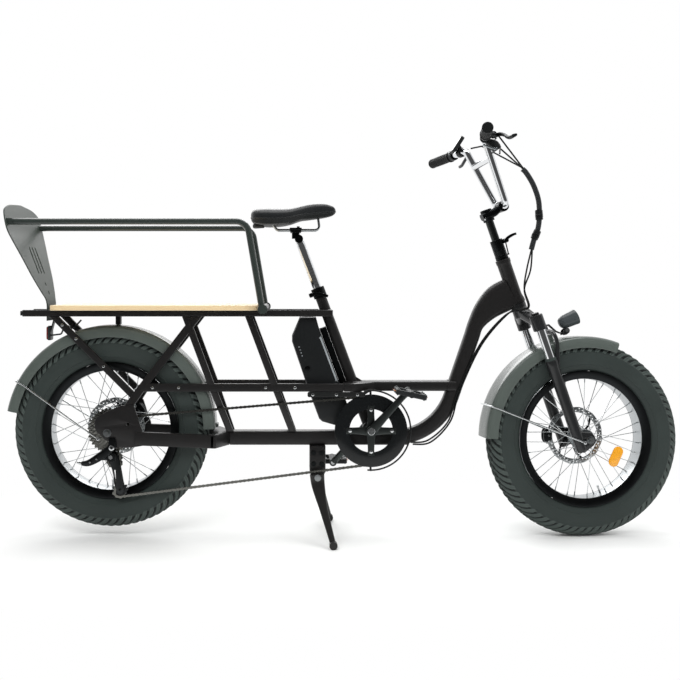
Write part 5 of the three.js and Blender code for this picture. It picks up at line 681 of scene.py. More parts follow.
def rounded_box(width, height, corner, steps=3):
    """The points of a rectangle with round corners, centred on the origin."""
    points = []
    for sx, sy, start in ((1, 1, 0), (-1, 1, 90), (-1, -1, 180), (1, -1, 270)):
        for i in range(steps + 1):
            angle = math.radians(start + 90 * i / steps)
            points.append((
                sx * (width / 2 - corner) + corner * math.cos(angle),
                sy * (height / 2 - corner) + corner * math.sin(angle),
            ))
    return points


def front_hub():
    profile = [
        (8, -63), (15.6, -63), (16.5, -61), (16.5, -42), (27, -40), (28.8, -38.5), (29, -34.5), (27.6, -33),
        (18, -27), (16, -20), (16, 20), (18, 27), (27.6, 33), (29, 34.5), (28.8, 38.5), (27, 40), (16.5, 42),
        (16.5, 61), (15.6, 63), (8, 63),
    ]
    return [lathe(profile, 72)]


def rear_hub():
    """The motor's drum, with its cover screwed on and a ridge where the flange turns."""
    profile = [
        (12, -39), (20, -39), (24, -37.5), (56, -36.4), (60, -35), (64.6, -31), (66, -27), (66, -22),
        (64.6, -20.5),
        (64.6, 20.5), (66, 22), (66, 27), (64.6, 31), (60, 35), (50, 37.6), (26, 40.6), (22, 42), (20, 44),
        (20, 74), (18.6, 75.3), (12, 75.3),
    ]
    screw = button_bolt((46, 38, 0), (46, 40.6, 0), 3)
    return [lathe(profile, 96), round_axle([screw], 9)]


def mount_wheel(name, place, hub, flange, flange_y, apart, rotor_y):
    """All pieces of one wheel: its rim, hub, laced spokes, brake rotor and tyre."""
    spokes, nipples = spoke_pattern(flange, flange_y, apart)
    for ending, parts, material in (
        ("rim_bed", rim_bed(), rolled_aluminium), ("rim_walls", rim_walls(), black_anodised),
        ("hub", hub, cast_aluminium), ("spokes", [spokes], drawn_steel),
        ("nipples", [nipples] + valve(), drawn_steel), ("rotor", rotor_ring(rotor_y), ground_steel),
        ("rotor_carrier", rotor_carrier(rotor_y), black_anodised),
    ):
        piece(f"{name}_{ending}", parts, material, f"{name}_wheel", f"{name}_wheel",
              place)
    # The grooves piece is a dark band sunk under the bars: painted shade.
    for ending, parts, material, sharp in (
        ("casing", casing(), tyre_rubber, 40), ("grooves", tread_grooves(), groove_painted_shade, 35),
        ("tread", tread(), tread_rubber, 40),
    ):
        piece(f"{name}_tyre_{ending}", [parts], material, f"{name}_wheel", f"{name}_tyre", place,
              sharp=sharp)


mount_wheel("front", on_front_axle, front_hub(), 26.8, 36, 2.2, 51)
mount_wheel("rear", on_rear_axle, rear_hub(), 63.8, 24, 3, 62)


def reflector_face():
    """Moulded amber acrylic: small prisms behind a smooth face, drawn 2.2 mm across."""
    material, tree, surface = blank_material("amber_acrylic")
    spot = add(tree, "ShaderNodeTexCoord")
    cells = add(tree, "ShaderNodeTexVoronoi", {"Vector": spot.outputs["Object"], "Scale": 450.0},
                distance="CHEBYCHEV")
    tint = mixed(tree, cells.outputs["Distance"], linear("f0a92a"), linear("c9820c"))
    bump = add(tree, "ShaderNodeBump", {"Strength": 0.6, "Distance": 0.0006,
                                        "Height": cells.outputs["Distance"]})
    fill(tree, surface, {
        "Base Color": tint, "Roughness": 0.18, "Normal": bump.outputs[0], "Coat Weight": 0.6, "IOR": 1.49})
    return material


def spoke_reflector():
    straight, end = 17, 16
    outline = []
    for way in (1, -1):
        for i in range(17):
            angle = math.radians(-90 + 180 * i / 16)
            outline.append((way * (straight + end * math.cos(angle)), way * end * math.sin(angle)))
    face = plate(outline, -26.4, -21.6, edge=1.4)
    rim = plate(outline, -25.8, -23.4, [[(a * 0.9, b * 0.84) for a, b in outline]], 0.3)
    bearing = math.radians(-48.7)
    place = Vector((118 * math.cos(bearing), 0, 118 * math.sin(bearing)))
    return [at(turn(part, "Y", -45), place) for part in (face, rim)]


piece("spoke_reflector_lens", spoke_reflector(), reflector_face(), "front_wheel", "spoke_reflector",
      on_front_axle)

# Front frame: aluminium tubes, butted and welded. A hydroformed down tube sweeps from the head tube
# under the cranks, and a main bar and a seat tube cross it. All of it is powder coated satin black.

# Satin black powder coat: near black with a broad, soft shine along the tubes.
frame_coat = coated(moulded("satin_powder_coat", "1b1a1a", 0.4, 1.4, 0.05, 0.08), 0.12, 0.3)
crank_x, crank_z = 82, 333
main_z, lower_z = 464.5, 303.5
collar_z = 750
seat_lean = math.radians(20.5)
along_seat = Vector((-math.sin(seat_lean), 0, math.cos(seat_lean)))
seat_fore = Vector((math.cos(seat_lean), 0, math.sin(seat_lean)))
behind_seat = -seat_fore
down_lean = math.tan(math.radians(18.9))


def seat_x(z):
    """Where the seat tube's axis is at a height."""
    return crank_x - (z - crank_z) * math.tan(seat_lean)


def down_x(z):
    """Where the straight part of the down tube is at a height."""
    return 402 - down_lean * (622 - z)


def seat_point(z, run=0.0, back=0.0, y=0.0):
    return Vector((seat_x(z), y, z)) + along_seat * run + behind_seat * back


def spline(values, steps):
    """Values with a smooth curve through them, several steps to each gap."""
    fine = []
    for i in range(len(values) - 1):
        before = values[max(i - 1, 0)]
        after = values[min(i + 2, len(values) - 1)]
        for k in range(steps):
            t = k / steps
            fine.append(tuple(
                0.5 * (2 * b + (c - a) * t + (2 * a - 5 * b + 4 * c - d) * t * t + (3 * b - a - 3 * c + d) * t ** 3)
                for a, b, c, d in zip(before, values[i], values[i + 1], after)
            ))
    return fine + [tuple(values[-1])]


def blade(route, sizes, across=None, steps=5, corner_steps=4):
    """A smoothly swelling bar: (width, height, corner) at each point of its route."""
    fine_route = spline([tuple(p) for p in route], steps)
    fine_sizes = spline(sizes, steps)
    sections = [rounded_box(w, h, max(min(c, w / 2.02, h / 2.02), 0.05), corner_steps) for w, h,
                c in fine_sizes]
    return loft(fine_route, sections, across or across_of([Vector(route[0]), Vector(route[1])]))


def bar(start, end, width, height, corner):
    route = [Vector(start), Vector(end)]
    return loft(route, [rounded_box(width, height, corner)] * 2, across_of(route))


def down_tube():
    neck = [(0, 0, 2.1), (0.345, 0.168, 2.05), (0.663, 0.43, 1.56), (0.9, 0.741, 1.06), (1, 1, 1)]
    fine = spline(neck, 6)
    route = [Vector((402 + (1 - reach) * 119, 0, 622 + (1 - drop) * 131)) for reach, drop, _ in fine]
    corner = Vector((down_x(lower_z), 0, lower_z))
    bend = rounded([route[-1], corner, Vector((crank_x, 0, lower_z))], 190, 20)
    swell = [s for _, _, s in fine] + [1] * (len(bend) - 1)
    sections = [rounded_box(46, 46 * s, 13.8 + 6 * (s - 1), 6) for s in swell]
    return loft(route + bend[1:], sections)


def weld_tree():
    """Geometry nodes: overlapping beads along a path, as a hand-laid weld has."""
    tree = bpy.data.node_groups.new("weld_beads", "GeometryNodeTree")
    for name, kind in (("Geometry", "Geometry"), ("Spacing", "Float"), ("Radius", "Float"),
                       ("Material", "Material")):
        tree.interface.new_socket(name, in_out="INPUT", socket_type="NodeSocket" + kind)
    tree.interface.new_socket("Geometry", in_out="OUTPUT", socket_type="NodeSocketGeometry")
    given = add(tree, "NodeGroupInput")
    path = add(tree, "GeometryNodeMeshToCurve", {"Mesh": given.outputs["Geometry"]})
    points = add(tree, "GeometryNodeCurveToPoints", {
        "Curve": path.outputs[0], "Length": given.outputs["Spacing"]}, mode="LENGTH")
    bead = add(tree, "GeometryNodeMeshIcoSphere", {"Radius": given.outputs["Radius"], "Subdivisions": 2})
    beads = add(tree, "GeometryNodeInstanceOnPoints", {
        "Points": points.outputs["Points"], "Instance": bead.outputs[0],
        "Rotation": points.outputs["Rotation"],
        "Scale": (1.0, 1.0, 0.7)})
    solid = add(tree, "GeometryNodeRealizeInstances", {"Geometry": beads.outputs[0]})
    dressed = add(tree, "GeometryNodeSetMaterial", {
        "Geometry": solid.outputs[0], "Material": given.outputs["Material"]})
    add(tree, "NodeGroupOutput", {"Geometry": dressed.outputs[0]})
    return tree


weld_beads = weld_tree()


def weld(points):
    """A line of weld beads along a loop of points."""
    edges = [(i, (i + 1) % len(points)) for i in range(len(points))]
    return grown([([tuple(p) for p in points], edges)], weld_beads, Spacing=2.6, Radius=1.9)


def tube_joint(axis_point, axis, radius, main_point, main_axis, main_radius, count=48):
    """The loop where a round tube meets a larger one: its own wall pushed out until it touches the other."""
    axis, main_axis = Vector(axis).normalized(), Vector(main_axis).normalized()
    first = axis.orthogonal().normalized()
    second = axis.cross(first)
    loop = []
    for k in range(count):
        angle = full_turn * k / count
        start = Vector(axis_point) + first * (radius * math.cos(angle)) + second * (radius * math.sin(angle))
        offset = start - Vector(main_point)
        offset -= main_axis * offset.dot(main_axis)
        run = axis - main_axis * axis.dot(main_axis)
        a, b, c = run.dot(run), 2 * run.dot(offset), offset.dot(offset) - main_radius ** 2
        root = max(b * b - 4 * a * c, 0)
        loop.append(start + axis * ((-b + math.sqrt(root)) / (2 * a)))
    return loop


def head_tube():
    profile = [
        (16, 0), (25.5, 0), (25.5, 3), (25.2, 9), (23.4, 17), (21.9, 24), (21.5, 30), (21.5, 128),
        (22.6, 130),
        (23, 133), (23, 142.4), (22.4, 143), (16, 143),
    ]
    return standing(profile, 72, closed=True)


def front_frame():
    parts = [at(head_tube(), steered), down_tube()]
    yoke_plan = [(-2, -72), (24, -72), (34, -70), (88, -33), (96, -30), (96, 30), (88, 33), (34, 70),
                 (24, 72), (-2, 72)]
    parts.append(plate(yoke_plan, 452.25, 476.75, edge=3, plane="plan"))
    parts.append(bar((30, 0, main_z), (down_x(main_z), 0, main_z), 60, 30, 7))
    parts.append(rod(seat_point(crank_z), seat_point(collar_z), 17, 48))
    gusset = [(seat_x(main_z), main_z), (seat_x(main_z) + 51, main_z), (seat_x(490), 502),
              (seat_x(515.5), 515.5)]
    parts.append(plate(gusset, -8.5, 8.5, edge=1.5))
    parts.append(disc_tube(Vector((crank_x, -36.5, crank_z)), Vector((crank_x, 36.5, crank_z)), 21, 16))
    parts.append(bar((-352, 0, lower_z), (200, 0, lower_z), 50, 43, 7))
    return parts


def disc_tube(start, end, radius, bore):
    """A short open tube with its end faces eased."""
    run = (end - start).length
    wall = lathe([(bore, 0), (radius - 0.6, 0), (radius, 0.6), (radius, run - 0.6), (radius - 0.6, run),
                  (bore, run)],
                 64, closed=True)
    return at(wall, aimed(start, end - start))


def front_welds():
    """Beads round the seat tube's two joints and the main bar's joint with the down tube."""
    over_bar = []
    for k in range(48):
        angle = full_turn * k / 48
        out = side_axis * (17.4 * math.cos(angle)) + seat_fore * (17.4 * math.sin(angle))
        start = seat_point(477) + out
        over_bar.append(start + along_seat * ((477.4 - start.z) / along_seat.z))
    shell = tube_joint(seat_point(crank_z), along_seat, 17.4, (crank_x, 0, crank_z), side_axis, 21.2)
    front_x = down_x(main_z) - 24.5
    main_end = [Vector((front_x + down_lean * b, a, main_z + b)) for a, b in rounded_box(60, 30, 7, 4)]
    return [weld(over_bar), weld(shell), weld(main_end)]


piece("front_frame_tubes", front_frame(), frame_coat, "frame", "frame_front", bevel=0.8,
      sharp=40)
piece("front_frame_welds", front_welds(), frame_coat, "frame", "frame_front", sharp=60)

# Rear frame: box-section tubes welded into a truss on each side, on a yoke and two deep chainstays.
# Cut plates at the rear hold the axle with a nut on each side.


stay_y, truss_y = 91.5, 65
rack_z, rack_top, rack_under = 691.5, 701.5, 681.2


def dropout_plate(side):
    shares = [
        (0.3, 0.64), (-0.1, 0.455), (-0.22, 0.36), (-0.262, 0.3), (-0.27, 0.12), (-0.23, 0.02),
        (-0.14, -0.06), (-0.05, -0.16), (0.0, -0.19),
        (0.07, -0.17), (0.09, -0.3), (0.13, -0.34), (0.52, -0.34), (0.76, -0.3), (0.755, 0.06), (0.72, 0.16),
        (0.58, 0.62), (0.56, 0.64),
    ]
    outline = [(rear_x + x * 140, rear_z + z * 130) for x, z in shares]
    low = 87.5 if side > 0 else -95.5
    windows = [[(rear_x + 62 + a, rear_z + 26 + b) for a, b in circle(5, 24)]]
    return plate(outline, low, low + 8, windows, edge=1.2)


def chainstay(side):
    return bar((-396.5, side * stay_y, lower_z), (-634, side * stay_y, 313), 15, 41, 3.6)


def rear_stays():
    plan = [(-352.3, -25), (-352.3, 25), (-389.3, 99), (-404.3, 99), (-404.3, -99), (-389.3, -99)]
    parts = [plate(plan, 283, 324, edge=3, plane="plan")]
    parts += [chainstay(side) for side in (1, -1)]
    parts += [dropout_plate(side) for side in (1, -1)]
    return parts


def rear_axle_nuts():
    parts = [rod((rear_x, -109.5, rear_z), (rear_x, 109.5, rear_z), 6, 24)]
    for side in (1, -1):
        parts += hex_bolt((rear_x, side * 95.6, rear_z), (rear_x, side * 102.5, rear_z), 10)
        parts.append(cone((rear_x, side * 102.5, rear_z), (rear_x, side * 108.5, rear_z), 8.4, 7, 24))
    return parts


piece("rear_stay_plates", rear_stays(), frame_coat, "frame", "frame_stays", bevel=0.6,
      sharp=40)
piece("rear_axle_nuts", rear_axle_nuts(), ground_steel, "frame", "frame_stays")


def strut(points, width, height, corner=2.6):
    route = [Vector(p) for p in points]
    return loft(route, [rounded_box(width, height, corner)] * len(route))


def flush(part, level, direction, above=True):
    """Points above a level, or below it, are slid back along the strut onto it."""
    points, faces = part
    direction = Vector(direction)
    moved = []
    for p in map(Vector, points):
        if p.z > level if above else p.z < level:
            p = p + direction * ((level - p.z) / direction.z)
        moved.append(tuple(p))
    return moved, faces


def leaning_strut(side, offset):
    """A strut from the rack down past the main tube, which then draws in to the lower bar."""
    knee_z = main_z + 24.5 / 4
    foot_z = lower_z + 1.5
    top = Vector((seat_x(rack_top) + offset, side * truss_y, rack_top))
    knee = Vector((seat_x(knee_z) + offset, side * truss_y, knee_z))
    foot = Vector((seat_x(foot_z) + offset, side * 18, foot_z))
    part = flush(strut([top, knee, foot], 14, 20.5), rack_under, top - knee)
    return flush(part, 325.3, knee - foot, above=False)


rear_strut_x = -905.5


def frame_side(side):
    y = side * truss_y
    parts = [bar((-622, y, main_z), (-2.3, y, main_z), 14, 24.5, 3)]
    drop = rack_top - main_z + 24.5
    rear = strut([(rear_strut_x, y, rack_top), (rear_strut_x + drop, y, rack_top - drop)], 14, 20.5)
    parts.append(flush(rear, rack_under, (1, 0, -1)))
    top = Vector((-434, y, rack_top))
    knee = Vector((-622, y, 458.4))
    foot = Vector((-664.8, side * stay_y, 395))
    diagonal = flush(strut([top, knee, foot], 14, 23.6), rack_under, top - knee)
    parts.append(flush(diagonal, 413.6, knee - foot, above=False))
    parts += [leaning_strut(side, -435.5), leaning_strut(side, -243)]
    return parts


def side_bolts(side):
    """Threaded bosses with domed screws on the outer face of the side tubes, for bags and steps."""
    parts = []
    outer = side * 72
    spots = [(x, main_z) for x in (-585, -505, -240, -150)]
    spots += [(rear_strut_x + down, rack_top - down) for down in (46, 88, 172)]
    for x, z in spots:
        parts.append(button_bolt((x, outer - side * 0.3, z), (x, outer + side * 2.2, z), 4.2))
    return parts


hands = (1, "left"), (-1, "right")
for side, hand in hands:
    node = "frame_side_" + hand
    piece("side_truss_" + hand, frame_side(side), frame_coat, "frame", node, bevel=0.5,
          sharp=40)
    piece("side_screws_" + hand, side_bolts(side), drawn_steel, "frame", node)

# Rack and deck: two box tubes tied by cross tubes carry a plywood board on countersunk screws.
# The board is routed birch ply, oiled, with its plies open to view along the edge.


fender_tab_x = -700
rail_foot_x, rail_foot_z = -245, 707


def rack_parts():
    parts = [bar((-978, y, rack_z), (-36, y, rack_z), 14, 20, 3) for y in (truss_y, -truss_y)]
    parts += [bar((x, -truss_y, rack_z), (x, truss_y, rack_z), 20, 16, 3) for x in (-893, fender_tab_x)]
    plan = [(-78, -71), (-46, -71), (-38.5, -67.5), (-34, -59), (-34, 59), (-38.5, 67.5), (-46, 71),
            (-78, 71)]
    parts.append(plate(plan, rack_z - 10, rack_top, edge=2, plane="plan"))
    parts.append(bar((fender_tab_x, 0, rack_z), (fender_tab_x, 0, 655.5), 24, 16, 2))
    return parts


def rack_round_parts():
    """The round tube across the rack that carries the hand rails, with its end collars."""
    parts = [rod((rail_foot_x, -190, rail_foot_z), (rail_foot_x, 190, rail_foot_z), 11, 40)]
    for side in (1, -1):
        inner, outer = (Vector((rail_foot_x, side * y, rail_foot_z)) for y in (186, 190))
        parts.append(disc_tube(inner, outer, 11.0, 4))
    return parts


def rack_caps():
    """Push-in plastic plugs at the tube ends."""
    parts = []
    for side in (1, -1):
        y = side * truss_y
        parts.append(bar((-988, y, rack_z), (-977, y, rack_z), 9.8, 14, 3))
        parts.append(bar((-981, y, rack_z), (-978, y, rack_z), 14, 20, 3))
    return parts


# Polyethylene plugs: a flat, slightly waxy black.
plug_plastic = moulded("moulded_polyethylene", "1b1d1d", 0.5, 0.9, 0.08)
piece("rack_tubes", rack_parts(), frame_coat, "frame", "frame_rack", bevel=0.5, sharp=40)
piece("rack_cross_tube", rack_round_parts(), frame_coat, "frame", "frame_rack")
piece("rack_end_plugs", rack_caps(), plug_plastic, "frame", "frame_rack", bevel=0.8)


def birch_ply():
    """Oiled birch: long pale figure on the face, and eleven plies, light and dark by turns, on the edge."""
    material, tree, surface = blank_material("oiled_birch_plywood")
    spot = add(tree, "ShaderNodeTexCoord")
    grain_space = add(tree, "ShaderNodeMapping",
                      {"Vector": spot.outputs["Object"], "Scale": (3.0, 60.0, 60.0)})
    figure = add(tree, "ShaderNodeTexNoise", {"Vector": grain_space.outputs[0], "Scale": 1.6, "Detail": 6.0,
                                              "Distortion": 0.6})
    fleck_space = add(tree, "ShaderNodeMapping",
                      {"Vector": spot.outputs["Object"], "Scale": (60.0, 900.0, 900.0)})
    fleck = add(tree, "ShaderNodeTexNoise", {"Vector": fleck_space.outputs[0], "Scale": 1.0, "Detail": 2.0})
    face = add(tree, "ShaderNodeValToRGB", {"Fac": figure.outputs["Fac"]})
    face.color_ramp.elements[0].position = 0.3
    face.color_ramp.elements[0].color = linear("e3cfae")
    face.color_ramp.elements[1].position = 0.72
    face.color_ramp.elements[1].color = linear("f1e3c8")
    apart = add(tree, "ShaderNodeSeparateXYZ", {"Vector": spot.outputs["Object"]})
    layer = add(tree, "ShaderNodeMath", {0: apart.outputs["Z"], 1: full_turn / 0.0030}, operation="MULTIPLY")
    wave = add(tree, "ShaderNodeMath", {0: layer.outputs[0]}, operation="SINE")
    sharp_wave = add(tree, "ShaderNodeMapRange",
                     {"Value": wave.outputs[0], "From Min": -0.25, "From Max": 0.25})
    plies = mixed(tree, sharp_wave.outputs[0], linear("c9a877"), linear("ecd9b4"))
    shape = add(tree, "ShaderNodeNewGeometry")
    way = add(tree, "ShaderNodeSeparateXYZ", {"Vector": shape.outputs["Normal"]})
    flat = add(tree, "ShaderNodeMath", {0: way.outputs["Z"]}, operation="ABSOLUTE")
    on_face = add(tree, "ShaderNodeMapRange", {"Value": flat.outputs[0], "From Min": 0.7, "From Max": 0.8})
    both = mixed(tree, on_face.outputs[0], plies, face.outputs["Color"])
    worn = mixed(tree, 0.12, both, fleck.outputs["Fac"], blend_type="MULTIPLY")
    bump = add(tree, "ShaderNodeBump", {"Strength": 0.25, "Distance": 0.0003, "Height": fleck.outputs["Fac"]})
    rough = add(tree, "ShaderNodeMapRange", {"Value": figure.outputs["Fac"], "To Min": 0.5, "To Max": 0.68})
    fill(tree, surface, {"Base Color": worn, "Roughness": rough.outputs[0], "Normal": bump.outputs[0]})
    return material


screw_spots = [(x, y) for x in (-800, -340) for y in (truss_y, -truss_y)]


def deck_board():
    outline = [(x - 573.6, y) for x, y in rounded_box(621.8, 300, 32, 12)]
    holes = [[(x + a, y + b) for a, b in circle(5.6, 24)] for x, y in screw_spots]
    return [plate(outline, 701.8, 716.8, holes, edge=1.4, plane="plan")]


def deck_screws():
    """Countersunk stainless screws with a hexagon socket, set just under the board's face."""
    head = [(0, 712.6), (5.4, 712.6), (5.4, 716.2), (5.0, 716.7), (2.6, 716.7), (2.3, 714.2), (0, 714.2)]
    return [at(standing(head, 32), (x, y, 0)) for x, y in screw_spots]


piece("deck_board", deck_board(), birch_ply(), "frame", "deck", sharp=50)
piece("deck_screws", deck_screws(), drawn_steel, "frame", "deck")

# Hand rails and backrest: bent aluminium tube and pressed sheet, powder coated gloss black.
# The rails are clamped on the cross tube in front and bolted through the sheet's turned edges behind.

# The sheet's coat reads as flat dark grey green; the rails' coat is darker, with a sharp line of light.
sheet_coat = moulded("matt_powder_coat", "3a403c", 0.42, 1.6, 0.005, 0.06, specular=0.12)
gloss_coat = coated(moulded("gloss_powder_coat", "2c322f", 0.2, 1.6, 0.01, 0.06), 0.6, 0.12)


rail_z = 964.5


def hand_rail(side):
    """A bent tube, and the clamp at its foot with a raised rim at each end."""
    y = side * 180
    route = rounded([(-997, y, rail_z), (-291, y, rail_z), (-248, y, 712.5)], 38, 14)
    parts = [tube(route, 9.5, 32)]
    for low, high, radius in ((-16, 16, 14), (-16.2, -12, 14.4), (12, 16.2, 14.4)):
        ends = [(rail_foot_x, y + reach, rail_foot_z) for reach in (low, high)]
        parts.append(rod(*ends, radius, 48))
    return parts


for side, hand in hands:
    piece("hand_rail_" + hand, hand_rail(side), gloss_coat, "frame", "rail_" + hand, bevel=0.6)


def back_x(z):
    """The folded sheet seen from the side: straight up to the first fold, then leaning back twice."""
    lean = math.tan(math.radians(20.5))
    upper = math.tan(math.radians(12))
    start, first_fold, second_fold = -909.5, 727, 940
    if z < first_fold:
        return start
    knee = start - lean * (min(z, second_fold) - first_fold)
    return knee - upper * max(z - second_fold, 0)


def soft_back_x(z, reach=14):
    """The sheet's line with its two folds rounded."""
    return sum(back_x(z + d) for d in (-reach, -reach / 2, 0, reach / 2, reach)) / 5


def slot_outline(cy, low, high, half):
    loop = []
    for k in range(9):
        angle = math.pi * k / 8
        loop.append((cy + half * math.cos(angle), high - half + half * math.sin(angle)))
    for k in range(9):
        angle = math.pi + math.pi * k / 8
        loop.append((cy + half * math.cos(angle), low + half + half * math.sin(angle)))
    return loop


def backrest_sheet():
    """The pressed sheet: a flat blank with slots, folded along two lines and given its thickness."""
    edge = [
        (55, 668), (55, 727), (80, 756), (119, 802), (154, 858), (199, 925), (207, 955), (202, 985),
        (184, 1003), (120, 1018),
        (0, 1026),
    ]
    half = spline(edge, 6)
    loop = half + [(-y, z) for y, z in reversed(half[:-1])]
    holes = [slot_outline(y, 812, 896, 6) for y in (-34, 0, 34)]
    holes += [[(a, z + b) for a, b in circle(6, 20)] for z in (754, 780)]
    blank = plate(loop, -2, 2, holes, edge=0.9, plane="front")
    built = built_from([blank])
    bmesh.ops.dissolve_limit(built, angle_limit=math.radians(1), verts=built.verts[:], edges=built.edges[:])
    for z in range(672, 1032, 9):
        bmesh.ops.bisect_plane(built, geom=built.verts[:] + built.edges[:] + built.faces[:],
                               plane_co=(0, 0, z), plane_no=(0, 0, 1))
    for vertex in built.verts:
        vertex.co.x += soft_back_x(vertex.co.z)
    built.verts.ensure_lookup_table()
    built.verts.index_update()
    part = ([tuple(v.co) for v in built.verts], [tuple(v.index for v in f.verts) for f in built.faces])
    built.free()
    return part


def backrest_fixings():
    parts = []
    for side in (1, -1):
        y = side * 189.5
        x = back_x(rail_z)
        parts.append(bar((x, y + side * 2, rail_z), (x + 18, y + side * 2, rail_z), 4, 19, 1.6))
        parts.append(button_bolt((back_x(668) - 2, side * 32.5, 698), (back_x(668) - 5, side * 32.5, 698), 5))
    return parts


piece("backrest_sheet", [backrest_sheet()], sheet_coat, "frame", "backrest", sharp=15)
piece("backrest_fixings", backrest_fixings(), gloss_coat, "frame", "backrest", bevel=0.5)

# Rear light: a red lens in a grey shell, on a strap under the backrest, with its lead looped forward.
# The lens is moulded polycarbonate with a ribbed back.


def ribbed_lens(name, code, glow):
    """Clear moulding over ribs 3 mm apart, with painted shade in bands between the ribs."""
    material, tree, surface = blank_material(name)
    spot = add(tree, "ShaderNodeTexCoord")
    ribs = add(tree, "ShaderNodeTexWave", {"Vector": spot.outputs["Object"], "Scale": 53.0},
               bands_direction="Z")
    base = linear(code)
    # Painted shade: the colour falls to about half in bands between the ribs.
    tint = mixed(tree, ribs.outputs["Fac"], shaded(base, 0.55), base)
    bump = add(tree, "ShaderNodeBump", {"Strength": 0.4, "Distance": 0.0008, "Height": ribs.outputs["Fac"]})
    fill(tree, surface, {
        "Base Color": tint, "Roughness": 0.12, "Normal": bump.outputs[0], "Coat Weight": glow, "IOR": 1.58})
    return material


# Red polycarbonate over ribs that catch the light, in a dark grey ABS shell.
red_lens = ribbed_lens("red_polycarbonate", "8e1a16", 0.8)
lamp_shell = moulded("moulded_abs_grey", "2e3132", 0.38, 0.8, 0.05)


def rear_light_shell():
    outline = [(y, z + 628.5) for y, z in rounded_box(44, 45, 8, 6)]
    body = plate(outline, -917, -909, edge=1.5, plane="front")
    strap = blade(
        [(-911, 0, 628.5), (-905, 0, 651), (-901, 0, 668), (-901, 0, 681.2)],
        [(22, 4, 1)] * 4,
    )
    lead = tube(rounded([(-913, 0, 620.5), (-880, 4, 624.5), (-868, 10, 655), (-846, 14, 640),
                         (-820, 16, 668)], 8, 6), 2.6, 14)
    return [body, strap, lead]


def rear_light_lens():
    outline = [(y, z + 628.5) for y, z in rounded_box(40, 41, 7, 6)]
    return [plate(outline, -921, -915.5, edge=1.8, plane="front")]


piece("rear_light_shell", rear_light_shell(), lamp_shell, "frame", "rear_light", bevel=0.3)
piece("rear_light_lens", rear_light_lens(), red_lens, "frame", "rear_light")

# Rear fender: a rolled steel hood with turned-in lips, riveted to a bracket under the rack and held by
# another at the yoke. One bent wire stay runs over it, from one dropout to the other.

# A gloss coat on rolled steel: grey green, and light where it faces the sky.
fender_coat = coated(moulded("gloss_coat_on_steel", "4d5450", 0.24, 2.0, 0.008, 0.08), 0.4, 0.2)


def fender_section(edge, crown):
    """The hood's wall in radius and width: crowned on top, straight at the sides, a rolled bead at each lip."""
    depth = crown - edge
    half = 56
    outer = []
    for t, w in ((0.0, 0.985), (0.06, 1.0), (0.45, 1.0), (0.7, 0.985), (0.84, 0.93), (0.94, 0.82),
                 (0.985, 0.66), (1.0, 0.45), (1.0, 0.2)):
        outer.append((edge + depth * t, half * w))
    inner = [(r - 1.4 if w < 50 else r - 0.6, w - (1.5 if w > 50 else 0.8)) for r, w in outer]
    inner[0] = (edge, half - 2.2)
    return [(r, -y) for r, y in outer] + [(r, y) for r, y in reversed(outer)] + inner + [(r, -y) for r,
                                                                                         y in reversed(inner)]


def hood(edge, crown, first, last, steps=72):
    section = fender_section(edge, crown)
    rings = []
    for k in range(steps + 1):
        angle = math.radians(first + (last - first) * k / steps)
        rings.append([(r * math.cos(angle), y, r * math.sin(angle)) for r, y in section])
    return skin(rings)


def fender_stay(bearing, crown, foot_y, foot, spread):
    over = crown + 2.7
    angle = math.radians(bearing)

    def hoop(r, y):
        return (r * math.cos(angle), y, r * math.sin(angle))

    edge, half = 288, 58.7
    return tube(
        rounded([(foot[0], -foot_y, foot[1]), hoop(edge + spread, -half), hoop(over, -half), hoop(over, half),
                 hoop(edge + spread, half), (foot[0], foot_y, foot[1])], spread / 2, 6),
        2.4, 16,
    )


def rivets(bearing, crown):
    angle = math.radians(bearing)
    direction = Vector((math.cos(angle), 0, math.sin(angle)))
    parts = []
    for y in (-12, 12):
        foot = direction * (crown - 0.4) + Vector((0, y, 0))
        parts.append(button_bolt(foot, foot + direction * 1.9, 3.4))
    return parts


def wire_stay(bearing, crown, foot_y, foot, spread, bolt):
    """The stay with the flattened eye and the screw at each foot. The screw runs from one y to another."""
    parts = [fender_stay(bearing, crown, foot_y, foot, spread)]
    place = (foot[0], 0, foot[1])
    for side in (1, -1):
        parts.append(at(disc(6.3, side * foot_y - 2.4, side * foot_y + 2.4, 32), place))
        parts.append(at(button_bolt((0, side * bolt[0], 0), (0, side * bolt[1], 0), 4.6), place))
    return parts


rear_crown, rear_edge = 324, 288
rear_brackets = [
    bar((rear_x + 323.2, 0, 342), (rear_x + 330, 0, 342), 28, 12, 0.8),
    bar((fender_tab_x, 0, rear_z + 320.8), (fender_tab_x, 0, 655.2), 18.7, 12, 0.8),
]
rear_hood = [at(hood(rear_edge, rear_crown, 1, 169), on_rear_axle)]
rear_rivets = [at(p, on_rear_axle) for p in rivets(87, rear_crown)]
rear_wire = [at(p, on_rear_axle) for p in wire_stay(152, rear_crown, 98.2, (-27, -18), 10, (100.4, 103))]
piece("rear_fender_hood", rear_hood, fender_coat, "frame", "rear_fender", sharp=50)
piece("rear_fender_fixings", rear_brackets + rear_rivets, fender_coat, "frame", "rear_fender",
      bevel=0.3)
piece("rear_fender_wire", rear_wire, drawn_steel, "frame", "rear_fender_stay")

# Seat: a padded saddle on steel rails, clamped on a plated seat post. The foam pad has a sewn vinyl cover
# over a moulded base. The post slides in the seat tube, held by a cast collar with a cam lever.

# Chromium plate is a near mirror; embossed vinyl is dull, with a fine leather grain.
chrome_plate = stainless("chromium_plate", "e6e8ea", 0.07)
cover_vinyl = moulded("embossed_vinyl", "1c1e1f", 0.42, 1.1, 0.16, 0.1)


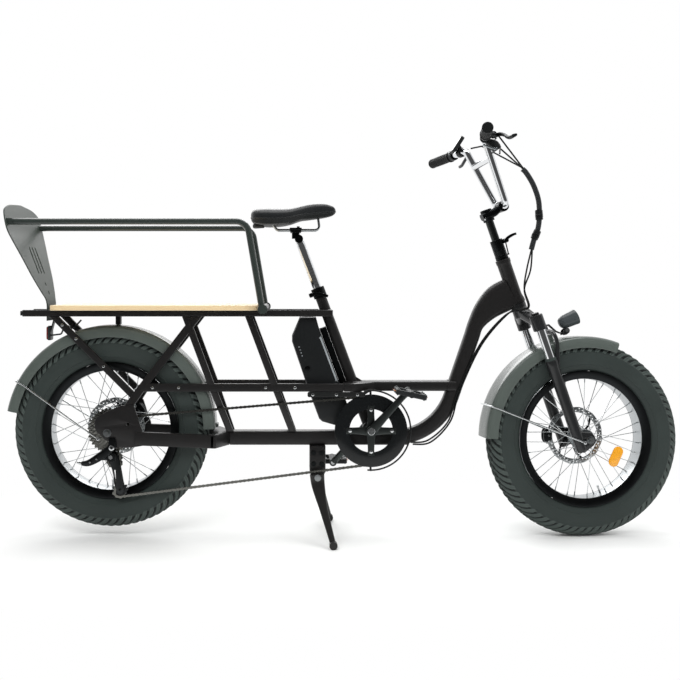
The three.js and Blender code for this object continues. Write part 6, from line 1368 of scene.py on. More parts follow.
def seat_collar():
    ring = lathe([(17.35, 0), (17.35, 14), (14.2, 14.2), (14.2, 20), (20.2, 20), (21, 19), (21, -10.5),
                  (20.2, -11.5),
                  (17.35, -11.5)], 72, closed=True)
    place = aimed(seat_point(collar_z), along_seat)
    parts = [at(ring, place)]
    for side in (1, -1):
        lug = blade(
            [seat_point(collar_z, 5, 18, side * 5.4), seat_point(collar_z, 5, 32, side * 5.4)],
            [(7.6, 13, 3), (7.6, 13, 6)],
            side_axis, 3,
        )
        parts.append(lug)
    groove = lathe([(21.3, 4), (21.3, 6), (20.4, 6), (20.4, 4)], 72, closed=True)
    parts.append(at(groove, place))
    return parts


def cam_lever(pin, points, sizes, cam_radius, cam_y, nut_y):
    """A quick release: a pin with a cam at one end, a knurled nut at the other, and a curved lever."""
    pin = Vector(pin)
    parts = [rod(pin + side_axis * cam_y[0], pin + side_axis * nut_y[1], 2.9, 24)]
    drum = [(0, 0), (cam_radius - 1, 0), (cam_radius, 1), (cam_radius, 7), (cam_radius - 1, 8), (0, 8)]
    parts.append(at(lathe(drum, 40), pin + side_axis * cam_y[0]))
    parts.append(rod(pin + side_axis * (cam_y[0] - 0.6), pin + side_axis * cam_y[0], 3.6, 20))
    for k in range(12):
        angle = full_turn * k / 12
        tooth = pin + Vector((math.cos(angle), 0, math.sin(angle))) * (nut_y[2] - 0.7)
        parts.append(rod(tooth + side_axis * nut_y[0], tooth + side_axis * nut_y[1], 1.1, 8))
    parts.append(rod(pin + side_axis * nut_y[0], pin + side_axis * nut_y[1], nut_y[2] - 0.6, 36))
    parts.append(blade([pin + Vector(p) for p in points], sizes, up, 6))
    return parts


seat_pin = seat_point(collar_z, 5, 25.5)
seat_lever_route = [(0, -18, 0), (9, -20.6, 4), (18.2, -24, 5.2), (36, -26.4, 1.6), (52, -27, -2.6)]
seat_lever_sizes = [(9, 4.4, 2), (11, 4.2, 2), (11, 4, 1.9), (10, 3.4, 1.6), (8, 2.6, 1.2)]
piece("seat_clamp", seat_collar(), black_anodised, "frame", "seat_collar", bevel=0.5)
piece("seat_cam_lever", cam_lever(seat_pin, seat_lever_route, seat_lever_sizes, 7, (-21, 0), (13, 17, 7)),
      black_anodised, "seat_lever", "seat_lever", bevel=0.3)


def seat_post():
    """A drawn tube with a swaged head, and rolled height marks every 10 mm."""
    top = (906 - collar_z) / math.cos(seat_lean) + 10
    wall = [(0, -120), (13, -120), (14, -118), (14, top - 16), (13.2, top - 11), (13.2, top - 2), (12.4, top),
            (0, top)]
    return [at(lathe(wall, 72), aimed(seat_point(collar_z), along_seat))]


def post_marks():
    parts = []
    for k in range(9):
        centre = seat_point(collar_z, 30 + 10 * k)
        reach = 0.42 if k % 5 == 0 else 0.24
        rings = []
        for t in range(9):
            angle = math.radians(-90) + reach * (t / 8 - 0.5) * 2
            out = seat_fore * math.cos(angle) + side_axis * math.sin(angle)
            spot = centre + out * 14.03
            rings.append([tuple(spot + along_seat * d) for d in (0.35, -0.35)] +
                         [tuple(spot - out * 0.4 + along_seat * d) for d in (-0.35, 0.35)])
        parts.append(skin(rings))
    return parts


piece("seat_post_tube", seat_post(), chrome_plate, "seat", "seatpost")
piece("seat_post_marks", post_marks(), black_anodised, "seat", "seatpost")

saddle_rail_z = 948
saddle_x = seat_x(saddle_rail_z)


def saddle_frame():
    """Two sprung steel rails under the saddle."""
    parts = []
    for side in (1, -1):
        points = [(69, 12, 42), (75, 22, 0), (-58, 22, 0), (-85, 32, 36)]
        route = rounded([(saddle_x + x, side * y, saddle_rail_z + z) for x, y, z in points], 14, 10)
        parts.append(tube(route, 3.5, 24))
    return parts


def rail_clamp():
    """The cradle: two halves with grooves for the rails, on a cross drum, drawn together by one bolt."""
    centre = seat_point(906, 16)
    parts = [at(lathe([(0, -16), (12, -16), (13, -15), (13, 15), (12, 16), (0, 16)], 56), centre)]
    for low, high, length in ((940.5, 947.2, 34), (948.8, 955.0, 38)):
        body = plate([(x + saddle_x, z) for x, z in rounded_box(length, high - low, 2, 4)], -30, 30, edge=1.5)
        parts.append(at(body, (0, 0, (low + high) / 2)))
    parts.append(bar((saddle_x, 0, 922), (saddle_x, 0, 942), 22, 24, 6))
    for side in (1, -1):
        parts += hex_bolt((saddle_x + 8, side * 9, 955), (saddle_x + 8, side * 9, 960), 5)
    return parts


piece("saddle_rail_wires", saddle_frame(), ground_steel, "seat", "saddle_rails")
piece("saddle_rail_clamp", rail_clamp(), black_anodised, "seat", "saddle_rails", bevel=0.4)

saddle_stations = [
    (-138, 40, 974, 998), (-134, 62, 968, 1006), (-124, 80, 962, 1011), (-92, 95, 957, 1013),
    (-52, 92, 958, 1012.4),
    (-17, 78, 964, 1014), (14, 56, 974, 1021), (45, 38, 977, 1028), (88, 26, 983, 1030), (112, 21, 990, 1024),
    (121, 15, 996, 1018), (124.4, 7, 1001, 1011),
]


def pad_section(half, low, high, tail, count=56):
    """The pad's cross-section: soft shoulders, a shallow hollow along the middle, and sides rolled under."""
    ring = []
    rise = high - low
    for k in range(count):
        angle = full_turn * k / count
        a, b = math.cos(angle), math.sin(angle)
        wide = half * math.copysign(abs(a) ** 0.62, a) if a else 0
        lift = math.copysign(abs(b) ** (0.62 if b > 0 else 0.8), b)
        z = low + rise * 0.42 + lift * rise * (0.58 if b > 0 else 0.2)
        if b > 0:
            z -= 3.2 * tail * math.exp(-(wide / (half * 0.16 + 3)) ** 2)
        ring.append((wide, z))
    return ring


def saddle_pad():
    rings = []
    for x, half, low, high in spline(saddle_stations, 5):
        tail = max(0.0, min(1.0, (60 - x) / 90)) * max(0.0, min(1.0, (x + 134) / 30))
        rings.append([(saddle_x + x, y, z) for y, z in pad_section(half, low, high, tail)])
    return [skin(rings)]


def saddle_base():
    """The moulded base under the pad: a shallow tray with a rim and a handle at the tail."""
    rings = []
    for x, half, low, high in spline(saddle_stations, 4):
        floor_z = low + (high - low) * 0.08
        brim = low + (high - low) * 0.36
        half = max(half - 1.4, 4)
        rings.append([
            (saddle_x + x * 0.992, y, z) for y, z in (
                (half, brim), (half * 0.94, floor_z + 2), (half * 0.8, floor_z), (-half * 0.8, floor_z),
                (-half * 0.94, floor_z + 2), (-half, brim),
            )
        ])
    handle = blade(
        [(saddle_x - 100, -30, 964), (saddle_x - 122, -22, 962), (saddle_x - 128, 0, 961),
         (saddle_x - 122, 22, 962),
         (saddle_x - 100, 30, 964)],
        [(14, 12, 5)] * 5, up, 6,
    )
    return [skin(rings), handle]


def saddle_piping():
    """A cord sewn into the seam round the pad."""
    edge = []
    for x, half, low, high in spline(saddle_stations, 6):
        edge.append((saddle_x + x, half + 0.2, low + (high - low) * 0.42))
    loop = edge + [(x, -y, z) for x, y, z in reversed(edge)]
    return tube([Vector(p) for p in loop] + [Vector(loop[0])], 1.5, 10)


pad = piece("saddle_pad", saddle_pad(), cover_vinyl, "seat", "saddle", levels=1)
piece("saddle_base", saddle_base(), plug_plastic, "seat", "saddle", bevel=1.2, sharp=30)
piece("saddle_piping", [saddle_piping()], cover_vinyl, "seat", "saddle")

# Battery: a two-part moulded case that slides up and down on a slotted aluminium rail behind the seat tube.
# A grey trim runs up its front edge, a key lock sits low on the right, and a grip folds on top.

# Textured ABS: the case is a matt black with a fine grain, the trim a light grey.
case_plastic = moulded("textured_abs", "17191a", 0.4, 0.9, 0.1, 0.06)
trim_plastic = moulded("grey_abs", "8c9194", 0.45, 0.9, 0.08, 0.05)
case_outline = [
    (-134.7, 679.5), (-85.6, 679.5), (-76.4, 645.8), (-18.1, 490), (-4, 452), (24, 376), (20, 366),
    (-14, 350), (-24, 345), (-66, 357), (-76, 366), (-107, 449), (-119.4, 486), (-159.3, 603), (-159.3, 621),
]


case_edges = list(zip(case_outline, case_outline[1:] + case_outline[:1]))
case_turn = math.copysign(1, sum(a[0] * b[1] - b[0] * a[1] for a, b in case_edges))


def shifted(outline, amount):
    """An outline drawn in by an amount, each corner moved along the line between its two edges."""
    moved = []
    for before, here, after in zip(outline[-1:] + outline[:-1], outline, outline[1:] + outline[:1]):
        first = (Vector(here) - Vector(before)).normalized()
        second = (Vector(after) - Vector(here)).normalized()
        normal = Vector((first.y + second.y, -first.x - second.x)).normalized()
        reach = amount / max(normal.dot(Vector((first.y, -first.x))), 0.4)
        moved.append(tuple(Vector(here) - normal * reach * case_turn))
    return moved


def battery_case():
    body = plate(case_outline, -45, 45, edge=9)
    seam = plate(shifted(case_outline, -0.25), -0.9, 0.9, edge=0.2)
    grip = blade([(-128, 0, 680.5), (-119, 0, 683.5), (-101, 0, 683.5), (-92, 0, 680.5)], [(46, 4, 1.9)] * 4,
                 side_axis, 5)
    return [body, seam, grip]


def battery_trim():
    """The light trim wraps the case's front edge between its two end caps."""
    front = []
    for z, back in ((640, 38.9), (492, 38.9), (492, 52), (640, 52)):
        spot = seat_point(z, 0, back)
        front.append((spot.x, spot.z))
    return [plate(front, -45.3, 45.3, edge=9.1)]


def key_lock():
    barrel = [(0, -48), (7.4, -48), (8.6, -47.2), (9, -45.5), (9, -43), (0, -43)]
    slot_cover = bar((-112, -48.3, 514.5), (-112, -48.3, 525.5), 0.8, 2.2, 0.3)
    return [at(lathe(barrel, 48), Vector((-112, 0, 520))), slot_cover]


def charge_marks():
    """Four small charge lamps in a row above the lock."""
    return [at(disc(1.7, -45.6, -44.6, 16), Vector((-128 - 3.2 * k, 0, 560 + 9 * k))) for k in range(4)]


piece("battery_case", battery_case(), case_plastic, "battery", "battery", bevel=2.4,
      sharp=24)
piece("battery_trim", battery_trim(), trim_plastic, "battery", "battery", bevel=1.2,
      sharp=24)
piece("battery_lock", key_lock(), black_anodised, "battery", "battery", bevel=0.3)
piece("battery_lamps", charge_marks(), trim_plastic, "battery", "battery")


def battery_rail():
    """An extruded channel with three keyhole slots, screwed to the seat tube."""
    middle = 17 + 0.3 + 21 / 2
    parts = []
    for side in (1, -1):
        parts.append(bar(seat_point(484, 0, middle, side * 13), seat_point(655, 0, middle, side * 13), 8,
                         20.6, 1.5))
    for low, high in ((484, 494), (520, 548), (574, 600), (626, 655)):
        parts.append(bar(seat_point(low, 0, middle - 2), seat_point(high, 0, middle - 2), 20, 15, 1))
    for z in (508, 561, 613, 640):
        parts.append(rod(seat_point(z, 0, 31), seat_point(z, 0, 36), 4.5, 24))
    return parts


piece("battery_rail_channel", battery_rail(), black_anodised, "frame", "battery_rail",
      bevel=0.3)

# Centre stand: forged legs turn on an axle through a bracket block bolted under the lower tube.
# Each leg splays to a short foot tube with a rubber sole, and a coil spring holds the stand up or down.


def stand_bracket():
    plan = [(x - 80.5, y) for x, y in rounded_box(49, 92, 6, 5)]
    parts = [plate(plan, 201, 281.7, edge=1.5, plane="plan")]
    for side in (1, -1):
        ear = [(-105, 214), (-105, 203), (-93.6, 183), (-68.4, 183), (-56, 203), (-56, 214)]
        parts.append(plate(ear, side * 40 - 4, side * 40 + 4, edge=1))
    parts.append(bar((-100, 0, 279.5), (-100, 0, 281.7), 30, 12, 2))
    return parts


def stand_bolts():
    parts = []
    for side in (1, -1):
        for x in (-93, -68):
            parts += hex_bolt((x, side * 46.0, 262), (x, side * 50.5, 262), 6.2)
            parts += hex_bolt((x, side * 46.0, 228), (x, side * 50.5, 228), 6.2)
    return parts


def stand_leg(side):
    route = [(-83, side * 77, 202), (-79, side * 77, 166), (-65, side * 113, 108), (-50.5, side * 146, 58),
             (-37, side * 177, 12)]
    sizes = [(17, 44, 6), (17, 40, 6), (16, 26, 6), (15.5, 20.5, 5.4), (15, 17, 5)]
    return blade(route, sizes, side_axis, 5)


def stand_legs():
    parts = [rod((-81, -81, 192), (-81, 81, 192), 9, 40)]
    for side in (1, -1):
        parts.append(stand_leg(side))
        parts.append(at(lathe([(0, -11), (11.4, -11), (12, -10.4), (12, 10.4), (11.4, 11), (0, 11)], 40),
                        Vector((-37, side * 177, 12))))
    return parts


def axle_nuts():
    """Plated nuts with their washers that close the stand's axle outside the legs."""
    parts = []
    for side in (1, -1):
        parts.append(rod((-81, side * 84.4, 192), (-81, side * 85.4, 192), 9.4, 32))
        parts += hex_bolt((-81, side * 84.6, 192), (-81, side * 88, 192), 8)
    return parts


def stand_spring():
    """Two coil springs beside the bracket's ears. They turn with the legs."""
    parts = []
    for side in (1, -1):
        start, end = Vector((-99, side * 51.5, 205)), Vector((-96, side * 51.5, 168))
        axis = (end - start).normalized()
        first = axis.orthogonal().normalized()
        second = axis.cross(first)
        run = (end - start).length
        coil = []
        for k in range(121):
            angle = full_turn * 10 * k / 120
            coil.append(start + axis * (run * k / 120) + (first * math.cos(angle) + second * math.sin(angle)) * 3.6)
        parts.append(tube(coil, 1, 8))
    return parts


piece("stand_bracket_block", stand_bracket(), frame_coat, "frame", "kickstand_bracket",
      bevel=0.6)
piece("stand_bracket_bolts", stand_bolts(), black_anodised, "frame", "kickstand_bracket")
piece("stand_leg_forgings", stand_legs(), frame_coat, "kickstand", "kickstand", bevel=0.5,
      sharp=40)
piece("stand_axle_nuts", axle_nuts(), ground_steel, "kickstand", "kickstand")
piece("stand_springs", stand_spring(), ground_steel, "kickstand", "kickstand")

# Drivetrain: a forged crankset with one chainring and a guard ring, a stamped cassette, and a sprung
# derailleur that holds the chain tight. Cranks and chainring turn together on one ground spindle.

chain_y = -62
crank_length = 165
link_pitch = 12.7
crank_centre = Vector((crank_x, 0, crank_z))
on_crank = Matrix.Translation(crank_centre)
# Hard anodising is dark grey, the guard's polycarbonate glossy black, nickel plate warm and bright, and
# blackened steel dark with a dull gleam.
hard_anodised = stainless("hard_anodised_aluminium", "4a4e4d", 0.36, 0.2)
gloss_guard = moulded("gloss_polycarbonate", "121415", 0.18, 2.4, 0.02, 0.04)
nickel_steel = stainless("nickel_plated_steel", "7f7f7a", 0.26, 0.3)
cage_steel = stainless("blackened_steel", "3a3c3d", 0.34, 0.3)


def pitch_radius(teeth):
    return link_pitch / 2 / math.sin(math.pi / teeth)


def crank_angle(side):
    """The cranks rest forward and up on the right, back and down on the left."""
    return math.radians(48) + (math.pi if side > 0 else 0)


def crank_root(side):
    """How far out the arm's middle is at the spindle."""
    return -78.5 if side < 0 else 76


def toothed_disc(teeth, y, half, inner, phase=0.0, steps=6):
    """A sprocket blank with rounded roots and tall narrow teeth."""
    pitch = pitch_radius(teeth)
    outline = []
    for k in range(teeth):
        for i in range(steps):
            share = i / steps
            lift = math.cos(full_turn * share)
            radius = pitch + (2.7 if lift > 0
                              else 3.9) * math.copysign(abs(lift) ** (1.6 if lift > 0 else 0.7), lift)
            angle = phase + full_turn * (k + 0.5 + share) / teeth
            outline.append((radius * math.cos(angle), radius * math.sin(angle)))
    return plate(outline, y - half, y + half, [circle(inner, 72)], edge=0.25)


def crank_blade(side):
    """A forged arm, deep at the spindle, hollowed on its face and rounded at the pedal eye."""
    root, angle = crank_root(side), crank_angle(side)
    along = Vector((math.cos(angle), 0, math.sin(angle)))
    route, sizes = [], []
    for t, wide, deep in ((0, 30, 12), (0.16, 27, 12.4), (0.5, 21.5, 12), (0.82, 20, 11.6), (1, 23, 12)):
        route.append(along * (crank_length * t) + side_axis * (root + side * 6.5 * t))
        sizes.append((deep, wide, 4.6))
    parts = [blade(route, sizes, side_axis, 6)]
    boss = [(0, -6.5), (14.6, -6.5), (15.5, -5.6), (15.5, 5.6), (14.6, 6.5), (0, 6.5)]
    eye = [(7.4, -6.5), (11.2, -6.5), (12, -5.7), (12, 5.7), (11.2, 6.5), (7.4, 6.5)]
    parts.append(at(lathe(boss, 56), side_axis * root))
    parts.append(at(lathe(eye, 48, closed=True), along * crank_length + side_axis * (root + side * 6.5)))
    return parts


def crank_cap(side):
    """The extractor thread's dust cap with a hexagon socket."""
    lid = [(0, 0), (11, 0), (11, 1.4), (10, 2.2), (5.2, 2.2), (5.2, 0.6), (0, 0.6)]
    return at(turn(lathe(lid, 40), "X", 180 if side < 0 else 0), side_axis * (crank_root(side) + side * 6.4))


def spider():
    """Four arms from the spindle, bolted through the chainring and the guard."""
    arm = blade(
        [(0, -67.7, 0), (36, -67.7, 0), (62, -67.2, 0), (76, -67.2, 0)],
        [(4.6, 30, 2), (5, 22, 2), (5, 20, 2), (5, 22, 2)], side_axis, 5,
    )
    return round_axle([arm], 4)


def ring_bolts():
    sleeve = at(lathe([(0, -71.2), (4.2, -71.2), (5.2, -70.6), (5.2, -69.2), (3.6, -69.2), (3.6, -61.8),
                       (0, -61.8)], 32), (64, 0, 0))
    return [round_axle([sleeve], 4)]


def guard_ring():
    """A flat ring outside the teeth that keeps trousers off the chain."""
    rim = [(66, -69.0), (68, -69.2), (109.6, -69.2), (111, -68.4), (111, -67), (109.6, -66.2), (68, -66.2),
           (66, -66.4)]
    return [lathe(rim, 128, closed=True)]


def chainring():
    return [toothed_disc(52, chain_y, 1, 88)]


def on_spindle(parts):
    return [at(part, on_crank) for part in parts]


def bottom_spindle():
    shaft = [(0, -72), (11, -72), (11, 69), (0, 69)]
    cup = [(11.6, 0), (17.5, 0), (19.4, 1.2), (19.4, 3.2), (15, 4.4), (11.6, 4.4)]
    return [lathe(shaft, 48)], [at(lathe(cup, 56, closed=True), (0, 36.5, 0)),
                                at(turn(lathe(cup, 56, closed=True), "X", 180), (0, -36.5, 0))]


shaft_parts, cup_parts = bottom_spindle()
piece("crank_arm_right", on_spindle(crank_blade(-1)), hard_anodised, "crank", "crankset",
      bevel=0.4, sharp=40)
piece("crank_arm_left", on_spindle(crank_blade(1)), hard_anodised, "crank", "crank_left",
      bevel=0.4, sharp=40)
piece("crank_caps", on_spindle([crank_cap(-1), crank_cap(1)]), drawn_steel, "crank", "crankset")
piece("crank_spider", on_spindle([spider()]), hard_anodised, "crank", "crankset",
      bevel=0.4)
piece("crank_ring_bolts", on_spindle(ring_bolts()), drawn_steel, "crank", "crankset")
piece("crank_guard_ring", on_spindle(guard_ring()), gloss_guard, "crank", "crankset",
      sharp=30)
piece("crank_chainring", on_spindle(chainring()), nickel_steel, "crank", "crankset")
piece("crank_spindle", on_spindle(shaft_parts), ground_steel, "crank", "crankset")
piece("bottom_bracket_cups", on_spindle(cup_parts), black_anodised, "frame", "frame_front")

# Pedals: moulded platforms with pressed-in steel studs and amber reflectors clipped to both ends.
# Each turns on a plain bearing round a steel axle, which is screwed into its crank.

# Glass-filled nylon: a rough dark grey. The reflectors are clear amber acrylic over ribs.
pedal_resin = moulded("glass_filled_nylon", "1e2021", 0.5, 1.0, 0.14, 0.08)
amber_lens = ribbed_lens("amber_acrylic", "e07a12", 0.7)


def pedal_body():
    """A level frame with two windows and a thick core round the axle."""
    windows = []
    for centre in (-22, 22):
        windows.append([(centre + a, b) for a, b in rounded_box(22, 70, 4, 5)])
    parts = [plate(rounded_box(92, 96, 10, 8), -7.5, 7.5, windows, edge=1.6, plane="plan")]
    parts.append(rod((0, -47, 0), (0, 47, 0), 9.6, 32))
    for x in (-22, 22):
        parts.append(bar((x, -36, 0), (x, 36, 0), 4, 9, 1.6))
    return parts


def pedal_studs():
    stud = standing([(0, -10.5), (2.2, -10.5), (2.6, -10), (2.6, 10), (2.2, 10.5), (0, 10.5)], 16)
    return [at(stud, (x, y, 0)) for x in (-39.5, 39.5) for y in (-33.6, 0, 33.6)]


def pedal_reflectors():
    return [bar((x, -22, 0), (x, 22, 0), 1.6, 9, 0.6) for x in (-46.2, 46.2)]


def pedal_axle(side):
    run = [(0, 0), (7, 0), (7, 13), (9.5, 13.4), (9.5, 18), (7.2, 18.4), (7.2, 24), (0, 24)]
    shaft = turn(lathe(run, 36), "X", 0 if side > 0 else 180)
    return at(shaft, (0, -side * 66, 0))


for side, hand in hands:
    angle = crank_angle(side)
    middle_y = crank_root(side) + side * 67
    end = Vector((crank_length * math.cos(angle), middle_y, crank_length * math.sin(angle)))
    tilt = Matrix.Rotation(math.radians(0 if side > 0 else 12), 4, "Y")
    place = Matrix.Translation(crank_centre + end) @ tilt
    body = node = "pedal_" + hand
    piece("pedal_platform_" + hand, pedal_body(), pedal_resin, body, node, place, bevel=0.8)
    piece("pedal_studs_" + hand, pedal_studs(), ground_steel, body, node, place)
    piece("pedal_reflectors_" + hand, pedal_reflectors(), amber_lens, body, node, place,
          bevel=0.3)
    piece("pedal_axle_" + hand, [pedal_axle(side)], drawn_steel, body, node, place)

# Cassette and derailleur: eight stamped steel sprockets on a splined carrier, and a cast parallelogram
# body hung from the right dropout. Its sprung cage carries two jockey pulleys between steel plates.

cassette_teeth = [34, 30, 26, 23, 20, 17, 14, 11]
first_cog_y, cog_gap = -42.8, 4.8
pulley_teeth = 11


def cassette_parts():
    parts = []
    for i, teeth in enumerate(cassette_teeth):
        y = first_cog_y - cog_gap * i
        inner = 15.5 if teeth < 20 else 20
        parts.append(toothed_disc(teeth, y, 0.95, inner, phase=0.11 * i))
        if teeth >= 23:
            tip = pitch_radius(teeth) - 7
            parts.append(plate([(14, -5), (tip, -3), (tip, 3), (14, 5)], y - 0.9, y + 0.9, edge=0.2))
    return parts


def cassette_core():
    y = first_cog_y - cog_gap * 7
    lock = [(12.2, y - 2), (17.4, y - 2), (18, y - 1.4), (18, y - 0.9), (12.2, y - 0.9)]
    carrier = [(6.8, y), (15.6, y), (15.6, -41), (6.8, -41)]
    return [lathe(carrier, 48, closed=True), lathe(lock, 56, closed=True)]


piece("cassette_sprockets", cassette_parts(), nickel_steel, "cassette", "cassette",
      on_rear_axle)
piece("cassette_carrier", cassette_core(), cage_steel, "cassette", "cassette", on_rear_axle)

guide = Vector((-700, chain_y, 243))
tension = Vector((-684, chain_y, 153))
cage_pivot = Vector((-708, 0, 256))


def jockey(phase):
    spokes = [(9 * math.cos(full_turn * k / 6), 9 * math.sin(full_turn * k / 6)) for k in range(6)]
    pitch = pitch_radius(pulley_teeth)
    outline = []
    for k in range(pulley_teeth * 6):
        share = (k % 6) / 6
        lift = math.cos(full_turn * share)
        radius = pitch + (2.3 if lift > 0 else 3.4) * lift
        angle = phase + full_turn * (k // 6 + share) / pulley_teeth
        outline.append((radius * math.cos(angle), radius * math.sin(angle)))
    holes = [[(x * 1.35 + a, z * 1.35 + b) for a, b in circle(1.8, 16)] for x,
             z in spokes] + [circle(4.6, 32)]
    return [plate(outline, -1, 1, holes, edge=0.3), disc(8, -2.5, 2.5, 40, 4.3)]


def jockey_bolt(centre):
    return at(rod((0, -9.6, 0), (0, 7.8, 0), 4, 24), centre)


for name, centre, phase in (("upper", guide, 0.28), ("lower", tension, 0.0)):
    piece("jockey_" + name, jockey(phase), pedal_resin, "pulley_" + name, "pulley_" + name,
          Matrix.Translation(centre))


def cage_plates():
    outline = [(-722, 262), (-716, 268), (-706, 269), (-692, 258), (-687, 246), (-672, 160), (-671, 152),
               (-675, 143),
               (-683, 140), (-692, 144), (-695, 152), (-708, 215), (-716, 240), (-722, 254)]
    parts = []
    for low, high in ((-56, -53.8), (-70.2, -68)):
        window = [(-702, 170), (-695, 170), (-697, 214), (-705, 214)]
        parts.append(plate(outline, low, high, [window], edge=0.5))
    for centre in (guide, tension):
        parts.append(jockey_bolt(centre))
        parts.append(at(button_bolt((0, -8.1, 0), (0, -11, 0), 4.6), centre))
    parts.append(rod((-708, -84.2, 256), (-708, -68.2, 256), 5, 32))
    return parts


def derailleur_body():
    """Hanger plate, pivot boss, swept outer link and the drum that holds the cage's spring."""
    parts = []
    hanger = [(-712, 316), (-694, 316), (-690, 300), (-690, 286), (-700, 276), (-714, 280)]
    parts.append(plate(hanger, -100.8, -95.8, edge=0.8))
    parts.append(blade(
        [(-703, -98, 286), (-735, -96, 262), (-772, -92, 240), (-796, -84, 236)],
        [(15, 22, 6), (17, 25, 7), (16, 20, 7), (12, 13, 5)], side_axis, 6,
    ))
    parts.append(blade([(-744, -86, 258), (-726, -86, 258), (-710, -84.6, 256)],
                       [(12, 22, 5), (13, 24, 6), (12, 24, 5)], side_axis, 5))
    drum = [(5.4, -92.5), (13.4, -92.5), (15, -91.2), (15, -77), (14, -75.8), (5.4, -75.8)]
    parts.append(at(lathe(drum, 64, closed=True), cage_pivot))
    return parts


def derailleur_fittings():
    parts = [button_bolt((-703, -104.6, 286), (-703, -107.8, 286), 8)]
    parts.append(rod((-703, -105, 286), (-703, -97, 286), 7, 32))
    parts.append(rod((-708, -94.2, 256), (-708, -92.4, 256), 6.4, 6))
    for x, z in ((-748, 252), (-768, 243)):
        parts.append(rod((x, -106.4, z), (x, -104.2, z), 3, 24))
    barrel = [(-796, -84, 236), (-806, -84, 238), (-812, -84, 239)]
    parts.append(rod(barrel[0], barrel[1], 4.6, 24))
    parts.append(rod(barrel[1], barrel[2], 3.2, 20))
    return parts


piece("derailleur_cage_plates", cage_plates(), cage_steel, "derailleur_cage", "derailleur_cage",
      bevel=0.3)
piece("derailleur_casting", derailleur_body(), black_anodised, "frame", "derailleur",
      bevel=0.5)
piece("derailleur_bolts", derailleur_fittings(), drawn_steel, "frame", "derailleur",
      bevel=0.2)

# Chain: roller chain at 12.7 mm pitch, run tight over the chainring, round both pulleys and the sprocket.
# Links are stamped waisted plates, riveted in pairs on rollers, inner and outer by turns.

# Each wheel the chain goes round: its middle, its pitch radius and the sense of the chain round it.
chain_stops = [
    (rear_axle, pitch_radius(20), -1), (crank_centre, pitch_radius(52), -1),
    (Vector((-684, 0, 153)), pitch_radius(pulley_teeth), -1),
    (Vector((-700, 0, 243)), pitch_radius(pulley_teeth), 1),
]


def tangent_run(first, second):
    """The straight run between two pitch circles, each followed in its own sense."""
    (p, r, way), (q, s, way_next) = first, second
    gap = q - p
    distance = math.hypot(gap.x, gap.z)
    bearing = math.atan2(gap.z, gap.x)
    lift = math.asin((way_next * s - way * r) / distance)
    normal = bearing + lift - math.pi / 2
    out = Vector((math.cos(normal), 0, math.sin(normal)))
    return p + out * (r * way), q + out * (s * way_next)


def chain_route():
    """Points along the pitch line, close enough to be cut into whole links."""
    runs = [tangent_run(chain_stops[i], chain_stops[(i + 1) % 4]) for i in range(4)]
    route = []
    for i, (leave, arrive) in enumerate(runs):
        route += [leave.lerp(arrive, k / 40) for k in range(40)]
        centre, radius, way = chain_stops[(i + 1) % 4]
        depart = runs[(i + 1) % 4][0]
        start = math.atan2(arrive.z - centre.z, arrive.x - centre.x)
        sweep = (math.atan2(depart.z - centre.z, depart.x - centre.x) - start) * way % full_turn * way
        route += [
            centre + Vector((math.cos(start + sweep * k / 24), 0, math.sin(start + sweep * k / 24))) * radius
            for k in range(24)
        ]
    return route


def chain_tree():
    """Geometry nodes: a link on every pitch of the route, turned along it, inner and outer by turns."""
    tree = bpy.data.node_groups.new("chain_links", "GeometryNodeTree")
    for name, kind in (("Geometry", "Geometry"), ("Outer", "Object"), ("Inner", "Object"), ("Count", "Int"),
                       ("Material", "Material")):
        tree.interface.new_socket(name, in_out="INPUT", socket_type="NodeSocket" + kind)
    tree.interface.new_socket("Geometry", in_out="OUTPUT", socket_type="NodeSocketGeometry")
    given = add(tree, "NodeGroupInput")
    path = add(tree, "GeometryNodeMeshToCurve", {"Mesh": given.outputs["Geometry"]})
    points = add(tree, "GeometryNodeCurveToPoints",
                 {"Curve": path.outputs[0], "Count": given.outputs["Count"]}, mode="COUNT")
    aim = add(tree, "FunctionNodeAxesToRotation",
              {"Primary Axis": points.outputs["Tangent"], "Secondary Axis": (0, 1, 0)},
              primary_axis="X", secondary_axis="Y")
    index = add(tree, "GeometryNodeInputIndex")
    odd = add(tree, "ShaderNodeMath", {0: index.outputs[0], 1: 2.0}, operation="MODULO")
    layers = []
    for name in ("Outer", "Inner"):
        info = add(tree, "GeometryNodeObjectInfo", {"Object": given.outputs[name]})
        pick = odd.outputs[0]
        if name == "Outer":
            pick = add(tree, "ShaderNodeMath", {0: 1.0, 1: odd.outputs[0]}, operation="SUBTRACT").outputs[0]
        layers.append(add(tree, "GeometryNodeInstanceOnPoints", {
            "Points": points.outputs["Points"], "Selection": pick, "Instance": info.outputs["Geometry"],
            "Rotation": aim.outputs[0]}))
    both = add(tree, "GeometryNodeJoinGeometry")
    for links in layers:
        tree.links.new(links.outputs[0], both.inputs[0])
    solid = add(tree, "GeometryNodeRealizeInstances", {"Geometry": both.outputs[0]})
    dressed = add(tree, "GeometryNodeSetMaterial",
                  {"Geometry": solid.outputs[0], "Material": given.outputs["Material"]})
    add(tree, "NodeGroupOutput", {"Geometry": dressed.outputs[0]})
    return tree


def link_plate(low, high):
    """A waisted plate between two pins one pitch apart."""
    outline = []
    for middle, first, waist in ((link_pitch / 2, -118, 3.0), (-link_pitch / 2, 62, -3.0)):
        for k in range(9):
            angle = math.radians(first + 236 * k / 8)
            outline.append((middle + 4.1 * math.cos(angle), 4.1 * math.sin(angle)))
        outline.append((0, waist))
    return skin([[(x, y, z) for x, z in outline] for y in (low, high)])


def link_object(name, parts):
    built = built_from(parts)
    mesh = bpy.data.meshes.new(name)
    built.to_mesh(mesh)
    built.free()
    return bpy.data.objects.new(name, mesh)


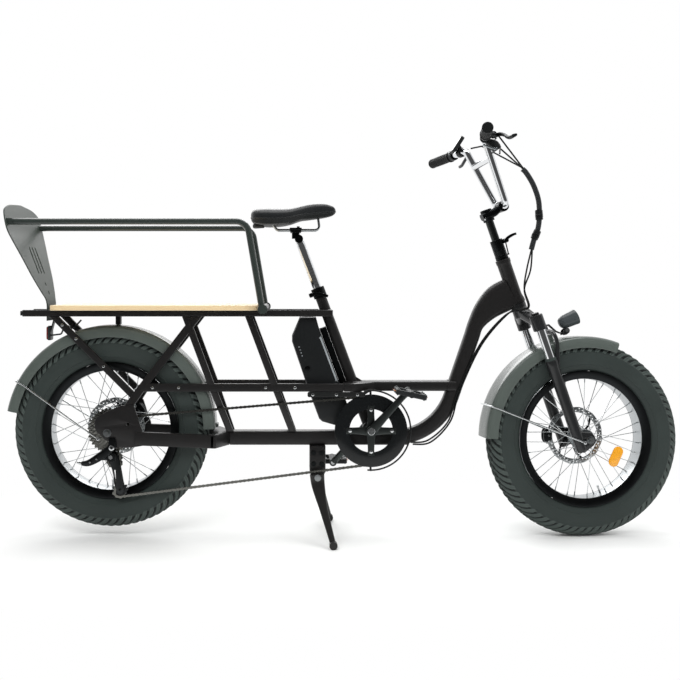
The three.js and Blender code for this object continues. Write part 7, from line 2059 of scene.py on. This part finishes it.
def roller_chain():
    pin = [rod((x, -3.9, 0), (x, 3.9, 0), 1.8, 10) for x in (-link_pitch / 2, link_pitch / 2)]
    roller = [rod((x, -1.4, 0), (x, 1.4, 0), 3.7, 12) for x in (-link_pitch / 2, link_pitch / 2)]
    outer = link_object("outer_link", [link_plate(-3.6, -2.6), link_plate(2.6, 3.6), *pin])
    inner = link_object("inner_link", [link_plate(-2.5, -1.5), link_plate(1.5, 2.5), *roller])
    route = chain_route()
    length = sum((b - a).length for a, b in zip(route, route[1:] + route[:1]))
    count = 2 * round(length / link_pitch / 2)
    loop = ([tuple(p) for p in route], [(i, (i + 1) % len(route)) for i in range(len(route))])
    part = grown([loop], chain_tree(), Outer=outer, Inner=inner, Count=count)
    for link in (outer, inner):
        mesh = link.data
        bpy.data.objects.remove(link)
        bpy.data.meshes.remove(mesh)
    return at(part, (0, chain_y, 0))


def bodies_of(part):
    """The separate closed bodies of a part."""
    points, faces = part
    owner = list(range(len(points)))

    def root(i):
        while owner[i] != i:
            owner[i] = owner[owner[i]]
            i = owner[i]
        return i

    for face in faces:
        for corner in face[1:]:
            owner[root(corner)] = root(face[0])
    groups = {}
    for face in faces:
        groups.setdefault(root(face[0]), []).append(face)
    bodies = []
    for group in groups.values():
        used = sorted({i for face in group for i in face})
        place = {old: new for new, old in enumerate(used)}
        bodies.append(([points[i] for i in used], [tuple(place[i] for i in face) for face in group]))
    return bodies


def chain_lengths():
    """The chain in three lengths: round the rings, round the cage's pulleys, and between them underneath.

    The last length is baked in place; nothing makes it bend when the cage swings.
    """
    rings, pulleys, slack = [], [], []
    for body in bodies_of(roller_chain()):
        x, _, z = sum((Vector(p) for p in body[0]), Vector()) / len(body[0])
        if z > 268 or x > -330:
            rings.append(body)
        elif x < -640:
            pulleys.append(body)
        else:
            slack.append(body)
    return rings, pulleys, slack


ring_links, pulley_links, slack_links = chain_lengths()
swing = ("frame", "derailleur_cage", (-0.33, -0.062, 0.17), (-0.64, -0.062, 0.14))
piece("roller_chain_rings", ring_links, nickel_steel, "frame", "chain")
piece("roller_chain_pulleys", pulley_links, nickel_steel, "derailleur_cage", "chain")
piece("roller_chain_slack", slack_links, nickel_steel, swing, "chain")

# Chain guard: a bent steel wire hoop round the front of the chainring, welded to arms on a collar at the
# bottom bracket, with its tail screwed to a flat strip along the right truss.

# Powder-coated wire: satin black, like the frame.
guard_steel = moulded("powder_coated_wire", "1a1b1b", 0.4, 0.9, 0.06)


def hoop_point(angle, radius=122, y=-58):
    return crank_centre + Vector((radius * math.cos(math.radians(angle)), y,
                                  radius * math.sin(math.radians(angle))))


def guard_wire():
    parts = [tube([hoop_point(100 - 195 * k / 40) for k in range(41)], 2.6, 16)]
    for angle in (90, 0, -90):
        route = rounded([hoop_point(angle), hoop_point(angle, 122, -46), hoop_point(angle, 21, -46)], 8, 6)
        parts.append(tube(route, 3.3, 16))
    parts.append(at(disc(26, -50.5, -36.8, 56, 12), crank_centre))
    return parts


def guard_strip():
    strip = [(x, z + 444) for x, z in rounded_box(176, 16, 5, 6)]
    parts = [at(plate(strip, -75.1, -72.3, edge=0.6), (-24, 0, 0))]
    parts.append(blade([(56, -73.7, 446), (66, -70, 450), (74, -63, 454), (82, -58, 455)], [(3, 9, 1)] * 4,
                       side_axis, 5))
    return parts


def strip_screws():
    return [button_bolt((x, -75, 444), (x, -76.4, 444), 4.6) for x in (-96, -24, 40)]


piece("chain_guard_wire", guard_wire(), guard_steel, "frame", "chain_guard", sharp=40)
piece("chain_guard_strip", guard_strip(), guard_steel, "frame", "chain_guard", bevel=0.3)
piece("chain_guard_screws", strip_screws(), drawn_steel, "frame", "chain_guard")

# Brake calipers: two cast aluminium halves bolted together over the rotor, with the slot for the pads
# between them. The rear one is screwed to the left dropout, the front one to the left lower leg.


def caliper(length, height, bearing, y, reach=88):
    """One caliper on its bearing round an axle: a body in two halves, mounts, bolts and a hose port."""
    place = Matrix.Rotation(-math.radians(bearing - 90), 4, "Y") @ Matrix.Translation((0, y, reach))
    body, bolts = [], []
    for way in (1, -1):
        shell = blade(
            [(-length / 2, way * 8.2, 0), (-length / 4, way * 9.6, height / 7),
             (length / 4, way * 9.6, height / 7),
             (length / 2, way * 8.2, 0)],
            [(10, height * 0.6, 4), (14, height * 0.96, 6), (14, height * 0.96, 6), (10, height * 0.6, 4)],
            side_axis, 6,
        )
        body.append(shell)
        body.append(rod((0, way * 15, 2), (0, way * 17.4, 2), height * 0.3, 40))
    body.append(bar((-length * 0.32, 0, height * 0.46), (length * 0.32, 0, height * 0.46), 8, 5, 1.6))
    for x in (-length * 0.38, length * 0.38):
        bolts += [button_bolt((x, 13.5, 0), (x, 16.4, 0), 4), button_bolt((x, -13.5, 0), (x, -16.4, 0), 4)]
    bolts.append(rod((0, -17.2, 2), (0, -17.9, 2), height * 0.14, 6))
    return [at(p, place) for p in body], [at(p, place) for p in bolts]


rear_body, rear_bolts = caliper(46, 28, 34, 62)
piece("rear_caliper_body", rear_body, black_anodised, "frame", "rear_caliper",
      on_rear_axle, bevel=0.5)
piece("rear_caliper_bolts", rear_bolts, drawn_steel, "frame", "rear_caliper", on_rear_axle)

# Fork: a steerer with two short crown arms, chrome-plated stanchions and cast lowers with an arch.
# The lowers slide on the stanchions over coil springs. Everything ahead of the head tube steers with it.

# Painted cast magnesium is black with a firm highlight; the knobs' acetal is a little duller.
fork_coat = coated(moulded("cast_magnesium_paint", "1d1e1f", 0.34, 1.2, 0.05, 0.06), 0.3)
knob_resin = moulded("moulded_acetal", "151617", 0.35, 1.0, 0.05)


leg_ahead, leg_y = 18, 72


def on_leg(part, side):
    """A part made round the steering axis, moved onto one fork leg."""
    return at(part, (leg_ahead, side * leg_y, 0))


def leg_part(profile, side, count=56):
    """A part turned about one fork leg, from a profile of (radius, height)."""
    return on_leg(standing(profile, count), side)


def fork_crown():
    race = standing([(15.2, -45.5), (23, -45.5), (24, -44), (24, -3), (22.6, -1), (15.2, -0.7)], closed=True)
    parts = [race]
    for side in (1, -1):
        route = [(0, 0, -26), (2, side * 14, -32), (6, side * 33, -43), (12, side * 54, -57),
                 (leg_ahead, side * leg_y, -70)]
        sizes = [(38, 34, 9), (38, 35, 11), (37, 33, 12), (34, 32, 12), (32, 34, 12)]
        parts.append(blade(route, sizes, up, 6))
        boss = [(0, -95), (19, -95), (21, -93), (21, -51), (19.6, -47.5), (14, -47), (0, -47)]
        parts.append(leg_part(boss, side))
    return parts


def steerer_tube():
    return [standing([(13.1, -8), (15, -8), (15, 188), (13.1, 188)], 56, closed=True)]


def headset_cup():
    profile = [(15.3, 143.4), (19, 143.4), (20, 144.6), (20, 150), (19.2, 151), (20, 152), (20, 156.6),
               (18.6, 158), (15.3, 158)]
    return [standing(profile, 64, closed=True)]


def fork_knobs():
    """The preload knob on each leg: a ribbed cap with a domed middle."""
    parts = []
    for side in (1, -1):
        parts.append(leg_part([(0, -47), (11, -47), (11.2, -46), (11.2, -41.6), (10, -40.2), (0, -40)], side,
                              40))
        rib = rod((10.6, 0, -46.6), (10.6, 0, -41.4), 1.2, 10)
        parts += [on_leg(at(rib, Matrix.Rotation(full_turn * k / 14, 4, "Z")), side) for k in range(14)]
    return parts


def stanchions():
    return [leg_part([(0, -240), (14, -240), (14, -94), (0, -94)], side) for side in (1, -1)]


piece("fork_crown_forging", fork_crown(), fork_coat, "steerer", "fork_crown", steered,
      bevel=0.6, sharp=40)
piece("fork_steerer", steerer_tube(), ground_steel, "steerer", "fork_crown", steered)
piece("fork_headset", headset_cup(), black_anodised, "steerer", "fork_crown", steered)
piece("fork_knobs", fork_knobs(), knob_resin, "steerer", "fork_crown", steered, bevel=0.3)
piece("fork_stanchions", stanchions(), chrome_plate, "steerer", "fork_crown", steered)


def fork_lowers():
    parts = []
    for side in (1, -1):
        profile = [
            (0, -488), (12, -488), (15.5, -485), (16.6, -478), (17.2, -420), (17.5, -300), (17.5, -214),
            (19.2, -210),
            (19.2, -197), (18, -193.6), (14.6, -193), (14.4, -196), (0, -196),
        ]
        parts.append(leg_part(profile, side))
        drop = [
            (2, -482), (2, -436), (36, -430), (62, -442), (68, -452), (69, -462), (66, -473), (56, -481),
            (40, -486), (22, -492),
        ]
        low = 67.8 if side > 0 else -79.8
        window = [[(34 + a * 1.4, -459 + b) for a, b in circle(7, 28)]]
        parts.append(plate(drop, low, low + 12, window, edge=2))
    arch = [(28, -72, -215), (46, -69, -178), (58, -62, -146), (62, -48, -124), (62, -24, -117.6),
            (62, 0, -117)]
    route = arch + [(u, -y, w) for u, y, w in reversed(arch[:-1])]
    sizes = [(20, 13, 5), (14, 12, 5), (12, 12, 4), (11, 13, 4), (11, 14, 4), (11, 16, 4)]
    parts.append(blade(route, sizes + list(reversed(sizes[:-1])), Vector((1, 0, 0)), 6))
    return parts


def leg_seals():
    """A rubber wiper at the top of each lower leg."""
    wiper = [(14.1, -193.4), (17.6, -193.4), (18, -191), (17, -187.4), (15, -185), (14.1, -185)]
    return [on_leg(standing(wiper, 56, closed=True), side) for side in (1, -1)]


def front_axle_parts():
    parts = [rod((52, -88, -462), (52, 88, -462), 5, 24)]
    for side in (1, -1):
        parts += hex_bolt((52, side * 79.9, -462), (52, side * 86, -462), 10)
        parts.append(cone((52, side * 86, -462), (52, side * 88.8, -462), 7, 5.8, 24))
    return parts


piece("fork_lower_castings", fork_lowers(), fork_coat, "fork_lower", "fork_lowers",
      steered, bevel=0.5, sharp=40)
piece("fork_leg_seals", leg_seals(), tyre_rubber, "fork_lower", "fork_lowers", steered)
piece("front_axle_nuts", front_axle_parts(), ground_steel, "fork_lower", "fork_lowers",
      steered)

front_body, front_bolts = caliper(44, 26, 160, 51)
piece("front_caliper_body", front_body, black_anodised, "fork_lower", "front_caliper",
      on_front_axle, bevel=0.5)
piece("front_caliper_bolts", front_bolts, drawn_steel, "fork_lower", "front_caliper",
      on_front_axle)

# Front fender: the same rolled hood as behind, hung by one bracket from the fork arch.
# A bent wire stay screwed to the lower legs holds its rear end, so it moves with the wheel.

front_crown, front_edge = 316, 281
front_hood = hood(front_edge, front_crown, 51, 160)
bracket = bar((10, 0, front_crown - 2), (10, 0, 335.6), 26, 12, 2)
front_rivets = rivets(142, front_crown)
front_wire = wire_stay(142, front_crown, 92.5, (-24, 2), 10, (94.9, 97.5))
piece("front_fender_hood", [front_hood, bracket], fender_coat, "fork_lower", "front_fender",
      on_front_axle)
piece("front_fender_rivets", front_rivets, drawn_steel, "fork_lower", "front_fender",
      on_front_axle)
piece("front_fender_wire", front_wire, drawn_steel, "fork_lower", "front_fender_stay",
      on_front_axle)

# Headlight: a turned and painted shell closed by a clear ribbed lens.
# It tilts on a bolt between the ears of a bent steel strap.

# Grey lamp paint with a soft gloss, and clear polycarbonate whose ribs show in bands of painted shade.
lamp_paint = moulded("grey_lamp_paint", "3c4143", 0.25, 1.2, 0.03, 0.05)
clear_lens = ribbed_lens("clear_polycarbonate", "e9eef0", 1.0)
lamp_place = steered @ Matrix.Translation((138, 0, -104)) @ Matrix.Rotation(math.radians(-4), 4, "Y")


def lamp_profile(points):
    """A profile of (radius, length) turned about the lamp's own axis, which points forward."""
    return turn(lathe(points, 72), "Z", -90)


def lamp_body():
    shell = [(0, -34), (8, -33.4), (13, -31.6), (16.6, -27.4), (19.4, -22), (21.4, -14), (22.4, 2),
             (23.4, 18), (24, 22.5),
             (24, 26.5), (22.6, 27.4), (22.2, 25), (0, 25)]
    lug = plate([(-6, -8), (6, -8), (5.4, -26), (2.6, -31), (-2.6, -31), (-5.4, -26)], -4.6, 4.6, edge=1)
    return [lamp_profile(shell), at(lug, (-20, 0, 0))]


def lamp_lens():
    return [lamp_profile([(0, 30.6), (9, 30.2), (17, 28.9), (21.4, 27), (21.8, 25.6), (0, 25.4)])]


piece("headlight_shell", lamp_body(), lamp_paint, "headlight", "headlight", lamp_place,
      bevel=0.3)
piece("headlight_lens", lamp_lens(), clear_lens, "headlight", "headlight", lamp_place)
piece("headlight_pin", [rod((118, -16.6, -131), (118, 16.6, -131), 2.9, 24),
      *[part for side in (1, -1) for part in hex_bolt((118, side * 13.8, -131), (118, side * 17, -131), 5)]],
      drawn_steel, "headlight", "headlight", steered)


def lamp_bracket():
    route = rounded([(62, 0, -110.6), (62, 0, -97.6), (70, 0, -96), (86, 0, -124), (98, 0, -134),
                     (110, 0, -137)], 2.4, 4)
    parts = [loft(route, [rounded_box(16, 4, 1.2)] * len(route), side_axis)]
    ear = [(101, -142), (112, -143.6), (123, -140), (127, -134), (125.6, -126.6), (119, -123.4), (107, -129)]
    for side in (1, -1):
        parts.append(plate(ear, side * 12 - 1.5, side * 12 + 1.5,
                           [[(118 + a, -131 + b) for a, b in circle(3.3, 20)]], edge=0.5))
    parts.append(bar((107, -12, -137), (107, 12, -137), 6, 5, 1))
    return parts


piece("headlight_bracket_strap", lamp_bracket(), guard_steel, "fork_lower", "headlight_bracket",
      steered, bevel=0.3)

# Mast, stem and bar: the mast telescopes in the steerer and a collar with a cam lever locks its height.
# A cast stem clamps the bar, which rises in two legs with a brace between them, like a motorcycle's.


def mast_collar():
    wall = [(15.3, 158.3), (19, 158.3), (19.5, 159.2), (19.5, 206), (18.6, 207), (13.2, 207), (13.2, 188.4),
            (15.3, 188.2)]
    parts = [standing(wall, 64, closed=True)]
    for side in (1, -1):
        parts.append(bar((15, side * 7.2, 196), (33, side * 7.2, 196), 7.6, 14, 3))
    parts.append(standing([(19.9, 172), (19.9, 174), (19, 174), (19, 172)], 64, closed=True))
    return parts


mast_route = [(-2, -17, 2), (6, -20, 6.4), (16, -22, 9), (26, -23.6, 10.4), (34, -24, 10)]
mast_sizes = [(9, 4.4, 2), (9.4, 4.2, 2), (9, 4, 1.9), (8, 3.6, 1.6), (7, 3, 1.2)]


def latch_rod():
    """The safety latch: a thin rod beside the collar that stops the mast from coming out."""
    return [rod((22, -19, 194), (17, -21, 153), 2.0, 16), rod((17, -21, 152), (17, -21, 156), 3.2, 20)]


piece("mast_collar_casting", mast_collar(), black_anodised, "steerer", "mast_collar",
      steered, bevel=0.4)
piece("mast_cam_lever", cam_lever((27, 0, 196), mast_route, mast_sizes, 7, (-20, 0),
                                  (12, 16, 6)) + latch_rod(),
      black_anodised, "mast_lever", "mast_lever", steered, bevel=0.3)
piece("mast_tube", [standing([(0, 100), (12.7, 100), (12.7, 300), (0, 300)], 64)], hard_anodised, "cockpit",
      "mast",
      steered)


def stem_casting():
    parts = [blade([(-19, 0, 287), (0, 0, 288.4), (20, 0, 290), (36, 0, 296)],
                   [(34, 20, 8), (37, 25, 9), (38, 26, 9), (34, 24, 8)], side_axis, 5)]
    parts.append(at(lathe([(11.4, -22), (16, -22), (17.1, -21), (17.1, 21), (16, 22), (11.4, 22)], 56,
                          closed=True), (53, 0, 300)))
    parts.append(standing([(13, 268.4), (17, 268.4), (17.7, 269.4), (17.7, 305), (15.6, 307), (0, 307),
                           (0, 304), (13, 303)], 64))
    return parts


def stem_bolts():
    parts = []
    for side in (1, -1):
        for angle in (35, -35):
            out = Vector((math.cos(math.radians(angle)), 0, math.sin(math.radians(angle))))
            spot = Vector((53, side * 16, 300)) + out * 15.6
            parts.append(button_bolt(spot, spot + out * 3.4, 3.8))
        parts.append(button_bolt((-14, side * 10, 279), (-14, side * 20, 279), 3.8))
    return parts


piece("stem_casting", stem_casting(), black_anodised, "cockpit", "stem", steered,
      bevel=0.4)
piece("stem_bolts", stem_bolts(), drawn_steel, "cockpit", "stem", steered)


def bar_point(y, side):
    """A point on the straight outer part of the bar, at a distance from the middle."""
    share = (y - 106) / 224
    return Vector((36 - 57 * share, side * y, 508 + 11 * share))


def bar_frame(y, side):
    """The bar's own direction there, pointing outward."""
    return (bar_point(y + 1, side) - bar_point(y, side)).normalized()


def handlebar():
    half = [Vector((53, 44, 300)), Vector((36, 106, 508)), bar_point(325, 1)]
    other = [Vector((p.x, -p.y, p.z)) for p in reversed(half)]
    parts = [tube(rounded(other + half, 26, 12), 11.1, 40)]
    share = (449 - 300) / 208
    reach, u = 44 + share * 62, 53 - share * 17
    parts.append(rod((u, -reach, 449), (u, reach, 449), 11, 40))
    return parts


piece("handlebar_tube", handlebar(), chrome_plate, "cockpit", "handlebar", steered)

# Grips, levers and switches: soft ribbed grips, forged brake levers on clamped perches with round hose
# reservoirs, a thumb shifter on the right and a small display on the left.

# Soft rubber that swallows light, and a glossy dark glass.
grip_rubber = moulded("soft_grip_rubber", "131515", 0.58, 1.0, 0.14, 0.12)
glass_black = moulded("display_glass", "0b0d0f", 0.08, 3.0, 0.0, 0.02)


def along_bar(profile, y, side, count=56, closed=False):
    """A profile of (radius, length) turned about the bar, starting at a distance from the middle."""
    return at(lathe(profile, count, closed), aimed(bar_point(y, side), bar_frame(y, side)))


def grip(side):
    profile = [(11.3, 0), (17.6, 0), (18.2, 0.8), (18.2, 6), (17, 7.4), (15, 8.6)]
    for k in range(23):
        y = 10 + 4.9 * k
        wide = 15.6 + 0.5 * math.sin(math.pi * k / 22)
        profile += [(wide - 0.8, y), (wide, y + 0.9), (wide, y + 3.0), (wide - 0.8, y + 3.9)]
    length = 131.5
    profile += [(15.4, length - 6), (16.2, length - 5), (16.2, length - 1.2), (15, length), (0, length),
                (0, length - 2.6), (11.3, length - 3)]
    return [along_bar(profile, 200, side)]


def perch(side):
    """The clamp round the bar, the lever's bracket and its reservoir."""
    middle = bar_point(186, side)
    parts = [along_bar([(11.3, -9), (15.4, -9), (16.1, -8.2), (16.1, 8.2), (15.4, 9), (11.3, 9)], 186, side,
                       closed=True)]
    parts.append(blade(
        [middle + Vector((8, 0, -2)), middle + Vector((22, -side * 10, -4)),
         Vector((middle.x + 29, side * 168, middle.z - 8)),
         Vector((middle.x + 34, side * 162, middle.z - 9))],
        [(15, 17, 5), (14, 19, 5), (13, 20, 5), (13, 20, 6)], up, 5,
    ))
    start, end = bar_point(168, side) + Vector((26, 0, -2)), bar_point(146, side) + Vector((26, 0, -2))
    parts.append(rod(start, end, 9, 40))
    parts.append(cone(end, end + (end - start).normalized() * 4, 6.4, 4.2, 24))
    return parts


def perch_bolts(side):
    middle = bar_point(186, side)
    pivot = Vector((middle.x + 34, side * 160, middle.z - 9))
    parts = [rod(pivot - up * 9.6, pivot + up * 9.6, 2.6, 20), rod(pivot + up * 8, pivot + up * 10.4, 5, 24),
             rod(pivot - up * 10.4, pivot - up * 8, 5, 24)]
    parts.append(button_bolt(middle + Vector((-10, side * 1, 12)), middle + Vector((-12, side * 1, 16)), 3.4))
    return parts


def brake_blade(side):
    middle = bar_point(186, side)
    x, z = middle.x + 34, middle.z - 9
    points = [(-3, -4, 0), (4, 8, 0), (10, 20, -1), (12, 48, -10), (8, 74, -19), (6, 100, -25.4),
              (6, 128, -26), (10, 136, -26),
              (13, 140, -26)]
    sizes = [(12, 7, 3)] * 3 + [
        (9.4, 8, 3), (10, 8.4, 3), (11, 8.4, 3.6), (11, 8, 3.6), (9, 9, 4), (6, 6, 2.6),
    ]
    route = [(x + a, side * (160 + b), z + c) for a, b, c in points]
    parts = [blade(route, sizes, up, 4)]
    hub = standing([(2.8, -3.5), (7.4, -3.5), (8, -2.9), (8, 2.9), (7.4, 3.5), (2.8, 3.5)], 36, closed=True)
    parts.append(at(hub, (x, side * 160, z)))
    return parts


for side, hand in hands:
    piece("grip_sleeve_" + hand, grip(side), grip_rubber, "cockpit", "grip_" + hand, steered)
    piece("brake_perch_" + hand, perch(side), black_anodised, "cockpit", "brake_" + hand,
          steered, bevel=0.4)
    piece("brake_perch_bolts_" + hand, perch_bolts(side), drawn_steel, "cockpit", "brake_" + hand,
          steered)
    piece("brake_blade_" + hand, brake_blade(side), black_anodised, "brake_lever_" + hand,
          "brake_lever_" + hand,
          steered, bevel=0.3)


def shifter_body():
    middle = bar_point(134, -1)
    parts = [along_bar([(11.3, -8), (15, -8), (15.6, -7.4), (15.6, 7.4), (15, 8), (11.3, 8)], 134, -1,
                       closed=True)]
    parts.append(blade(
        [middle + Vector(p) for p in ((4, 0, -13), (16, 0, -26), (21, 0, -36), (24, 0, -46))],
        [(24, 17, 6), (31, 27, 9), (31, 28, 10), (27, 24, 9)], side_axis, 5,
    ))
    return parts


def thumb_lever():
    middle = bar_point(134, -1)
    parts = [rod(middle + Vector((14, -20, -42)), middle + Vector((14, 10, -42)), 3.9, 28)]
    parts.append(blade(
        [middle + Vector(p) for p in ((16, -21, -44), (6, -21, -39), (-6, -21.6, -31), (-22, -23, -18))],
        [(11, 5, 2), (10, 5, 2), (11, 4.6, 2), (12, 3.6, 1.7)], side_axis, 5,
    ))
    return parts


def display_shell():
    middle = bar_point(135, 1)
    parts = [along_bar([(11.3, -9), (14.6, -9), (15.1, -8.4), (15.1, 8.4), (14.6, 9), (11.3, 9)], 135, 1,
                       closed=True)]
    parts.append(bar(middle + Vector((2, 0, 9)), middle + Vector((-2, 0, 24)), 14, 12, 3))
    shell = plate(rounded_box(60, 48, 8, 6), -6, 6, edge=2, plane="plan")
    parts.append(at(turn(shell, "Y", -38), middle + Vector((-5, 0, 28))))
    return parts


def display_face():
    middle = bar_point(135, 1)
    face = plate(rounded_box(50, 38, 4, 5), 5.7, 6.2, edge=0.15, plane="plan")
    return [at(turn(face, "Y", -38), middle + Vector((-5, 0, 28)))]


piece("shifter_pod", shifter_body(), plug_plastic, "cockpit", "shifter", steered,
      bevel=0.5)
piece("shift_thumb_lever", thumb_lever(), cast_aluminium, "shift_lever", "shift_lever", steered,
      bevel=0.3)
piece("display_shell", display_shell(), plug_plastic, "cockpit", "display", steered,
      bevel=0.5)
piece("display_face", display_face(), glass_black, "cockpit", "display", steered)

# Hoses and wires: three lines leave the levers and the display and run into one braided sleeve.
# Two go on from it along the right of the down tube, to where the photo loses them under the cranks.
# The bundle is baked in place; nothing makes it bend between the bar and the frame.

# Extruded hose rubber: black, with a faint sheen along the line.
hose_rubber = moulded("hose_rubber", "101212", 0.48, 0.7, 0.05)
sleeve_route = [(558, 1139), (570, 1127), (592, 1090), (608, 1043), (611, 996), (607, 955), (594, 918),
                (586, 888)]


def braided_sleeve():
    """Woven nylon: crossed strands about 2 mm wide wind round the sleeve both ways, with painted light on the
    strands and painted shade between them.
    """
    material, tree, surface = blank_material("braided_nylon_sleeve")
    strand = add(tree, "ShaderNodeUVMap", uv_map="weave")
    bands = []
    for angle in (40, -40):
        spun = add(tree, "ShaderNodeMapping",
                   {"Vector": strand.outputs[0], "Rotation": (0, 0, math.radians(angle))})
        bands.append(add(tree, "ShaderNodeTexWave", {"Vector": spun.outputs[0], "Scale": 160.0}))
    over = add(tree, "ShaderNodeMath", {0: bands[0].outputs["Fac"], 1: bands[1].outputs["Fac"]},
               operation="MAXIMUM")
    # Painted light and shade: lighter on the strands' crowns, darker in the gaps between them.
    tint = mixed(tree, over.outputs[0], linear("0b0c0c"), linear("24282a"))
    bump = add(tree, "ShaderNodeBump", {"Strength": 0.6, "Distance": 0.0006, "Height": over.outputs[0]})
    fill(tree, surface, {"Base Color": tint, "Roughness": 0.6, "Normal": bump.outputs[0]})
    return material


def smooth_route(points, steps=6):
    return [Vector(p) for p in spline([tuple(p) for p in points], steps)]


def weave_map(item, route):
    """A UV map in metres, along the sleeve and round it."""
    layer = item.data.uv_layers.new(name="weave")
    places = [metres @ p for p in route]
    for face in item.data.polygons:
        for corner in face.loop_indices:
            spot = item.data.vertices[item.data.loops[corner].vertex_index].co
            index = min(range(len(places)), key=lambda i: (places[i] - spot).length)
            run = sum((b - a).length for a, b in zip(places[:index], places[1:index + 1]))
            out = spot - places[index]
            layer.data[corner].uv = (run, math.atan2(out.y, out.x + out.z) * 0.0085)


def sleeve_tube():
    route = smooth_route([(x, -4, z) for x, z in sleeve_route])
    return route, [tube(route, 8.2, 32)]


def sleeve_plugs():
    """Moulded connectors where the wiring can be parted, with ribbed collars."""
    parts = []
    for (x1, z1), (x2, z2) in (((609, 1012), (611, 980)), ((606, 948), (594, 920))):
        start, end = Vector((x1, -4, z1)), Vector((x2, -4, z2))
        run = (end - start).length
        profile = [(8.4, 0), (10.6, 0.4), (11.8, 3), (11.8, run * 0.44)]
        for k in range(4):
            y = run * 0.46 + k * 2.4
            profile += [(12.4, y), (12.4, y + 1.2), (11.4, y + 1.4), (11.4, y + 2.2)]
        profile += [(11.8, run - 3), (10.6, run - 0.4), (8.4, run)]
        parts.append(at(lathe(profile, 48), aimed(start, end - start)))
    return parts


def hoses_high():
    parts = []
    starts = [((62, -128, 512), (86, -90, 505)), ((62, 128, 512), (86, 90, 505)),
              ((62, -116, 452), (84, -70, 470))]
    for i, points in enumerate(starts):
        first = [steered @ Vector(p) for p in points]
        mouth = Vector((558, -4 + (i - 1) * 4, 1143))
        route = rounded([*first, mouth, Vector((592, -4, 1090))], 12, 8)
        parts.append(tube(route, 2.6, 16))
    return parts


def hoses_low():
    parts = []
    y = -23 - 2.6 * 0.7071 - 0.3
    for i in (0, 1):
        way = 2 * i - 1
        top = [(590, -4 + way * 3, 905), (568 + 12 * i, -20, 826), (556, -40, 765),
               (569 - 4 * i, -48 - 6 * i, 713),
               (545, -46 - 6 * i, 700 + 4 * i)]
        low = [(500 + 10 * i, y - 2, 684 + 6 * i), (421 + 6 * i, y, 592), (353 + 6 * i, y, 447),
               (323 + 7 * i, y, 355),
               (262 + 8 * i, y, 298 - 6 * i), (208 + 6 * i, y, 291 - 6 * i)]
        parts.append(tube(smooth_route([Vector(p) for p in top + low], 8), 2.6, 16))
    return parts


bend = ("frame", "steerer", (0.588, -0.004, 0.9), (0.558, -0.004, 1.14))
stretch = ("steerer", "cockpit", (0.558, -0.004, 1.14), (0.44, -0.004, 1.2))
sleeve_line, sleeve_parts = sleeve_tube()
sleeve = piece("cable_sleeve", sleeve_parts, braided_sleeve(), bend, "cable_bundle")
weave_map(sleeve, sleeve_line)
piece("cable_connectors", sleeve_plugs(), knob_resin, bend, "cable_bundle")
piece("cable_hoses_high", hoses_high(), hose_rubber, stretch, "cable_bundle")
piece("cable_hoses_low", hoses_low(), hose_rubber, bend, "cable_bundle")
